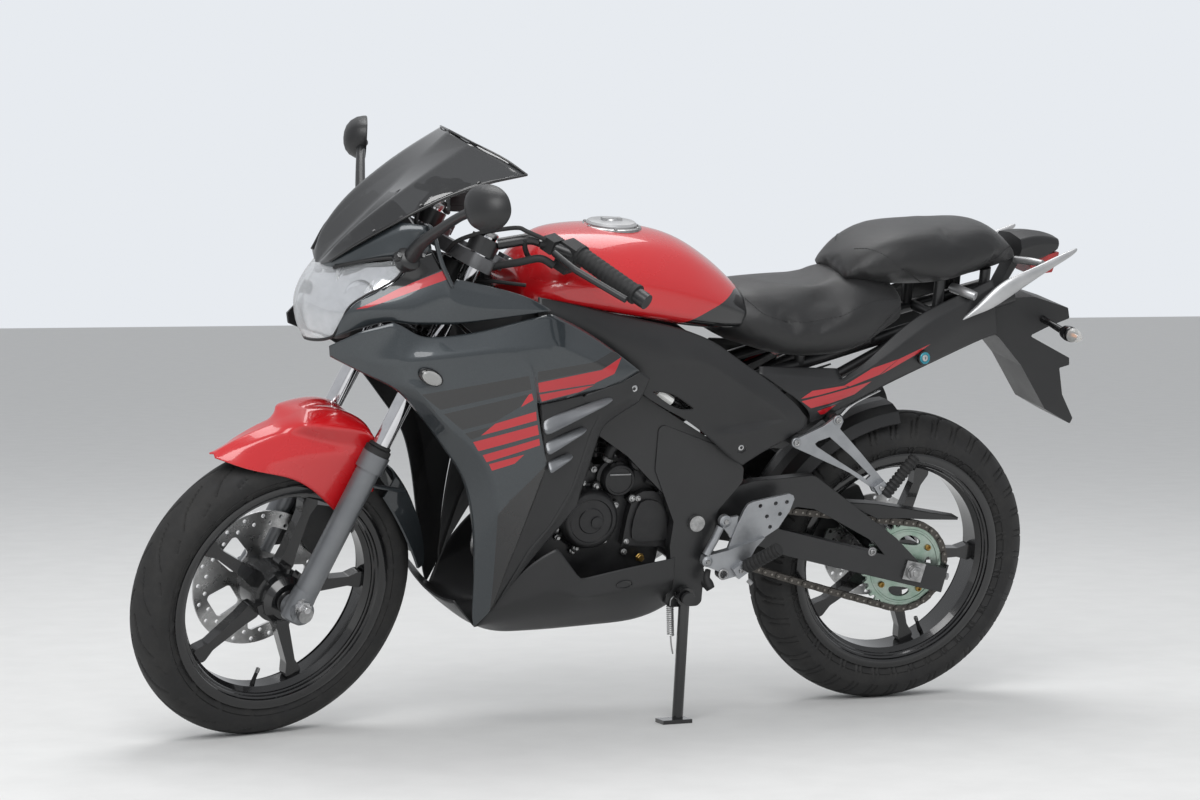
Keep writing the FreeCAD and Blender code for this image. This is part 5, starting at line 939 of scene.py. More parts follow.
def draw_headlight():
    """A clear lens over two chromed bowls, with dark trim round it."""
    form = Form()
    form.skin(lamp_surface(0.0))
    make_piece("headlight_lens", form, MACHINE, ["lamp_lens"], ["headlight"], solid=2.2,
               smooth=60)
    form = Form()
    rows = lamp_surface(17.0, fold=2.4)
    form.skin(rows[1:-1])
    for side in (-1, 1):
        for centre, axis, radius, depth in (((-1252, 44, 842), (-0.86, 0.50, -0.06), 33, 26),
                                            ((-1205, 103, 888), (-0.62, 0.78, -0.02), 27, 22)):
            spot, way = sided(centre, side), sided(axis, side)
            form.lathe([(-depth, 6), (-depth * 0.8, radius * 0.55), (-depth * 0.3, radius * 0.86),
                        (6, radius), (9, radius + 2.5), (5, radius + 4), (-8, radius + 4)], spot, way, 36)
            bulb = spot - way.normalized() * depth * 0.6
            form.lathe([(-4, 5), (8, 5.5), (14, 4.5), (18, 0.05)], bulb, way, 18, 1)
    make_piece("headlight_bowls", form, MACHINE, ["reflector_chrome", "warm_white"], smooth=50,
               weld=0)
    form = Form()
    for side in (1, -1):
        fins = [[(-1239, -58, 934), (-1244, -60, 922), (-1239, -66, 891), (-1233, -92, 858)],
                [(-1259, -22, 923), (-1262, -18, 897), (-1261, -18, 861), (-1257, -26, 824)]]
        for line in fins:
            form.tube([sided(point, side) + Vector((4, 0, 0)) for point in line], 2.6, 8, 0, 5)
    make_piece("headlight_dividers", form, MACHINE, ["satin_silver"], smooth=60)
    form = Form()
    edge = [(-1248, -62, 934), (-1234, -80, 943), (-1183, -120, 962), (-1130, -148, 971)]
    rim = [edge[-1]] + LAMP_SIDE[::-1]
    for side in (1, -1):
        for line, radius in ((edge, 3.4), (rim, 2.3)):
            form.tube([sided(point, side) for point in line], radius, 8, 0, 4)
    form.tube(lamp_surface(1.5)[0], 3.0, 8)
    make_piece("headlight_gasket", form, MACHINE, ["rough_black_plastic"], smooth=60)
    form = Form()
    rows = [[(p[0] + 34 - 10 * abs(p[1]) / 110, p[1] * 0.93,
              p[2]) for p in row] for row in lamp_surface(18.0)[::3]]
    form.skin(rows)
    make_piece("headlight_back", form, MACHINE, ["rough_black_plastic"], solid=2.0,
               smooth=50)


SCREEN = {
    "c0": (-1016, 0, 1183), "c1": (-1076, 0, 1126), "c2": (-1139, 0, 1060), "c3": (-1202, 0, 997),
    "c4": (-1244, 0, 954), "c5": (-1264, 0, 924),
    "k0": (-1000, -95, 1175), "k1": (-1068, -98, 1133), "k2": (-1133, -94, 1086), "k3": (-1192, -84, 1039),
    "k4": (-1236, -62, 989), "k5": (-1257, -38, 952),
    "e0": (-918, -168, 1129), "e1": (-1001, -164, 1111), "e2": (-1070, -152, 1083), "e3": (-1145, -129, 1038),
    "e4": (-1211, -100, 991), "e5": (-1255, -58, 945), "n0": (-955, -140, 1154), "n1": (-1031, -136, 1125),
    "n2": (-1100, -128, 1085),
}
SCREEN_PATCHES = [
    "c0 c1 k1 k0", "c1 c2 k2 k1", "c2 c3 k3 k2", "c3 c4 k4 k3", "c4 c5 k5 k4", "k3 k4 e4 e3", "k4 k5 e5 e4",
    "c5 e5 k5", "k0 k1 n1 n0", "n0 n1 e1 e0", "k1 k2 n2 n1", "n1 n2 e2 e1", "k2 k3 e3 n2", "n2 e3 e2",
]


def draw_screen():
    """The smoked screen with its folded sides and its dark rim."""
    form = Form()
    corner = form.net(SCREEN, SCREEN_PATCHES)
    form.sharpen(corner, ["k0 k1 k2 k3 k4 k5"], 0.62)
    form.sharpen_rim(0.88)
    form = refined(form, 3)
    form.both_sides()
    bmesh.ops.remove_doubles(form.mesh, verts=form.mesh.verts, dist=0.2)
    bmesh.ops.recalc_face_normals(form.mesh, faces=form.mesh.faces)
    make_piece("screen", form, MACHINE, ["smoked_screen"], ["windscreen"], solid=3.0,
               smooth=40)
    form = Form()
    side = [SCREEN[name] for name in ("e0", "e1", "e2", "e3", "e4", "e5")]
    top = [SCREEN[name] for name in ("e0", "n0", "k0", "c0")]
    form.tube(side, [2.0, 3.4, 3.8, 3.8, 3.4, 2.6], 8, 0, 5)
    form.tube(top, 2.0, 8, 0, 6)
    form.both_sides()
    make_piece("screen_rim", form, MACHINE, ["gloss_black_plastic"], smooth=60)
    form = Form()
    for spot in ((-1009, -160, 1110), (-1110, -138, 1064), (-1188, -108, 1010)):
        form.bolt(spot, (-0.25, -0.9, 0.3), 5.0, 4.0)
    form.both_sides()
    make_piece("screen_screws", form, MACHINE, ["gloss_black_plastic"], smooth=40)


MIRROR_OUTLINE = [(-52, 6), (-44, 30), (-18, 41), (20, 42), (48, 30), (60, 6), (50, -16), (26, -34), (2, -42),
                  (-24, -36), (-44, -18)]


def draw_mirrors():
    """Rounded mirror shells on bent arms, each on a mount with two bolts."""
    for label, side in (("left", -1), ("right", 1)):
        form = Form()
        centre = Vector((-1070, 370 * side, 1104))
        turn = math.radians(-16 * side)
        way = Vector((math.cos(turn), math.sin(turn), 0.05)).normalized()
        across = Vector((-way.y * side, way.x * side, 0)).normalized()
        rise = Vector((0, 0, 1))
        outline = smooth_line([(a, b, 0) for a, b in MIRROR_OUTLINE], 4, True)
        rows = []
        for back, spread in ((9, 0.90), (12, 0.97), (10, 1.0), (4, 0.995), (-8, 0.94), (-20, 0.78),
                             (-28, 0.55), (-32, 0.28), (-33, 0.04)):
            rows.append([centre + way * back + across * p.x * spread + rise * p.y * spread for p in outline])
        form.skin(rows, 0, True, False, True)
        form.skin([[centre + way * 8 + across * p.x * s + rise * p.y * s for p in outline] for s in (0.9,
                                                                                                     0.02)],
                  1, True, False, True)
        make_piece("mirror_head_" + label, form, MACHINE, ["satin_black_plastic", "mirror_glass"],
                   ["mirrors"] if side < 0 else (), smooth=40)
        form = Form()
        mount = Vector((-1128, 140 * side, 968))
        form.tube([mount + Vector((0, -4 * side, -6)), (-1122, 176 * side, 1000), (-1112, 222 * side, 1030),
                   (-1092, 292 * side, 1074), (-1078, 338 * side, 1094), (-1066, 356 * side, 1098)],
                  [17, 13, 10, 9, 9, 9], 14, 0, 5)
        form.lathe([(-16, 26), (4, 25), (9, 20), (12, 12)], mount, (0.1, 0.8 * side, 0.6), 28)
        for x in (-24, 22):
            form.lathe([(-8, 9), (4, 9), (6, 7)], mount + Vector((x, 4 * side, 3)), (0.1, 0.8 * side, 0.6),
                       16)
            form.lathe([(4, 5.2), (9, 5.2), (10, 4)], mount + Vector((x, 4 * side, 3)),
                       (0.1, 0.8 * side, 0.6), 6, 1)
        make_piece("mirror_arm_" + label, form, MACHINE, ["satin_enamel", "plated_steel"],
                   smooth=40)


# Tank, seats and tail


def body_shell(stations, steps, ring_steps=6):
    """Rows round a body from half sections: each station is (x, points from the ridge down)."""
    rows = []
    for x, half_points in stations:
        half = [Vector((x, y, z)) for y, z in half_points]
        ring = [Vector((p.x, -p.y, p.z)) for p in half] + [p for p in half[::-1] if p.y > 0.5]
        rows.append(smooth_line(ring, ring_steps, True))
    columns = [smooth_line([row[index] for row in rows], steps) for index in range(len(rows[0]))]
    return [[column[index] for column in columns] for index in range(len(columns[0]))]


TANK = [
    (-884, [(0, 918), (44, 914), (78, 896), (84, 876), (60, 862), (0, 860)]),
    (-846, [(0, 966), (60, 956), (118, 920), (132, 890), (104, 866), (0, 860)]),
    (-790, [(0, 996), (78, 984), (136, 938), (150, 900), (130, 868), (0, 858)]),
    (-672, [(0, 1004), (86, 990), (146, 945), (160, 902), (140, 852), (0, 842)]),
    (-560, [(0, 988), (84, 968), (136, 918), (146, 876), (126, 832), (0, 820)]),
    (-470, [(0, 940), (74, 922), (116, 882), (122, 852), (104, 818), (0, 808)]),
    (-386, [(0, 868), (56, 860), (84, 842), (90, 828), (76, 812), (0, 804)]),
]


# The grey corner panels and the black line above them, in side view: the slots are 1 grey, 2 black.
TANK_STRIPES = [
    ([(-584, 845), (-446, 897), (-372, 902), (-366, 892), (-440, 890), (-568, 834)], 2),
    ([(-562, 835), (-440, 890), (-366, 892), (-340, 850), (-420, 780), (-461, 817)], 1),
]


def draw_tank():
    """The red tank with its grey rear corners, its seams and its cap."""
    form = Form()
    form.skin(body_shell(TANK, 6, 5), 0, True, True, True)
    form = refined(form, 1)
    paint_stripes(form, TANK_STRIPES)
    make_piece("tank_shell", form, MACHINE, ["red_lacquer", "slate_lacquer", "black_stripe"],
               ["fuel_tank"], smooth=50)
    form = Form()
    centre = (-672, 0, 1000)
    form.lathe([(-6, 60), (1, 59), (3, 56), (3, 53), (-1, 51)], centre, (0, 0, 1), 48, 1)
    form.lathe([(-8, 50), (6, 50), (10, 46), (11, 40), (12, 14), (15, 12), (16, 0.05)], centre, (0, 0, 1), 48)
    form.block((-672, 0, 1014), (40, 14, 5), 0)
    for index in range(6):
        turn = index * math.pi / 3 + 0.3
        spot = (-672 + 55 * math.cos(turn), 55 * math.sin(turn), 1002)
        form.bolt(spot, (0, 0, 1), 3.4, 3.0, 1)
    make_piece("filler_cap_dressed", form, MACHINE, ["satin_silver", "plated_steel"],
               ["filler_cap"], smooth=35)


# The seats are drawn a little small and filled by a cloth simulation.
RIDER_SEAT = [
    (-462, [(0, 862), (50, 858), (72, 838), (74, 812), (54, 798), (0, 796)]),
    (-405, [(0, 884), (70, 878), (108, 850), (112, 812), (84, 784), (0, 780)]),
    (-330, [(0, 882), (86, 876), (132, 842), (136, 800), (104, 766), (0, 762)]),
    (-240, [(0, 884), (96, 878), (142, 844), (140, 800), (108, 764), (0, 760)]),
    (-160, [(0, 912), (92, 900), (132, 862), (132, 816), (104, 780), (0, 776)]),
    (-70, [(0, 898), (76, 882), (98, 858), (98, 836), (78, 826), (0, 824)]),
]
PILLION_SEAT = [
    (-196, [(0, 926), (50, 922), (74, 914), (74, 906), (50, 903), (0, 902)]),
    (-150, [(0, 968), (72, 962), (98, 934), (98, 916), (70, 904), (0, 903)]),
    (-80, [(0, 998), (82, 990), (110, 952), (108, 920), (80, 904), (0, 903)]),
    (30, [(0, 1006), (84, 996), (112, 956), (110, 922), (84, 906), (0, 904)]),
    (130, [(0, 1010), (70, 1000), (94, 972), (92, 946), (68, 928), (0, 926)]),
    (200, [(0, 960), (44, 957), (60, 950), (58, 944), (40, 939), (0, 938)]),
]


FILL_FRAMES = 20


def filled_by_cloth(name, stations, pressure, travel):
    """A cushion blown up from its cut by the cloth simulation, with its motion held to a limit."""
    form = Form()
    form.skin(body_shell(stations, 4, 4), 0, True, True, True)
    bmesh.ops.recalc_face_normals(form.mesh, faces=form.mesh.faces)
    form.mesh.transform(MACHINE_PLACE @ Matrix.Scale(MILLIMETRE, 4))
    mesh = bpy.data.meshes.new(name + "_cut")
    form.mesh.to_mesh(mesh)
    cushion = bpy.data.objects.new(name + "_cut", mesh)
    bpy.context.scene.collection.objects.link(cushion)
    remesh = cushion.modifiers.new("remesh", "REMESH")
    remesh.mode, remesh.voxel_size = "VOXEL", 0.0085
    depsgraph = bpy.context.evaluated_depsgraph_get()
    start = bpy.data.meshes.new_from_object(cushion.evaluated_get(depsgraph))
    cushion.modifiers.clear()
    cushion.data = start
    rest = [vert.co.copy() for vert in start.vertices]
    cloth = cushion.modifiers.new("fill", "CLOTH")
    cloth.settings.quality = 5
    cloth.settings.mass = 0.3
    cloth.settings.tension_stiffness = cloth.settings.compression_stiffness = 18
    cloth.settings.bending_stiffness = 2.0
    cloth.settings.use_pressure = True
    cloth.settings.uniform_pressure_force = pressure
    cloth.settings.effector_weights.gravity = 0.0
    cloth.point_cache.frame_start, cloth.point_cache.frame_end = 1, FILL_FRAMES
    scene = bpy.context.scene
    for step in range(1, FILL_FRAMES + 1):
        scene.frame_set(step)
    depsgraph = bpy.context.evaluated_depsgraph_get()
    blown = bpy.data.meshes.new_from_object(cushion.evaluated_get(depsgraph))
    cushion.modifiers.clear()
    for vert, place in zip(blown.vertices, rest):
        moved = vert.co - place
        if moved.length > travel:
            vert.co = place + moved * (travel / moved.length)
    cushion.data = blown
    scene.frame_set(1)
    shaped = cushion.data
    bpy.data.objects.remove(cushion)
    return shaped


# How far a seam's dent reaches and how deep it is, in metres.
SEAM_REACH, SEAM_DEPTH = 0.007, 0.0030


def press_seam(mesh, line, reach, depth):
    """Presses a stitched seam into a cushion along a line given in upright millimetres."""
    points = [MACHINE_PLACE @ (Vector(point) * MILLIMETRE) for point in smooth_line(line, 5)]
    for vert in mesh.vertices:
        near = 1.0
        for start, end in zip(points, points[1:]):
            run = end - start
            share = max(0.0, min(1.0, (vert.co - start).dot(run) / run.length_squared))
            near = min(near, (vert.co - start - run * share).length)
        if near < reach:
            vert.co -= vert.normal * depth * (0.5 + 0.5 * math.cos(math.pi * near / reach)) ** 2


def draw_cushion(name, stations, replaced, seams, pressure, travel):
    """One cushion with its seams and their thread."""
    mesh = filled_by_cloth(name, stations, pressure, travel)
    for polygon in mesh.polygons:
        polygon.use_smooth = True
    mesh = evaluated_mesh(mesh, [("SUBSURF", {"levels": 1, "render_levels": 1}),
                                 ("SMOOTH", {"factor": 0.5, "iterations": 6})])
    for line in seams:
        press_seam(mesh, line, SEAM_REACH, SEAM_DEPTH)
        press_seam(mesh, mirror_line(line), SEAM_REACH, SEAM_DEPTH)
    for polygon in mesh.polygons:
        polygon.use_smooth = True
    piece = bpy.data.objects.new(name, mesh)
    bpy.context.scene.collection.objects.link(piece)
    mesh.materials.clear()
    mesh.materials.append(MATERIALS["seat_vinyl"])
    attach(piece, MACHINE)
    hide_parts(replaced)
    tree = BVHTree.FromPolygons([vert.co for vert in mesh.vertices],
                                [face.vertices for face in mesh.polygons])
    form = Form()
    for line in seams:
        for path in (line, mirror_line(line)):
            stitches = [hit_on(tree, point) for point in smooth_line(path, 9)]
            for start, end in zip(stitches, stitches[1:]):
                form.tube([start.lerp(end, 0.15), start.lerp(end, 0.5), start.lerp(end, 0.85)],
                          [0.5, 0.9, 0.5], 5)
    make_piece(name + "_thread", form, MACHINE, ["seam_thread"], smooth=60, weld=0)


def mirror_line(line):
    """The same line on the other side."""
    return [mirrored(point) for point in line]


def hit_on(tree, point):
    """The nearest place on a cushion to a point, both in upright millimetres."""
    place, normal = tree.find_nearest(MACHINE_PLACE @ (Vector(point) * MILLIMETRE))[:2]
    return MACHINE_PLACE.inverted() @ (place + normal * 0.0004) * 1000.0


RIDER_SEAMS = [
    [(-54, -70, 865), (-83, -96, 853), (-117, -120, 824), (-139, -132, 791), (-147, -128, 765)],
    [(-412, -70, 867), (-376, -104, 839), (-307, -134, 837), (-223, -142, 857), (-156, -132, 876),
     (-77, -100, 878)],
]
PILLION_SEAMS = [
    [(-155, -40, 951), (-126, -84, 958), (-82, -104, 932), (-47, -108, 891), (-23, -100, 850)],
    [(196, -60, 980), (161, -92, 963), (135, -92, 924)],
]


def draw_seats():
    """Both seats as filled cushions with stitched seams."""
    draw_cushion("rider_cushion", RIDER_SEAT, "rider_seat", RIDER_SEAMS, 4.0, 0.012)
    draw_cushion("pillion_cushion", PILLION_SEAT, "pillion_seat", PILLION_SEAMS, 4.0, 0.010)


# Wheels and tyres


def tyre_profile(outer, half, rim_half, bead=218.0, flange=230.0):
    """The left half of a tyre's section from the crown down, as (radius, distance across)."""
    points = []
    centre = outer - half
    for index in range(23):
        turn = math.radians(68) * index / 22
        points.append((centre + half * math.cos(turn), half * math.sin(turn)))
    shoulder, foot = points[-1], (flange + 3, rim_half + 5)
    for share in (0.2, 0.42, 0.64, 0.82, 1.0):
        radius = shoulder[0] + (foot[0] - shoulder[0]) * share
        across = shoulder[1] + (foot[1] - shoulder[1]) * share + 2.6 * math.sin(math.pi * share) * half / 50
        points.append((radius, across))
        if share in (0.64, 1.0):
            points.append((radius - 0.8, across - 1.4))
            points.append((radius - 2.2, across - 0.1))
    points.append((bead + 3, rim_half - 2))
    return points


def near_slit(slits, run, across):
    """How deep a tread slit is at a place, from 0 outside to 1 in its middle."""
    deepest = 0.0
    for start, end, width in slits:
        ax, ay = run - start[0], across - start[1]
        bx, by = end[0] - start[0], end[1] - start[1]
        share = max(0.0, min(1.0, (ax * bx + ay * by) / (bx * bx + by * by)))
        gap = math.hypot(ax - bx * share, ay - by * share)
        if gap < width:
            deepest = max(deepest, min(1.0, 1.6 * (1 - gap / width)))
    return deepest


def draw_tyre(name, body, node_name, centre, outer, half, rim_half, pitch, steps, slits, depth):
    """A tyre with its tread cut as real grooves."""
    form = Form()
    profile = tyre_profile(outer, half, rim_half)
    full = [(r, -y) for r, y in profile[::-1]] + profile[1:]
    rows = []
    arc = math.radians(360.0 / pitch)
    for step in range(pitch * steps):
        turn = 2 * math.pi * step / (pitch * steps)
        row = []
        for radius, across in full:
            local = (turn / arc + (0.5 if across > 0 else 0.0)) % 1.0 * arc * outer
            cut = max(near_slit(slits, local + shift, abs(across)) for shift in (0.0, -arc * outer,
                                                                                 arc * outer))
            reach = radius - depth * cut * (1 if abs(across) < half else 0)
            row.append((centre[0] + reach * math.cos(turn), across, centre[2] + reach * math.sin(turn)))
        rows.append(row)
    form.skin(rows, 0, False, False, False, True)
    make_piece(name, form, body, ["tyre_rubber"], [node_name], smooth=42, weld=0)


FRONT_SLITS = [((6, 6), (62, 21), 2.0), ((62, 21), (92, 36), 2.0), ((20, 39), (44, 43), 1.9)]
REAR_SLITS = [((0, 9), (26, 15), 2.6), ((26, 15), (52, 9), 2.6), ((26, 15), (44, 36), 2.9),
              ((44, 36), (52, 58), 3.2), ((2, 33), (14, 58), 2.6)]


# The centre of each wheel, half the inside width of its rim, and how far the front disc's middle is across.
FRONT_HUB, FRONT_RIM = (-1320, 0, 296), 35
REAR_HUB, REAR_RIM = (0, 0, 307), 46
FRONT_DISC = 62


def draw_tyres(settings):
    """Both tyres."""
    draw_tyre("front_tyre_treaded", FRONT_WHEEL, "front_tyre", FRONT_HUB, FRONT_HUB[2], 50, FRONT_RIM, 20, 46,
              FRONT_SLITS, settings.front_tread)
    draw_tyre("rear_tyre_treaded", REAR_WHEEL, "rear_tyre", REAR_HUB, REAR_HUB[2], 65, REAR_RIM, 37, 22,
              REAR_SLITS, settings.rear_tread)


def front_hub_cap(form):
    """The stepped cap on the left end of the front hub, with five ribs."""
    form.lathe([(30, 46), (48, 46), (54, 41), (60.5, 36), (61, 24), (66, 22), (69, 21)], FRONT_HUB,
               (0, -1, 0), 48)
    for turn in round_turns(5):
        turn += math.pi / 5 + 0.28
        spot = (FRONT_HUB[0] + 49 * math.cos(turn), -38, FRONT_HUB[2] + 49 * math.sin(turn))
        form.block(spot, (17, 16, 17), 0, Matrix.Rotation(-turn, 3, "Y"))


def draw_wheel_details():
    """Ridges on the rims, the front hub's cap, the valves and the bolts of the front disc."""
    for label, body, centre, wide in (("front", FRONT_WHEEL, FRONT_HUB, FRONT_RIM),
                                      ("rear", REAR_WHEEL, REAR_HUB, REAR_RIM)):
        form = Form()
        for side in (-1, 1):
            profile = [(wide - 4, 203), (wide - 2.4, 206), (wide + 1, 207.4), (wide + 2.6, 211),
                       (wide + 6, 213), (wide + 8.4, 219), (wide + 8.8, 226), (wide + 7.6, 229.4),
                       (wide + 3, 230.6)]
            back = [(a - 2.4, r - 1.2) for a, r in profile[::-1]]
            form.lathe([(a * side, r) for a, r in profile + back], centre, (0, 1, 0), 120, 0, True)
        if label == "front":
            front_hub_cap(form)
        make_piece(label + "_rim_edges", form, body, ["black_enamel"], smooth=35)
        form = Form()
        turn = math.radians(-97 if label == "front" else -60)
        way = Vector((math.cos(turn), 0, math.sin(turn)))
        foot = Vector(centre) + way * 198
        form.tube([foot, foot - way * 12 + Vector((0, -2, 0)), foot - way * 30 + Vector((0, -7, 0))],
                  [5.5, 4.0, 3.6], 12)
        form.tube([foot - way * 30 + Vector((0, -7, 0)), foot - way * 38 + Vector((0, -9, 0))], [4.4, 4.2],
                  12, 1)
        make_piece(label + "_valve", form, body, ["soft_rubber", "plated_steel"], smooth=50)
    form = Form()
    for turn in round_turns(5):
        x, z = FRONT_HUB[0] + 40 * math.cos(turn + 0.2), FRONT_HUB[2] + 40 * math.sin(turn + 0.2)
        form.bolt((x, FRONT_DISC + 2, z), (0, 1, 0), 7, 6)
        form.bolt((x, FRONT_DISC - 2, z), (0, -1, 0), 7, 4)
    make_piece("front_disc_bolts", form, FRONT_WHEEL, ["plated_steel"], smooth=35)


# Fork and front mudguard

# How far each fork tube stands from the middle, and how high it reaches along the steering line.
FORK_SIDE = 95
FORK_TOP = 790

GUARD = {
    "c0": (-1477, 0, 593), "c1": (-1446, 0, 610), "c2": (-1392, 0, 630), "c3": (-1341, 0, 642),
    "c4": (-1296, 0, 668), "c5": (-1240, 0, 668), "c6": (-1186, 0, 642), "c7": (-1150, 0, 612),
    "u1": (-1447, -20, 601), "u2": (-1396, -29, 621), "u3": (-1348, -35, 638), "u4": (-1302, -50, 624),
    "u5": (-1256, -64, 614), "u6": (-1212, -74, 607), "u7": (-1180, -80, 603),
    "s1": (-1440, -36, 586), "s2": (-1393, -50, 578), "s3": (-1347, -58, 592), "s4": (-1302, -64, 595),
    "s5": (-1261, -70, 593), "s6": (-1211, -76, 589), "s7": (-1175, -80, 578),
    "l0": (-1480, -12, 590), "l1": (-1437, -44, 575), "l2": (-1386, -56, 563), "l3": (-1342, -62, 553),
    "l4": (-1300, -65, 529), "l5": (-1265, -67, 498), "l6": (-1226, -69, 459), "m6": (-1198, -72, 505),
    "m7": (-1166, -76, 510), "e3": (-1338, -46, 654), "e4": (-1310, -66, 654), "e5": (-1271, -76, 649),
    "e6": (-1203, -80, 641), "e7": (-1180, -82, 623), "r5": (-1236, -48, 676), "r6": (-1180, -52, 652),
}
GUARD_PATCHES = [
    "c0 l0 u1 c1", "l0 l1 s1 u1", "c1 u1 u2 c2", "u1 s1 s2 u2", "s1 l1 l2 s2", "c2 u2 u3 c3", "u2 s2 s3 u3",
    "s2 l2 l3 s3", "c3 u3 e3 c4", "u3 s3 s4 u4", "s3 l3 l4 s4", "u3 u4 e4 e3", "c4 e3 e4 r5", "c4 r5 c5",
    "e4 u4 u5 e5", "u4 s4 s5 u5", "s4 l4 l5 s5", "r5 e4 e5", "r5 e5 e6 r6", "c5 r5 r6 c6", "e5 u5 u6 e6",
    "u5 s5 s6 u6", "s5 l5 l6 m6 s6", "e6 u6 u7 e7", "u6 s6 s7 u7", "s6 m6 m7 s7", "c6 r6 e7 c7", "r6 e6 e7",
]


def draw_mudguard(settings):
    """The red front mudguard with its folds, its bolts and the fork's seals and feet."""
    form = Form()
    corner = form.net(GUARD, GUARD_PATCHES)
    form.sharpen(corner, ["c0 c1 c2 c3 c4"], 0.25)
    form.sharpen(corner, ["u1 u2 u3 u4 u5 u6 u7", "e3 e4 e5 e6 e7", "s2 s3 s4 s5 s6 s7"], 0.45)
    form.sharpen_rim(0.8)
    form = refined(form, 3)
    form.both_sides()
    bmesh.ops.remove_doubles(form.mesh, verts=form.mesh.verts, dist=0.3)
    make_piece("mudguard_blade", form, STEERED, ["red_lacquer", "satin_black_plastic"],
               ["front_mudguard"], solid=settings.panel_wall, inner=1, smooth=38)
    form = Form()
    form.bolt((-1224, -71, 494), (0, -1, 0), 6.5, 5, 0)
    form.bolt(mirrored((-1224, -71, 494)), (0, 1, 0), 6.5, 5, 0)
    for side in (-1, 1):
        foot = Vector((-1319, FORK_SIDE * side, 301))
        for low, high, radius in ((322, 338, 25.5), (338, 345, 22.0)):
            form.lathe([(0, radius - 2), (1.5, radius), (high - low - 2, radius), (high - low, radius - 3)],
                       foot + STEER_LINE * low, STEER_LINE, 28, 1)
        form.lathe([(-30, 20), (-26, 24.5), (6, 25.5), (34, 23.6)], foot, STEER_LINE, 28, 2)
        form.bolt(foot + Vector((24, 0, 4)), (0.8, -0.1, -0.3), 5.0, 8, 0)
    make_piece("fork_details", form, STEERED, ["plated_steel", "soft_rubber", "fork_silver"],
               smooth=40)
    form = Form()
    form.hexagon((-1321, -117, 309), (0, -1, 0), 14, 9)
    form.lathe([(0, 18), (2, 18)], (-1320, -115, 308), (0, -1, 0), 26)
    form.lathe([(9, 7), (17, 7), (18, 6)], (-1321, -117, 309), (0, -1, 0), 18)
    make_piece("front_axle_nut", form, STEERED, ["bright_steel"], smooth=35)


# Side covers, engine and frame


SIDE_COVER = {
    "a0": (-867, -138, 891), "a1": (-870, -150, 873), "a2": (-867, -146, 851), "b0": (-802, -146, 880),
    "b1": (-810, -164, 860), "b2": (-812, -162, 831), "c0": (-757, -150, 870), "c1": (-754, -176, 841),
    "c2": (-746, -170, 796), "d0": (-711, -151, 860), "d1": (-717, -181, 827), "d2": (-711, -183, 795),
    "d3": (-704, -172, 764), "e0": (-657, -152, 848), "e1": (-663, -180, 819), "e2": (-659, -184, 777),
    "e3": (-660, -181, 743), "e4": (-670, -172, 727), "e5": (-651, -173, 702), "f0": (-622, -152, 841),
    "f1": (-625, -178, 815), "f2": (-626, -182, 767), "f3": (-627, -176, 734), "f4": (-635, -175, 712),
    "g0": (-586, -150, 833), "g1": (-582, -174, 804), "g2": (-576, -180, 775), "g3": (-584, -170, 736),
    "g4": (-594, -171, 708), "g5": (-601, -172, 687), "h0": (-537, -148, 817), "h1": (-532, -170, 792),
    "h2": (-527, -176, 767), "h3": (-541, -168, 731), "h4": (-565, -169, 690), "h5": (-571, -170, 672),
    "i0": (-489, -145, 797), "i1": (-486, -166, 770), "i2": (-477, -172, 738), "i3": (-494, -165, 700),
    "i4": (-540, -168, 673), "i5": (-529, -168, 635), "j0": (-446, -150, 765), "j1": (-434, -163, 735),
    "j2": (-421, -168, 703), "j3": (-443, -162, 668), "j4": (-467, -158, 636), "j5": (-455, -170, 619),
    "j6": (-494, -166, 607), "k0": (-398, -150, 737), "k1": (-382, -160, 704), "k2": (-372, -163, 671),
    "k3": (-393, -154, 642), "k4": (-393, -167, 628), "k5": (-409, -164, 597), "k6": (-446, -161, 564),
    "l0": (-353, -150, 705), "l1": (-335, -157, 669), "l2": (-330, -160, 646), "l3": (-344, -158, 617),
    "l4": (-382, -154, 577), "m0": (-309, -150, 668), "m1": (-285, -150, 643), "m2": (-288, -151, 625),
    "m3": (-328, -153, 604), "n0": (-423, -158, 554), "q1": (-621, -173, 687), "q2": (-596, -172, 672),
    "q3": (-569, -170, 660),
}
SIDE_COVER_PATCHES = [
    "a0 a1 b1 b0", "a1 a2 b2 b1", "b0 b1 c1 c0", "b1 b2 c2 c1", "c0 c1 d1 d0", "c1 c2 d2 d1", "c2 d3 d2",
    "d0 d1 e1 e0", "d1 d2 e2 e1", "d2 d3 e4 e3 e2", "e0 e1 f1 f0", "e1 e2 f2 f1", "e2 e3 f3 f2",
    "e3 e4 e5 f4 f3", "f0 f1 g1 g0", "f1 f2 g2 g1", "f2 f3 g3 g2", "f3 f4 g4 g3", "e5 q1 g5 f4",
    "q1 q2 h5 g5", "q2 q3 h5", "q3 i5 i4 h5", "g0 g1 h1 h0", "g1 g2 h2 h1", "g2 g3 h3 h2", "g3 g4 h4 h3",
    "h0 h1 i1 i0", "h1 h2 i2 i1", "h2 h3 i3 i2", "h3 h4 i4 i3", "i0 i1 j1 j0", "i1 i2 j2 j1", "i2 i3 j3 j2",
    "i3 i4 i5 j4 j3", "i5 j6 j5 j4", "j0 j1 k1 k0", "j1 j2 k2 k1", "j2 j3 k3 k2", "j3 j4 k3", "j4 j5 k4 k3",
    "j5 j6 k6 k5 k4", "k0 k1 l1 l0", "k1 k2 l2 l1", "k2 k3 l2", "k3 k4 l2", "k4 k5 l3 l2", "k5 k6 n0 l4",
    "k5 l4 m3 l3", "l0 l1 m1 m0", "l1 l2 l3 m2 m1", "l3 m3 m2",
]


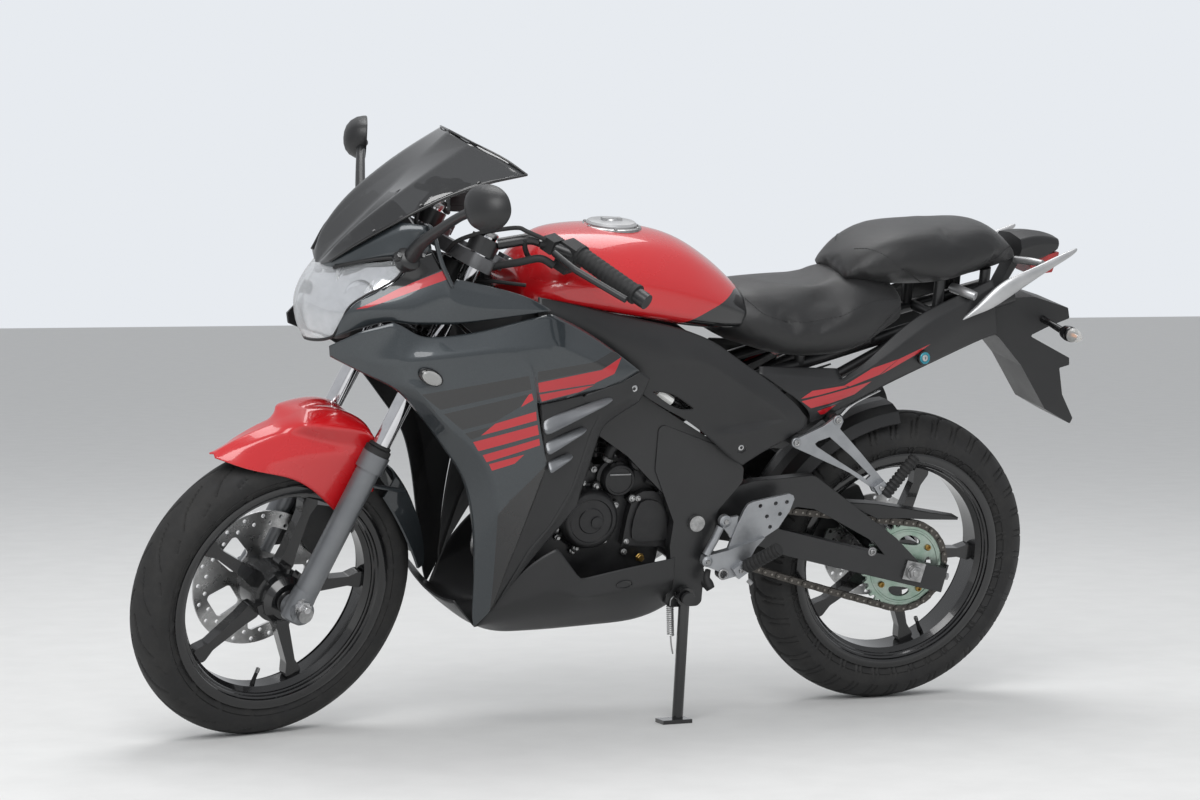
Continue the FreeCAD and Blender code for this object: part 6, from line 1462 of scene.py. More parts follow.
def draw_side_covers():
    """The black side covers below the tank, with their slot and recess, and what shows behind."""
    form = Form()
    corner = form.net(SIDE_COVER, SIDE_COVER_PATCHES)
    form.sharpen(corner, ["j4 k3 l2", "j4 j5 k4 l2"], 0.75)
    form.sharpen(corner, ["f2 g2 h2 i2 j2 k2 l2", "c0 c1 d2"], 0.4)
    form.sharpen_rim(0.95)
    form = refined(form, 3)
    form.both_sides()
    make_piece("side_covers_moulded", form, MACHINE, ["satin_black_plastic"],
               ["side_covers"], solid=2.8, smooth=30)
    form = Form()
    form.tube([(-610, -158, 693), (-596, -158, 693)], 7, 10, 1)
    form.tube([(-617, -158, 708), (-586, -157, 687)], 10, 8, 1)
    form.tube([(-591, -156, 692), (-552, -152, 672), (-501, -140, 642)], 5, 8, 0, 4)
    spot = (-430, -160, 592)
    form.lathe([(-3, 12.5), (2.6, 12.5), (3.6, 11.5), (3.2, 10.5), (-2, 10.2), (-2.2, 0.1)], spot,
               (0, -1, 0), 30, 0)
    form.lathe([(-2, 6.5), (3.0, 6.5), (4.4, 5.0), (4.6, 3), (1, 2.8), (1, 0.1)],
               Vector(spot) + Vector((-1, 0, 0)), (0, -1, 0), 22, 2)
    form.both_sides()
    make_piece("side_cover_fittings", form, MACHINE, ["gloss_black_plastic", "warm_white", "bright_steel"],
               smooth=40)


def washer_bolts(form, spots, radius, slot):
    """Hexagon flange bolts standing out to the left."""
    for spot in spots:
        form.lathe([(-4, radius * 1.45), (1, radius * 1.45), (1.6, radius * 1.2)], spot, (0, -1, 0), 18, slot)
        form.lathe([(1, radius), (5.0, radius), (5.8, radius * 0.8)], spot, (0, -1, 0), 6, slot)


def draw_engine():
    """The left engine covers with their steps, ribs and bolts, pipes and cylinder fins."""
    form = Form()
    stator, round_cover = (-723, -92, 445), (-664, -92, 521)
    form.lathe([(-2, 66), (6, 66), (8, 62), (26, 60), (38, 56), (43, 50), (44, 44), (41, 42), (41, 26),
                (43, 24), (44, 0.1)], stator, (0, -1, 0), 72)
    form.lathe([(42, 12), (47, 12), (48, 10), (48, 0.1)], Vector(stator) + Vector((11, 0, -3)), (0, -1, 0),
               30)
    form.lathe([(-2, 40), (8, 40), (10, 34), (24, 33), (29, 30), (30, 26), (28, 25), (28, 0.1)], round_cover,
               (0, -1, 0), 56)
    form.tube([Vector(round_cover) + Vector((x, -29, 12)) for x in (-22, 22)], 2.0, 8, 1)
    for turn in (20, 75, 130, 200, 255, 310):
        way = Vector((math.cos(math.radians(turn)), 0, math.sin(math.radians(turn))))
        spot = Vector(stator) + way * 64
        form.lathe([(-2, 9.5), (14, 9.5), (15, 8.5)], spot, (0, -1, 0), 18)
        washer_bolts(form, [spot + Vector((0, -14.5, 0))], 4.2, 1)
    washer_bolts(form, [(-673, -110, 535), (-609, -112, 541), (-631, -112, 481)], 4.6, 1)
    for spot in ((-672, -108, 535), (-608, -110, 540), (-630, -110, 480)):
        form.lathe([(-22, 10), (1, 10), (2, 9)], spot, (0, -1, 0), 18)
    # Sprocket cover
    base = [(-623, -110, 488), (-557, -110, 479), (-538, -110, 387), (-566, -110, 381), (-636, -110, 387),
            (-644, -110, 398)]
    step = [(-615, -118, 473), (-568, -118, 466), (-554, -118, 403), (-575, -118, 396), (-627, -118, 402)]
    form.prism(smooth_line(base, 4, True), -92, -112)
    form.prism(smooth_line(step, 4, True), -110, -118)
    washer_bolts(form, [(-619, -113, 481), (-557, -113, 473), (-545, -113, 392), (-637, -113, 394)], 4.0, 1)
    form.lathe([(0, 9), (3, 9), (4, 7.5), (9, 7.5), (10, 6)], (-601, -100, 357), (0, -1, 0), 6, 2)
    washer_bolts(form, [(-777, -100, 404), (-744, -100, 375), (-635, -100, 369), (-732, -100, 512),
                        (-711, -100, 539)], 4.4, 1)
    # Elbow and pipes above the covers
    form.tube([(-682, -96, 556), (-680, -104, 582), (-659, -104, 592), (-626, -96, 582)], 11, 14, 0, 5)
    form.lathe([(-4, 15), (4, 15), (5, 13)], (-680, -98, 563), (0.2, -0.5, 1), 24, 1)
    form.lathe([(0, 20), (26, 20), (30, 17), (32, 10), (32, 0.1)], (-622, -84, 556), (0, -1, 0), 36)
    form.tube([(-714, -90, 541), (-734, -88, 569), (-729, -80, 594)], 8, 12, 3, 4)
    form.tube([(-598, -96, 512), (-573, -108, 507), (-544, -104, 491), (-521, -84, 450)], 7, 12, 3, 4)
    make_piece("engine_covers_left", form, MACHINE, ["engine_black", "plated_steel", "brass_fitting",
                                                     "soft_rubber"],
               ["left_engine_covers"], smooth=34)
    form = Form()
    for index in range(15):
        z = 566 + index * 10.5
        lean = (z - 540) * 0.05
        form.block((-737 - lean, 0, z), (132, 152, 2.6), 0)
    for y in (-66, 66):
        for x in (-784, -694):
            form.lathe([(0, 8), (160, 8)], (x - 2, y, 556), (-0.05, 0, 1), 14)
    make_piece("cylinder_fins", form, MACHINE, ["engine_black"], bevel=0.6, smooth=40)


def draw_frame():
    """Weld beads, pivot caps and bolts of the frame."""
    form = Form()
    rng = random.Random(5)
    seam = smooth_line([(-544, -132, 630), (-552, -132, 615), (-559, -132, 599), (-574, -132, 572),
                        (-587, -132, 550)], 9)
    form.tube([point + Vector((rng.uniform(-0.8, 0.8), 0, rng.uniform(-0.8, 0.8))) for point in seam],
              [rng.uniform(2.0, 3.2) for point in seam], 8, 1)
    form.both_sides()
    pivot = (-500, -132, 431)
    for side in (1, -1):
        spot = sided(pivot, side)
        form.lathe([(-30, 24), (2, 24), (4, 22), (5, 17), (2, 15), (2, 0.1)], spot, (0, -side, 0), 40, 2)
        form.lathe([(2, 12), (9, 12), (11, 10), (11, 6), (8, 5.5), (8, 0.1)], spot, (0, -side, 0), 6, 1)
    hole = (-519, -132, 333)
    form.lathe([(-6, 10), (1.5, 10), (2.5, 8.5), (1.0, 7), (-4, 6.5), (-4, 0.1)], hole, (0, -1, 0), 24, 0)
    make_piece("frame_details", form, MACHINE, ["satin_enamel", "plated_steel", "black_enamel"],
               smooth=40)


def coil(form, start, end, radius, wire, turns, slot=0, sides=8, steps=14):
    """A coil spring between two points."""
    start, end = Vector(start), Vector(end)
    way = (end - start).normalized()
    side = way.orthogonal().normalized()
    up = way.cross(side)
    count = int(turns * steps)
    points = []
    for index in range(count + 1):
        turn = 2 * math.pi * index / steps
        points.append(start.lerp(end, index / count) + radius * (side * math.cos(turn) + up * math.sin(turn)))
    form.tube(points, wire, sides, slot)


def draw_springs():
    """The coils of the rear spring unit with their seats."""
    form = Form()
    top, foot = Vector((-418, 0, 686)), Vector((-397, 0, 500))
    coil(form, foot, top, 31, 6.0, 7.5, 0, 12, 22)
    form.lathe([(-4, 36), (4, 36), (6, 30)], foot, (top - foot), 32, 1)
    form.lathe([(-6, 30), (-4, 36), (4, 36)], top, (top - foot), 32, 1)
    make_piece("rear_spring_coils", form, MACHINE, ["spring_red", "black_enamel"], smooth=60)


# Tail


TAIL = {
    "p0": (-387, -122, 745), "p1": (-300, -122, 741), "p2": (-216, -122, 737), "f0": (-393, -134, 732),
    "q1": (-307, -140, 724), "u0": (-212, -139, 720), "u1": (-169, -134, 745), "u2": (-140, -128, 767),
    "u3": (-87, -116, 809), "u4": (-33, -105, 843), "u5": (38, -95, 870), "u6": (96, -89, 891),
    "u7": (133, -86, 907), "m0": (-211, -148, 714), "m1": (-169, -146, 736), "m2": (-126, -141, 759),
    "m3": (-78, -134, 788), "m4": (-17, -123, 829), "m5": (42, -113, 854), "m6": (96, -104, 876),
    "m7": (133, -98, 895), "c0": (-332, -146, 695), "c1": (-281, -149, 700), "c2": (-247, -150, 705),
    "n0": (-305, -149, 679), "n1": (-241, -151, 683), "n2": (-187, -149, 700), "n3": (-133, -145, 727),
    "n4": (-72, -137, 755), "n5": (-6, -127, 786), "n6": (61, -116, 818), "n7": (103, -106, 830),
    "n8": (143, -99, 845), "k0": (-279, -147, 654), "k1": (-275, -138, 629), "b1": (-215, -136, 653),
    "b2": (-176, -133, 670), "b3": (-124, -128, 695), "b4": (-63, -121, 719), "b5": (7, -112, 745),
    "b6": (74, -103, 770), "b7": (134, -95, 791), "b8": (156, -90, 793),
}
TAIL_PATCHES = [
    "p0 f0 q1 p1", "p1 q1 u0 p2", "f0 c0 c1 q1", "q1 c1 c2 u0", "u0 c2 m0", "c0 n0 n1 c2 c1", "c2 n1 n2 m0",
    "u0 m0 m1 u1", "u1 m1 m2 u2", "u2 m2 m3 u3", "u3 m3 m4 u4", "u4 m4 m5 u5", "u5 m5 m6 u6", "u6 m6 m7 u7",
    "m0 n2 n3 m2 m1", "m2 n3 n4 m3", "m3 n4 n5 m4", "m4 n5 n6 m5", "m5 n6 n7 m6", "m6 n7 n8 m7",
    "n0 k0 k1 b1 n1", "n1 b1 b2 n2", "n2 b2 b3 n3", "n3 b3 b4 n4", "n4 b4 b5 n5", "n5 b5 b6 n6",
    "n6 b6 b7 n7", "n7 b7 b8 n8",
]
TAIL_STRIPES = [
    ([(-303, -150, 683), (-280, -150, 699), (-211, -150, 708), (-203, -150, 705), (-265, -150, 690)], 1),
    ([(-211, -149, 708), (-150, -146, 741), (-90, -140, 757), (-131, -145, 727), (-198, -149, 706)], 1),
    ([(-89, -139, 757), (-15, -129, 784), (-47, -134, 764), (-129, -144, 726)], 1),
    ([(-301, -150, 678), (-148, -147, 714), (-183, -148, 688), (-239, -149, 671), (-278, -149, 663)], 1),
    ([(-266, -148, 659), (-206, -148, 676), (-230, -148, 667)], 2),
    ([(-262, -148, 656), (-221, -148, 668), (-243, -145, 649), (-253, -145, 648)], 1),
]


def draw_tail(settings):
    """The tail fairings with their stripes and the seat lock."""
    form = Form()
    corner = form.net(TAIL, TAIL_PATCHES)
    form.sharpen(corner, ["m0 m1 m2 m3 m4 m5 m6 m7"], 0.85)
    form.sharpen(corner, ["c0 c1 c2 m0", "f0 q1 u0"], 0.75)
    form.sharpen(corner, ["n5 n6 n7 n8"], 0.35)
    form.sharpen_rim(0.95)
    form = refined(form, 3)
    paint_stripes(form, TAIL_STRIPES)
    form.both_sides()
    make_piece("tail_fairings_moulded", form, MACHINE, ["satin_black_plastic", "red_stripe", "grey_line"],
               ["tail_fairing"], solid=settings.panel_wall, smooth=30)
    form = Form()
    spot = Vector((-29, -132, 757))
    way = Vector((0.12, -1, 0.12))
    form.lathe([(-6, 14.5), (1.6, 14.5), (2.2, 13.5), (2.0, 12.2), (0, 12.2)], spot, way, 36, 0)
    form.lathe([(-2, 12), (2.6, 12), (3.4, 11), (3.0, 7.4), (1, 7)], spot, way, 36, 1)
    form.lathe([(-2, 6.6), (3.0, 6.6), (3.6, 5.8), (3.6, 0.1)], spot, way, 30, 2)
    form.block(spot + way.normalized() * 3.7, (1.2, 0.8, 5.5), 0)
    make_piece("seat_lock", form, MACHINE, ["gloss_black_plastic", "lock_blue", "satin_silver"],
               smooth=40)


def draw_grab_rails():
    """Cast grab rails that widen from a point beside the seat."""
    form = Form()
    line = [((57, -112, 828), 2), ((86, -118, 851), 10), ((120, -126, 879), 27), ((159, -132, 905), 22),
            ((201, -133, 927), 15), ((246, -131, 951), 11), ((284, -128, 968), 8), ((299, -126, 976), 4)]
    rows = []
    for (x, y, z), half in line:
        thick = min(8.0, half * 0.7 + 1.0)
        rows.append([(x + a * half * 0.35, y + b * thick, z + c * half) for a, b, c in (
            (0, -1, 0), (0.2, -0.8, 0.6), (0.35, -0.2, 1.0), (0.3, 0.6, 0.95), (0, 1, 0), (-0.3, 0.6, -0.95),
            (-0.35, -0.2, -1.0), (-0.2, -0.8, -0.6))])
    form.skin(rows, 0, True, True, True)
    form = refined(form, 2)
    form.tube([(60, -58, 884), (64, -100, 884), (78, -122, 880)], [10, 10, 9], 16, 0, 4)
    form.tube([(206, -46, 938), (214, -90, 944), (224, -122, 946)], [8, 8, 7], 14, 0, 4)
    form.both_sides()
    make_piece("grab_rails_cast", form, MACHINE, ["satin_silver"], ["grab_rails"],
               smooth=50)


def draw_rear_indicators():
    """Rear indicators on stalks, with a clear lens over an amber bulb, and flush front ones."""
    form = Form()
    way = Vector((0.16, -1, -0.04)).normalized()
    start = Vector((295, -110, 803))
    form.tube([(275, -62.5, 817), (282, -84, 812), (295, -112, 803)], [7.5, 6.5, 7.5], 16, 0, 5)
    form.lathe([(-3, 5), (0, 9), (8, 13.5), (20, 16), (32, 15.6), (33, 14.6), (32, 13)], start, way, 36, 0)
    form.lathe([(30, 15.2), (36, 15), (48, 12), (57, 7), (60, 1)], start, way, 36, 1)
    form.lathe([(24, 4), (38, 4.4), (44, 3), (46, 0.6)], start, way, 16, 2)
    form.both_sides()
    make_piece("rear_indicators_dressed", form, MACHINE, ["gloss_black_plastic", "indicator_lens",
                                                          "amber_bulb"],
               ["rear_indicators"], smooth=50)
    form = Form()
    spot = Vector((-1103, -228, 762))
    for slot, grow, out in ((0, 1.0, 0), (1, 0.86, 2.2)):
        rows = []
        for rise, spread in ((-6, 1.0), (1, 1.0), (5, 0.9), (8, 0.6), (9, 0.1)):
            reach = grow * spread
            rows.append([spot + Vector((24 * reach * math.cos(a), -rise - out,
                                        16 * reach * math.sin(a) - 7 * reach * math.cos(a)))
                         for a in round_turns(28)])
        form.skin(rows, slot, True, False, True)
    form.both_sides()
    make_piece("front_indicators", form, MACHINE, ["gloss_black_plastic", "indicator_lens"],
               smooth=50)


# Footrests and hangers


def plate(form, outline, near, far, holes=()):
    """A flat plate with holes, from places in side view; a hole is (centre, radius) or an outline."""
    loops = [outline]
    for hole in holes:
        if isinstance(hole[1], (int, float)):
            centre, radius = hole
            hole = [(centre[0] + radius * math.cos(a), 0, centre[2] + radius * math.sin(a))
                    for a in round_turns(16)]
        loops.append(hole)
    edges = []
    for loop in loops:
        verts = form.verts([(p[0], near, p[-1]) for p in loop])
        edges += [form.mesh.edges.new((a, b)) for a, b in zip(verts, verts[1:] + verts[:1])]
    filled = bmesh.ops.triangle_fill(form.mesh, edges=edges, use_beauty=True)["geom"]
    faces = [item for item in filled if isinstance(item, bmesh.types.BMFace)]
    raised = bmesh.ops.extrude_face_region(form.mesh, geom=faces)["geom"]
    for item in raised:
        if isinstance(item, bmesh.types.BMVert):
            item.co.y += far - near


def rubber_peg(form, start, end, radius, ribs, slot):
    """A ribbed rubber footrest."""
    start, end = Vector(start), Vector(end)
    length = (end - start).length
    profile = [(0, radius * 0.7)]
    for index in range(ribs):
        low = 2 + (length - 6) * index / ribs
        step = (length - 6) / ribs
        profile += [(low, radius * 0.84), (low + step * 0.25, radius), (low + step * 0.7, radius),
                    (low + step * 0.9, radius * 0.84)]
    profile += [(length - 3, radius * 0.95), (length, radius * 0.6)]
    form.lathe(profile, start, end - start, 20, slot)


def draw_footrests():
    """Footrest hangers with their holes, the gear link, the pegs and the pillion brackets."""
    form = Form()
    upper = [(-404, -160, 475), (-393, -160, 480), (-316, -160, 494), (-307, -160, 490), (-304, -160, 483),
             (-312, -160, 458), (-334, -160, 424), (-361, -160, 407), (-441, -160, 381), (-434, -160, 404),
             (-425, -160, 430), (-411, -160, 464)]
    holes = [(spot, 4.2) for spot in ((-377, -160, 471), (-344, -160, 475), (-320, -160, 477),
                                      (-361, -160, 449), (-333, -160, 453), (-352, -160, 427))]
    plate(form, upper, -155, -162, holes)
    lower = [(-445, -168, 385), (-365, -168, 409), (-383, -168, 389), (-395, -168, 366), (-400, -168, 351),
             (-423, -168, 331), (-444, -168, 326), (-460, -168, 343), (-487, -168, 354), (-496, -168, 363),
             (-494, -168, 374)]
    plate(form, lower, -156, -172)
    arm = [(-440, -158, 448), (-421, -158, 451), (-423, -158, 429), (-432, -158, 404), (-440, -158, 415),
           (-459, -158, 436)]
    plate(form, arm, -150, -158)
    form.tube([(-462, -166, 433), (-472, -166, 408), (-488, -166, 377)], 8, 14)
    for spot, radius in (((-450, -160, 442), 10.5), ((-487, -171, 365), 9.0)):
        form.lathe([(-8, radius + 2), (3, radius + 2), (4, radius), (6, radius * 0.7), (6, radius * 0.4),
                    (3, 0.1)],
                   spot, (0, -1, 0), 26, 0)
        form.hexagon(Vector(spot) + Vector((0, -4, 0)), (0, -1, 0), radius * 0.55, 5, 1)
    form.lathe([(-14, 11.5), (4, 11.5), (5, 10.5), (5, 8.0), (-6, 7.6)], (-450, -170, 337), (0, -1, 0), 30, 1)
    form.lathe([(-8, 7.4), (2, 7.4), (2, 0.1)], (-450, -170, 337), (0, -1, 0), 20, 3)
    peg = Vector((-417, -176, 346))
    form.block(peg, (26, 16, 24), 0, Matrix.Rotation(math.radians(-35), 3, "Y"))
    form.bolt(peg + Vector((0, -8, 0)), (0, -1, 0), 5, 4, 1)
    tip = Vector((-363, -236, 406))
    form.both_sides()
    rubber_peg(form, (-408, -182, 352), tip, 14, 9, 2)
    rubber_peg(form, mirrored((-408, -182, 352)), mirrored(tip), 14, 9, 2)
    form.tube([(-478, -160, 343), (-484, -170, 329), (-479, -178, 314)], [6, 7, 8], 12, 2, 4)
    form.tube([(-393, -168, 321), (-386, -172, 314)], 5, 10, 1)
    make_piece("footrest_hangers", form, MACHINE, ["bracket_silver", "plated_steel", "soft_rubber",
                                                   "black_enamel"],
               ["footrest_brackets", "footrests"], bevel=0.9, smooth=34)
    form = Form()
    outer = [(-320, -160, 596), (-317, -160, 604), (-309, -160, 607), (-256, -160, 630), (-233, -160, 646),
             (-226, -160, 649), (-217, -160, 648), (-213, -160, 639), (-219, -160, 624), (-166, -160, 572),
             (-115, -160, 519), (-99, -160, 504), (-108, -160, 484), (-132, -160, 492),
             (-138, -160, 502), (-190, -160, 534), (-300, -160, 582), (-312, -160, 587), (-318, -160, 590)]
    gap = [(-271, -160, 595), (-265, -160, 600), (-240, -160, 608), (-187, -160, 566), (-141, -160, 525),
           (-149, -160, 517), (-161, -160, 526), (-215, -160, 558), (-266, -160, 589)]
    plate(form, outer, -156, -164, [gap])
    form.both_sides()
    for side in (1, -1):
        for spot in ((-313, -164, 599), (-226, -164, 642)):
            spot = sided(spot, side)
            form.lathe([(-3, 10), (2, 10), (3, 8.6)], spot, (0, -side, 0), 24, 0)
            form.bolt(spot + Vector((0, -2 * side, 0)), (0, -side, 0), 6.6, 5, 1)
        form.block(sided((-121, -170, 503), side), (24, 14, 20), 0,
                   Matrix.Rotation(math.radians(-35), 3, "Y"))
        form.bolt(sided((-121, -177, 503), side), (0, -side, 0), 5, 4, 1)
        rubber_peg(form, sided((-112, -176, 487), side), sided((-50, -176, 566), side), 12.5, 11, 2)
    make_piece("pillion_brackets", form, MACHINE, ["bracket_silver", "plated_steel", "soft_rubber"],
               bevel=0.9, smooth=34)


# Chain, rear hub, stand and small parts


# The chain: its pitch, how far across it runs, and the radius of its line round each sprocket.
CHAIN_PITCH = 15.875
CHAIN_ACROSS = -80
SMALL_RADIUS, LARGE_RADIUS = 36, 91
CHAIN_SAG = 7


def side_way(angle):
    """The direction at an angle in side view."""
    return Vector((math.cos(angle), 0, math.sin(angle)))


def chain_line():
    """The closed line of the chain, from the front sprocket along the upper run and back below."""
    small, large = Vector((-567, CHAIN_ACROSS, 436)), Vector((REAR_HUB[0], CHAIN_ACROSS, REAR_HUB[2]))
    way = large - small
    slope = math.atan2(way.z, way.x)
    lean = math.asin((LARGE_RADIUS - SMALL_RADIUS) / way.length)
    line = []
    for step in range(241):
        part = step / 240
        if part < 0.36:
            out = side_way(slope + math.pi / 2 + lean)
            line.append((small + out * SMALL_RADIUS).lerp(large + out * LARGE_RADIUS, part / 0.36))
        elif part < 0.56:
            out = side_way(slope + math.pi / 2 + lean - (math.pi + 2 * lean) * (part - 0.36) / 0.20)
            line.append(large + out * LARGE_RADIUS)
        elif part < 0.92:
            out, share = side_way(slope - math.pi / 2 - lean), (part - 0.56) / 0.36
            sag = Vector((0, 0, -CHAIN_SAG * math.sin(math.pi * share)))
            line.append((large + out * LARGE_RADIUS).lerp(small + out * SMALL_RADIUS, share) + sag)
        else:
            out = side_way(slope - math.pi / 2 - lean - (math.pi - 2 * lean) * (part - 0.92) / 0.08)
            line.append(small + out * SMALL_RADIUS)
    return line


def chain_pins():
    """The middle of each pin, evenly along the chain; inner and outer links take turns, so they are even."""
    line = chain_line()
    reach = [0.0]
    for start, end in zip(line, line[1:]):
        reach.append(reach[-1] + (end - start).length)
    count = int(reach[-1] / CHAIN_PITCH / 2) * 2
    pins, place = [], 0
    for index in range(count):
        target = reach[-1] * index / count
        while place < len(reach) - 2 and reach[place + 1] < target:
            place += 1
        share = (target - reach[place]) / max(1e-6, reach[place + 1] - reach[place])
        pins.append(line[place].lerp(line[place + 1], share))
    return pins


def draw_chain():
    """The drive chain link by link round both sprockets."""
    pins = chain_pins()
    form = Form()
    for index, pin in enumerate(pins):
        after = pins[(index + 1) % len(pins)]
        run = (after - pin).normalized()
        up = Vector((-run.z, 0, run.x))
        outline = []
        for centre, first in ((after, 90), (pin, 270)):
            for step in range(4):
                a = math.radians(first - 60 * step)
                outline.append(centre + 6.6 * (run * math.cos(a) + up * math.sin(a)))
        wide = 7.6 if index % 2 else 5.6
        for side in (-1, 1):
            near, far = sorted(((wide - 1.7) * side, wide * side))
            form.prism(outline, CHAIN_ACROSS + near, CHAIN_ACROSS + far)
        form.lathe([(-5, 4.6), (5, 4.6)], pin, (0, 1, 0), 8, 1)
        form.lathe([(-8.6, 2.4), (8.6, 2.4)], pin, (0, 1, 0), 6, 1)
    make_piece("drive_chain_links", form, MACHINE, ["chain_dark", "chain_steel"], ["drive_chain"],
               smooth=40, weld=0)


def draw_rear_hub():
    """Axle nut, chain adjusters, end caps and bolts of the swingarm."""
    form = Form()
    for side in (1, -1):
        axle = Vector((0, -124 * side, 307))
        form.block(axle + Vector((2, 3 * side, 0)), (44, 6, 40), 0, Matrix.Rotation(math.radians(13), 3, "Y"))
        form.lathe([(-2, 17), (3, 17), (4, 15.5)], axle, (0, -side, 0), 28, 0)
        form.hexagon(axle + Vector((0, -4 * side, 0)), (0, -side, 0), 14, 9, 0)
        form.lathe([(9, 8), (14, 8), (15, 7)], axle, (0, -side, 0), 20, 0)
        form.tube([(24, -104 * side, 302), (92, -104 * side, 286)], 4.2, 12, 0)
        form.lathe([(0, 8), (7, 8)], (84, -104 * side, 288), (1, 0, -0.23), 6, 0)
        form.block((77, -104 * side, 290), (5, 25, 52), 1, Matrix.Rotation(math.radians(13), 3, "Y"))
        form.lathe([(-3, 9.5), (2, 9.5), (3, 8)], (-96, -117 * side, 352), (0, -side, 0), 24, 0)
        form.bolt((-96, -119 * side, 352), (0, -side, 0), 6.4, 5, 0)
    make_piece("rear_hub_fittings", form, MACHINE, ["plated_steel", "black_enamel"], bevel=0.5,
               smooth=36)


def draw_stand_details():
    """The spring and the switch of the side stand, and its pivot bolt."""
    form = Form()
    pivot = Vector((-513, -150, 281))
    form.lathe([(-20, 12), (3, 12), (4, 10), (8, 9), (9, 7)], pivot, (0, -1, 0), 26, 1)
    form.lathe([(8, 7.5), (12, 7.5), (13, 6)], pivot, (0, -1, 0), 6, 0)
    top, foot = Vector((-547, -146, 268)), Vector((-546, -158, 211))
    coil(form, top, foot, 6.2, 1.5, 15, 0, 6, 12)
    form.tube([foot, (-544, -160, 193), (-540, -162, 174)], 1.6, 8, 0, 4)
    form.tube([top, (-545, -144, 281), (-534, -142, 289)], 1.6, 8, 0, 4)
    make_piece("stand_spring", form, MACHINE, ["plated_steel", "black_enamel"], smooth=50)
    form = Form()
    form.tube([(-481, -128, 314), (-469, -140, 310), (-462, -146, 299)], [10, 12, 9], 14, 0, 4)
    form.tube([(-468, -136, 320), (-475, -130, 330), (-488, -120, 344)], 3.5, 8, 0, 4)
    make_piece("stand_switch", form, MACHINE, ["rough_black_plastic"], smooth=50)


def draw_small_parts():
    """Belly pan bolts and slots, the wing bolts, and the strip under the tail."""
    form = Form()
    for side in (1, -1):
        spot = sided((-580, -166, 349), side)
        form.lathe([(-2, 10), (1.4, 10), (1.8, 9), (0.6, 8.4)], spot, (0, -side, 0), 28, 0)
        form.lathe([(-1, 6.2), (3, 6.2), (4.4, 4.4), (4.6, 2.6), (2.5, 2.4), (2.5, 0.1)], spot,
                   (0, -side, 0), 22, 1)
        hole = (-662, -178, 328)
        rows = []
        for rise, spread in ((-2, 1.0), (1.2, 1.0), (1.5, 0.94), (-1.5, 0.86), (-2, 0.05)):
            rows.append([(hole[0] + 17 * spread * math.cos(a), (hole[1] - rise) * side,
                          hole[2] + 7.5 * spread * math.sin(a) + 1.5 * spread * math.cos(a))
                         for a in round_turns(28)])
        form.skin(rows, 0, True, False, True)
        wing = sided((-689, -208, 728), side)
        form.lathe([(-2, 11.5), (1.5, 11.5), (2, 10.5), (0.5, 9.8)], wing, (0, -side, 0), 28, 0)
        form.lathe([(-1, 7.4), (3, 7.4), (4.6, 5.2), (4.8, 3.2), (2.6, 3), (2.6, 0.1)], wing, (0, -side, 0),
                   22, 1)
        strip = [(-197, -120, 640), (-176, -120, 661), (-144, -116, 675), (-111, -112, 687)]
        form.tube([sided(point, side) for point in strip], [3.2, 3.6, 3.0, 2.0], 8, 1, 5)
    make_piece("panel_bolts", form, MACHINE, ["gloss_black_plastic", "bright_steel"], smooth=40)


# Bars


def draw_grips():
    """Ribbed grips with their collars and end weights."""
    form = Form()
    for side in (1, -1):
        start, end = Vector((-856, -220 * side, 1003)), Vector((-812, -360 * side, 963))
        profile = [(-6, 12), (-6, 20.5), (-1, 20.5), (1, 17)]
        for index in range(11):
            at = 3 + index * 11.5
            profile += [(at, 16.6), (at + 3, 17.6), (at + 8, 17.6), (at + 11, 16.6)]
        profile += [(131, 17), (133, 20), (139, 20), (141, 16)]
        form.lathe(profile, start, end - start, 30, 0)
        form.lathe([(140, 15.5), (158, 15.5), (161, 13), (162, 8), (160, 7.4), (160, 0.1)], start,
                   end - start, 30, 1)
    make_piece("grips_ribbed", form, STEERED, ["soft_rubber", "satin_enamel"], ["handlebar_grips"],
               smooth=36)


def draw_switches():
    """Switch housings with their buttons, and the perches of the levers."""
    form = Form()
    for side in (1, -1):
        axis = (Vector((-812, -360 * side, 963)) - Vector((-862, -218 * side, 1003))).normalized()
        root = Vector((-868, -196 * side, 1005))
        turn = axis.to_track_quat("Y", "Z").to_matrix()
        form.block(root + Vector((4, 0, -6)), (40, 38, 46), 0, turn)
        form.block(root + Vector((-4, 8 * side, -30)), (28, 30, 18), 0, turn)
        form.lathe([(0, 7), (4, 7), (5, 5.5)], root + Vector((23, 4 * side, 2)), (1, 0, 0.3), 16, 1)
        form.block(root + Vector((23, -8 * side, -12)), (7, 12, 9), 1, turn)
        perch = Vector((-896, -176 * side, 1016))
        form.block(perch, (34, 26, 28), 0, turn)
        form.tube([perch, perch + Vector((-26, 6 * side, 2))], [10, 8], 14, 0)
        form.bolt(perch + Vector((-24, 4 * side, 8)), (0, 0, 1), 5, 5, 2)
    make_piece("switch_blocks", form, STEERED, ["rough_black_plastic", "gloss_black_plastic", "plated_steel"],
               ["switch_housings"], bevel=2.4, smooth=34)


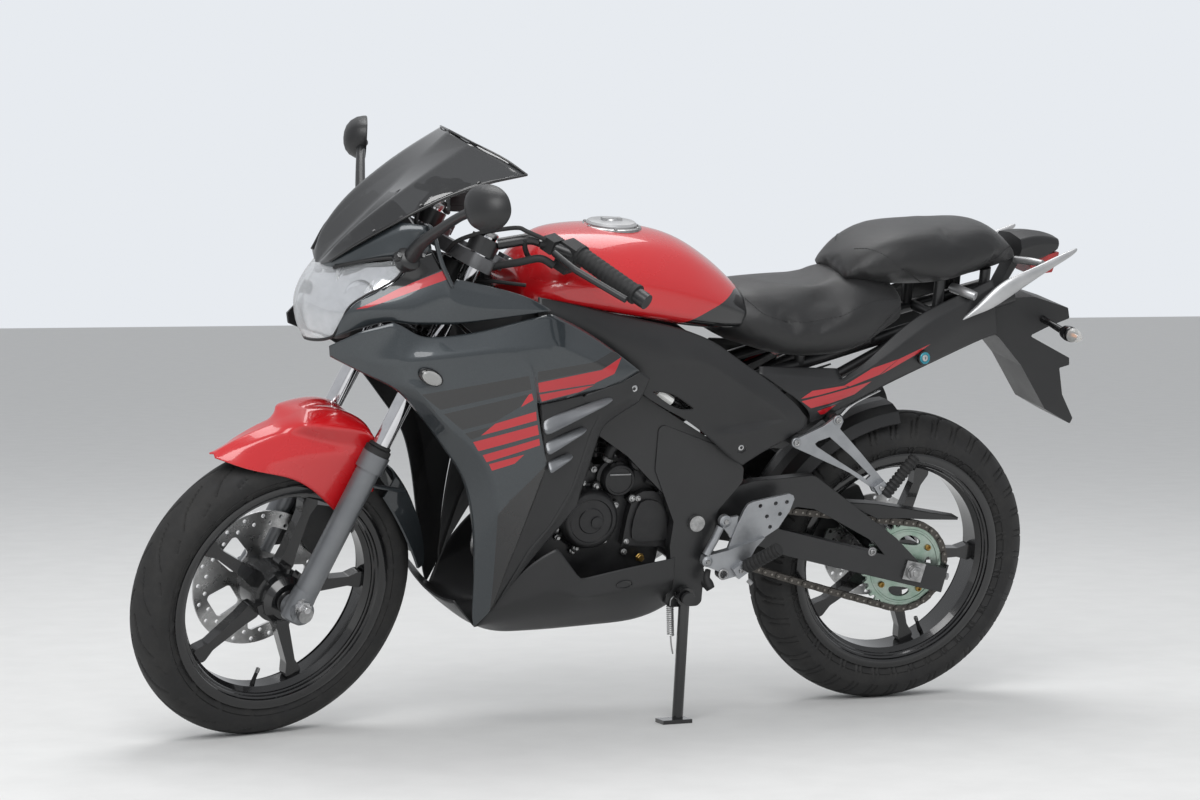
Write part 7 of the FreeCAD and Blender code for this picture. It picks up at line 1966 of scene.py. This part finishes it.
def draw_cables():
    """The cables and hoses between the bars and the fork."""
    form = Form()
    loom = [(-898, -192, 979), (-920, -176, 989), (-950, -152, 976), (-984, -112, 956), (-1017, -72, 926)]
    clutch = [(-919, -184, 1029), (-946, -160, 1039), (-956, -146, 1042), (-978, -120, 1032),
              (-1014, -96, 1018), (-1039, -72, 998), (-1045, -52, 973)]
    hose = [(-941, -150, 1020), (-935, -146, 1001), (-925, -146, 984), (-914, -150, 978)]
    thin = [(-1012, -66, 918), (-984, -100, 926), (-956, -124, 927), (-925, -150, 928)]
    for line, radius in ((loom, 7.5), (clutch, 4.2), (hose, 5.0), (thin, 3.6)):
        form.tube(line, radius, 12, 0, 6)
        if line is not thin:
            form.tube([mirrored(point) for point in line], radius, 12, 0, 6)
    make_piece("bar_cables", form, STEERED, ["soft_rubber"], smooth=60)


def draw_upper_clamp():
    """Rings, pinch bolts and caps of the upper clamp."""
    form = Form()
    for side in (1, -1):
        centre = Vector((-974, -FORK_SIDE * side, 965))
        form.lathe([(-11, 27), (11, 27), (13, 25)], centre, STEER_LINE, 36, 0)
        form.block(centre + Vector((26, -6 * side, 0)), (22, 20, 20), 0,
                   Matrix.Rotation(math.radians(25), 3, "Y"))
        form.bolt(centre + Vector((30, -16 * side, 0)), (0.3, -side, 0), 6, 6, 1)
        cap = FRONT_AXLE * 1000 + Vector((0, FORK_SIDE * side, 0)) + STEER_LINE * FORK_TOP
        form.lathe([(0, 18.6), (8, 18.6), (10, 16), (10, 9), (14, 8), (15, 6)], cap, STEER_LINE, 30, 1)
    make_piece("clamp_details", form, STEERED, ["clamp_silver", "plated_steel"], bevel=0.8,
               smooth=36)


def draw_instruments():
    """The cluster with two dials, their pointers and ticks."""
    form = Form()
    centre = Vector((-1124, 0, 1013))
    face, rise = Vector((0.766, 0, 0.643)), Vector((-0.643, 0, 0.766))
    form.block(centre, (38, 156, 78), 0, Matrix.Rotation(math.radians(-40), 3, "Y"))
    for y, radius in ((-34, 33), (34, 30)):
        at = centre + face * 19 + Vector((0, y, 0))
        form.lathe([(-4, radius + 4), (3, radius + 4), (4, radius + 2), (1.2, radius)], at, face, 44, 1)
        form.lathe([(-2, radius), (1.0, radius), (1.0, 0.1)], at, face, 44, 2)
        form.tube([at + face * 2, at + face * 2 + rise * radius * 0.8 + Vector((0, 4, 0))], [1.6, 0.6], 6, 3)
        for index in range(9):
            turn = math.radians(-120 + 30 * index)
            out = rise * math.cos(turn) + Vector((0, math.sin(turn), 0))
            form.tube([at + face * 1.4 + out * radius * 0.78, at + face * 1.4 + out * radius * 0.93], 0.8, 5,
                      4)
    make_piece("instrument_cluster", form, MACHINE, ["rough_black_plastic", "satin_silver", "gauge_face",
                                                     "red_stripe", "warm_white"],
               ["instruments"], bevel=1.2, smooth=36)


# Swingarm and sprocket


def draw_swingarm():
    """The swingarm's two beams on each side, its cross tubes and the chain guard."""
    outline = [(-530, -116, 452), (-520, -116, 412), (-480, -116, 398), (-353, -116, 375), (-285, -116, 350),
               (-9, -116, 278), (73, -116, 257), (83, -116, 307), (16, -116, 323), (-43, -116, 378),
               (-237, -116, 514), (-247, -116, 517), (-377, -116, 509), (-408, -116, 500), (-440, -116, 462)]
    window = [(-310, -116, 408), (-290, -116, 447), (-274, -116, 452), (-235, -116, 446), (-204, -116, 431),
              (-94, -116, 372), (-69, -116, 345)]
    guard = [(-152, -98, 452), (-84, -98, 446), (-4, -98, 432), (106, -98, 411), (105, -98, 405),
             (42, -98, 408), (-20, -98, 413), (-81, -98, 414), (-118, -98, 432)]
    form = Form()
    for side in (1, -1):
        near, far = sorted((-94 * side, -118 * side))
        plate(form, outline, near, far, [window])
    form.tube([(-505, -112, 436), (-505, 112, 436)], 20, 24, 0)
    form.tube([(-395, -64, 470), (-395, 96, 470)], 24, 24, 0)
    plate(form, guard, -98, -95.5)
    top = [(p[0], p[2]) for p in guard[:4]]
    form.prism(top + [(x, z - 2.6) for x, z in top[::-1]], -98, -69, 0)
    make_piece("swingarm_beams", form, MACHINE, ["satin_enamel"], ["swingarm"], bevel=1.6,
               smooth=34)


def draw_sprocket():
    """The toothed sprocket with its curved windows and its raised ring."""
    teeth, axle_height = 36, 307
    outline = []
    for tooth in range(teeth):
        for share, radius in ((-0.5, 86), (-0.24, 87.5), (-0.1, 94.5), (0.1, 94.5), (0.24, 87.5)):
            turn = 2 * math.pi * (tooth + share) / teeth
            outline.append((radius * math.cos(turn), axle_height + radius * math.sin(turn)))
    windows = [[(22 * math.cos(a), axle_height + 22 * math.sin(a)) for a in
                round_turns(32)]]
    for index in range(4):
        middle = math.radians(82 + 90 * index)
        window = []
        for step in range(20):
            turn = 2 * math.pi * step / 20
            reach, angle = 55 + 10 * math.sin(turn), middle + 25 * math.cos(turn) / 55
            window.append((reach * math.cos(angle), axle_height + reach * math.sin(angle)))
        windows.append(window)
    form = Form()
    plate(form, outline, -83.5, -76.5, windows)
    form.lathe([(-0.5, 73), (1.4, 74), (1.4, 78), (-0.5, 79)], (0, -83.5, axle_height), (0, -1, 0), 90, 0,
               True)
    for index in range(4):
        turn = math.radians(37 + 90 * index)
        spot = (62 * math.cos(turn), -83.5, axle_height + 62 * math.sin(turn))
        form.bolt(spot, (0, -1, 0), 6.5, 5, 1)
    make_piece("sprocket_toothed", form, REAR_WHEEL, ["zinc_plate", "brass_fitting"],
               ["rear_sprocket"], bevel=0.5, smooth=34)


# Stage


# The camera that was fitted to the photograph: its sizes in pixels, its place from the rear tyre's foot
# and its height in metres, and its turn in radians.
PICTURE_WIDTH = 1200
FOCAL_LENGTH = 3083.96
HORIZON_RISE = 153
CAMERA_TURN = 0.389937
CAMERA_X, CAMERA_Y, CAMERA_Z = -2.969, -5.726, 0.9373


def stage_scene(studio):
    """Floor, backdrop, lamps and the camera."""
    world = bpy.data.worlds.new("studio")
    bpy.context.scene.world = world
    world.use_nodes = True
    tree = world.node_tree
    background = tree.nodes["Background"]
    background.inputs["Color"].default_value = (0.90, 0.92, 0.95, 1)
    background.inputs["Strength"].default_value = studio.sky_strength
    seen = node(tree, "ShaderNodeBackground", {"Color": (0.80, 0.83, 0.87, 1), "Strength": 1.0})
    path = node(tree, "ShaderNodeLightPath")
    mix = node(tree, "ShaderNodeMixShader")
    tree.links.new(path.outputs["Is Camera Ray"], mix.inputs[0])
    tree.links.new(background.outputs[0], mix.inputs[1])
    tree.links.new(seen.outputs[0], mix.inputs[2])
    tree.links.new(mix.outputs[0], tree.nodes["World Output"].inputs["Surface"])
    mesh = bpy.data.meshes.new("floor")
    mesh.from_pydata([(-30, -30, 0), (30, -30, 0), (30, 30, 0), (-30, 30, 0)], [], [(0, 1, 2, 3)])
    floor = bpy.data.objects.new("floor", mesh)
    bpy.context.scene.collection.objects.link(floor)
    tone = studio.floor_colour
    coated("floor_pale", tuple(tone), tuple(min(1.0, part + 0.03) for part in tone), 0.8)
    floor.data.materials.append(MATERIALS["floor_pale"])
    for name, place, power, size in (("key", (-2.5, -4.0, 4.5), studio.key_power, 4.0),
                                     ("top", (0.5, 1.5, 5.0), studio.top_power, 3.0)):
        lamp = bpy.data.lights.new(name, "AREA")
        lamp.energy, lamp.size = power, size
        holder = bpy.data.objects.new(name, lamp)
        holder.location = place
        holder.rotation_euler = (Vector((-0.4, 0, 0.6)) - holder.location).to_track_quat("-Z", "Y").to_euler()
        bpy.context.scene.collection.objects.link(holder)
    camera_data = bpy.data.cameras.new("camera")
    camera_data.sensor_width = 36.0
    camera_data.lens = FOCAL_LENGTH / PICTURE_WIDTH * camera_data.sensor_width
    camera = bpy.data.objects.new("camera", camera_data)
    foot = MACHINE_PLACE.translation
    camera.location = (CAMERA_X + foot.x, CAMERA_Y + foot.y, CAMERA_Z)
    camera.rotation_euler = (math.pi / 2 - math.atan(HORIZON_RISE / FOCAL_LENGTH), 0.0, -CAMERA_TURN)
    bpy.context.scene.collection.objects.link(camera)
    bpy.context.scene.camera = camera
    bpy.context.scene.view_settings.view_transform = "Standard"


# Settings that a user may change


class MotorcyclePaint(bpy.types.PropertyGroup):
    """Colours of the bodywork."""

    slate: FloatVectorProperty(
        name="Fairing colour", description="Base colour of the grey fairings", subtype="COLOR",
        default=(0.030, 0.037, 0.042), min=0.0, max=1.0)
    red: FloatVectorProperty(
        name="Tank colour", description="Base colour of the tank and the front mudguard", subtype="COLOR",
        default=(0.56, 0.006, 0.010), min=0.0, max=1.0)
    stripe: FloatVectorProperty(
        name="Stripe colour", description="Colour of the red stripes", subtype="COLOR",
        default=(0.46, 0.004, 0.012), min=0.0, max=1.0)


class MotorcycleSizes(bpy.types.PropertyGroup):
    """Sizes of the dressed pieces."""

    panel_wall: FloatProperty(
        name="Panel wall", description="Thickness of the moulded panels in millimetres", default=2.6, min=1.5,
        max=4.0)
    front_tread: FloatProperty(
        name="Front tread", description="Depth of the front tyre's grooves in millimetres", default=3.6,
        min=0.0, max=5.0)
    rear_tread: FloatProperty(
        name="Rear tread", description="Depth of the rear tyre's grooves in millimetres", default=5.0,
        min=0.0, max=7.0)


class MotorcycleStudio(bpy.types.PropertyGroup):
    """Light and floor of the stage."""

    sky_strength: FloatProperty(
        name="Sky light", description="Strength of the soft light from all round", default=0.62, min=0.0,
        max=2.0)
    key_power: FloatProperty(
        name="Key lamp", description="Power of the large lamp in front", default=230.0, min=0.0, max=2000.0,
        subtype="POWER")
    top_power: FloatProperty(
        name="Top lamp", description="Power of the lamp above the tank", default=90.0, min=0.0, max=2000.0,
        subtype="POWER")
    floor_colour: FloatVectorProperty(
        name="Floor colour", description="Colour of the floor", subtype="COLOR", default=(0.72, 0.72, 0.71),
        min=0.0, max=1.0)


# Operators


class MOTORCYCLE_OT_materials(bpy.types.Operator):
    """Mix the paints and metals, and give every solid of the frame its finish"""

    bl_idname = "motorcycle.materials"
    bl_label = "Paints and Metals"

    def execute(self, context):
        build_materials(context.scene.motorcycle_paint)
        slots = {item["node"]: item["material_slot"] for item in frame["record"]["subparts"]}
        for name, part in frame["nodes"].items():
            part.data.materials.clear()
            part.data.materials.append(MATERIALS[NODE_FINISH.get(name, SLOT_FINISH[slots[name]])])
        return {"FINISHED"}


class MOTORCYCLE_OT_side_fairings(bpy.types.Operator):
    """Draw both side fairings with their stripes"""

    bl_idname = "motorcycle.side_fairings"
    bl_label = "Side Fairings"

    def execute(self, context):
        draw_side_fairings(context.scene.motorcycle_sizes)
        return {"FINISHED"}


class MOTORCYCLE_OT_gill_panels(bpy.types.Operator):
    """Draw the vents behind the side fairings"""

    bl_idname = "motorcycle.gill_panels"
    bl_label = "Gill Panels"

    def execute(self, context):
        draw_gill_panels(context.scene.motorcycle_sizes)
        return {"FINISHED"}


class MOTORCYCLE_OT_belly_pan(bpy.types.Operator):
    """Draw the belly pan below the engine"""

    bl_idname = "motorcycle.belly_pan"
    bl_label = "Belly Pan"

    def execute(self, context):
        draw_belly_pan(context.scene.motorcycle_sizes)
        return {"FINISHED"}


class MOTORCYCLE_OT_nose(bpy.types.Operator):
    """Draw the nose above the headlight"""

    bl_idname = "motorcycle.nose"
    bl_label = "Nose Fairing"

    def execute(self, context):
        draw_nose(context.scene.motorcycle_sizes)
        return {"FINISHED"}


class MOTORCYCLE_OT_headlight(bpy.types.Operator):
    """Draw the headlight with its lenses and reflectors"""

    bl_idname = "motorcycle.headlight"
    bl_label = "Headlight"

    def execute(self, context):
        draw_headlight()
        return {"FINISHED"}


class MOTORCYCLE_OT_screen(bpy.types.Operator):
    """Draw the smoked screen"""

    bl_idname = "motorcycle.screen"
    bl_label = "Screen"

    def execute(self, context):
        draw_screen()
        return {"FINISHED"}


class MOTORCYCLE_OT_mirrors(bpy.types.Operator):
    """Draw both mirrors with their arms"""

    bl_idname = "motorcycle.mirrors"
    bl_label = "Mirrors"

    def execute(self, context):
        draw_mirrors()
        return {"FINISHED"}


class MOTORCYCLE_OT_tank(bpy.types.Operator):
    """Draw the fuel tank and its filler cap"""

    bl_idname = "motorcycle.tank"
    bl_label = "Fuel Tank"

    def execute(self, context):
        draw_tank()
        return {"FINISHED"}


class MOTORCYCLE_OT_seats(bpy.types.Operator):
    """Draw the rider's and the pillion's seat"""

    bl_idname = "motorcycle.seats"
    bl_label = "Seats"

    def execute(self, context):
        draw_seats()
        return {"FINISHED"}


class MOTORCYCLE_OT_tyres(bpy.types.Operator):
    """Draw both tyres with their tread"""

    bl_idname = "motorcycle.tyres"
    bl_label = "Tyres"

    def execute(self, context):
        draw_tyres(context.scene.motorcycle_sizes)
        return {"FINISHED"}


class MOTORCYCLE_OT_wheel_details(bpy.types.Operator):
    """Draw the rims' edges, valves and bolts"""

    bl_idname = "motorcycle.wheel_details"
    bl_label = "Wheel Details"

    def execute(self, context):
        draw_wheel_details()
        return {"FINISHED"}


class MOTORCYCLE_OT_mudguard(bpy.types.Operator):
    """Draw the front mudguard and the fork's details"""

    bl_idname = "motorcycle.mudguard"
    bl_label = "Front Mudguard"

    def execute(self, context):
        draw_mudguard(context.scene.motorcycle_sizes)
        return {"FINISHED"}


class MOTORCYCLE_OT_side_covers(bpy.types.Operator):
    """Draw the covers below the tank"""

    bl_idname = "motorcycle.side_covers"
    bl_label = "Side Covers"

    def execute(self, context):
        draw_side_covers()
        return {"FINISHED"}


class MOTORCYCLE_OT_engine(bpy.types.Operator):
    """Draw the engine's covers and fins"""

    bl_idname = "motorcycle.engine"
    bl_label = "Engine"

    def execute(self, context):
        draw_engine()
        return {"FINISHED"}


class MOTORCYCLE_OT_frame(bpy.types.Operator):
    """Draw bolts and fittings on the frame"""

    bl_idname = "motorcycle.frame"
    bl_label = "Frame Details"

    def execute(self, context):
        draw_frame()
        return {"FINISHED"}


class MOTORCYCLE_OT_springs(bpy.types.Operator):
    """Draw the rear spring's coils"""

    bl_idname = "motorcycle.springs"
    bl_label = "Rear Spring"

    def execute(self, context):
        draw_springs()
        return {"FINISHED"}


class MOTORCYCLE_OT_tail(bpy.types.Operator):
    """Draw the tail fairings"""

    bl_idname = "motorcycle.tail"
    bl_label = "Tail"

    def execute(self, context):
        draw_tail(context.scene.motorcycle_sizes)
        return {"FINISHED"}


class MOTORCYCLE_OT_grab_rails(bpy.types.Operator):
    """Draw the cast grab rails"""

    bl_idname = "motorcycle.grab_rails"
    bl_label = "Grab Rails"

    def execute(self, context):
        draw_grab_rails()
        return {"FINISHED"}


class MOTORCYCLE_OT_rear_indicators(bpy.types.Operator):
    """Draw the indicators front and rear"""

    bl_idname = "motorcycle.rear_indicators"
    bl_label = "Indicators"

    def execute(self, context):
        draw_rear_indicators()
        return {"FINISHED"}


class MOTORCYCLE_OT_footrests(bpy.types.Operator):
    """Draw the footrest hangers and their pegs"""

    bl_idname = "motorcycle.footrests"
    bl_label = "Footrests"

    def execute(self, context):
        draw_footrests()
        return {"FINISHED"}


class MOTORCYCLE_OT_chain(bpy.types.Operator):
    """Draw the chain link by link"""

    bl_idname = "motorcycle.chain"
    bl_label = "Drive Chain"

    def execute(self, context):
        draw_chain()
        return {"FINISHED"}


class MOTORCYCLE_OT_swingarm(bpy.types.Operator):
    """Draw the swingarm's beams and the chain guard"""

    bl_idname = "motorcycle.swingarm"
    bl_label = "Swingarm"

    def execute(self, context):
        draw_swingarm()
        return {"FINISHED"}


class MOTORCYCLE_OT_sprocket(bpy.types.Operator):
    """Draw the toothed sprocket"""

    bl_idname = "motorcycle.sprocket"
    bl_label = "Sprocket"

    def execute(self, context):
        draw_sprocket()
        return {"FINISHED"}


class MOTORCYCLE_OT_rear_hub(bpy.types.Operator):
    """Draw the axle nut and the chain adjusters"""

    bl_idname = "motorcycle.rear_hub"
    bl_label = "Rear Hub"

    def execute(self, context):
        draw_rear_hub()
        return {"FINISHED"}


class MOTORCYCLE_OT_stand_details(bpy.types.Operator):
    """Draw the stand's spring and switch"""

    bl_idname = "motorcycle.stand_details"
    bl_label = "Stand Details"

    def execute(self, context):
        draw_stand_details()
        return {"FINISHED"}


class MOTORCYCLE_OT_small_parts(bpy.types.Operator):
    """Draw the bolts of the panels"""

    bl_idname = "motorcycle.small_parts"
    bl_label = "Panel Bolts"

    def execute(self, context):
        draw_small_parts()
        return {"FINISHED"}


class MOTORCYCLE_OT_bars(bpy.types.Operator):
    """Draw the grips, switches, cables and dials"""

    bl_idname = "motorcycle.bars"
    bl_label = "Bars"

    def execute(self, context):
        draw_grips()
        draw_switches()
        draw_cables()
        draw_upper_clamp()
        draw_instruments()
        return {"FINISHED"}


class MOTORCYCLE_OT_stage(bpy.types.Operator):
    """Set the floor, the lamps and the camera"""

    bl_idname = "motorcycle.stage"
    bl_label = "Stage"

    def execute(self, context):
        stage_scene(context.scene.motorcycle_studio)
        return {"FINISHED"}


OPERATORS = [
    MOTORCYCLE_OT_materials, MOTORCYCLE_OT_side_fairings, MOTORCYCLE_OT_gill_panels,
    MOTORCYCLE_OT_belly_pan, MOTORCYCLE_OT_nose, MOTORCYCLE_OT_headlight, MOTORCYCLE_OT_screen,
    MOTORCYCLE_OT_mirrors, MOTORCYCLE_OT_tank, MOTORCYCLE_OT_seats, MOTORCYCLE_OT_tyres,
    MOTORCYCLE_OT_wheel_details, MOTORCYCLE_OT_mudguard, MOTORCYCLE_OT_side_covers, MOTORCYCLE_OT_engine,
    MOTORCYCLE_OT_frame, MOTORCYCLE_OT_springs, MOTORCYCLE_OT_tail, MOTORCYCLE_OT_grab_rails,
    MOTORCYCLE_OT_rear_indicators, MOTORCYCLE_OT_footrests, MOTORCYCLE_OT_chain, MOTORCYCLE_OT_rear_hub,
    MOTORCYCLE_OT_swingarm, MOTORCYCLE_OT_sprocket, MOTORCYCLE_OT_stand_details, MOTORCYCLE_OT_small_parts,
    MOTORCYCLE_OT_bars, MOTORCYCLE_OT_stage,
]


class MOTORCYCLE_PT_panel(bpy.types.Panel):
    """The sidebar list of the motorcycle's settings and pieces"""

    bl_idname = "MOTORCYCLE_PT_panel"
    bl_label = "Sport Motorcycle"
    bl_space_type = "VIEW_3D"
    bl_region_type = "UI"
    bl_category = "Motorcycle"

    def draw(self, context):
        for group in (context.scene.motorcycle_paint, context.scene.motorcycle_sizes,
                      context.scene.motorcycle_studio):
            box = self.layout.box()
            for name in type(group).__annotations__:
                box.prop(group, name)
        column = self.layout.column()
        for operator in OPERATORS:
            column.operator(operator.bl_idname)


GROUPS = {"motorcycle_paint": MotorcyclePaint, "motorcycle_sizes": MotorcycleSizes,
          "motorcycle_studio": MotorcycleStudio}


def register():
    """Register the settings, the operators and the panel."""
    for name, group in GROUPS.items():
        bpy.utils.register_class(group)
        setattr(bpy.types.Scene, name, bpy.props.PointerProperty(type=group))
    for item in OPERATORS + [MOTORCYCLE_PT_panel]:
        bpy.utils.register_class(item)


def unregister():
    """Take them all away again."""
    for item in [MOTORCYCLE_PT_panel] + OPERATORS[::-1]:
        bpy.utils.unregister_class(item)
    for name, group in GROUPS.items():
        delattr(bpy.types.Scene, name)
        bpy.utils.unregister_class(group)


def main():
    """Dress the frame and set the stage."""
    register()
    for operator in OPERATORS:
        name = operator.bl_idname.split(".")[1]
        result = getattr(bpy.ops.motorcycle, name)()
        if result != {"FINISHED"}:
            raise RuntimeError("operator did not finish: " + name)


if __name__ == "__main__":
    main()
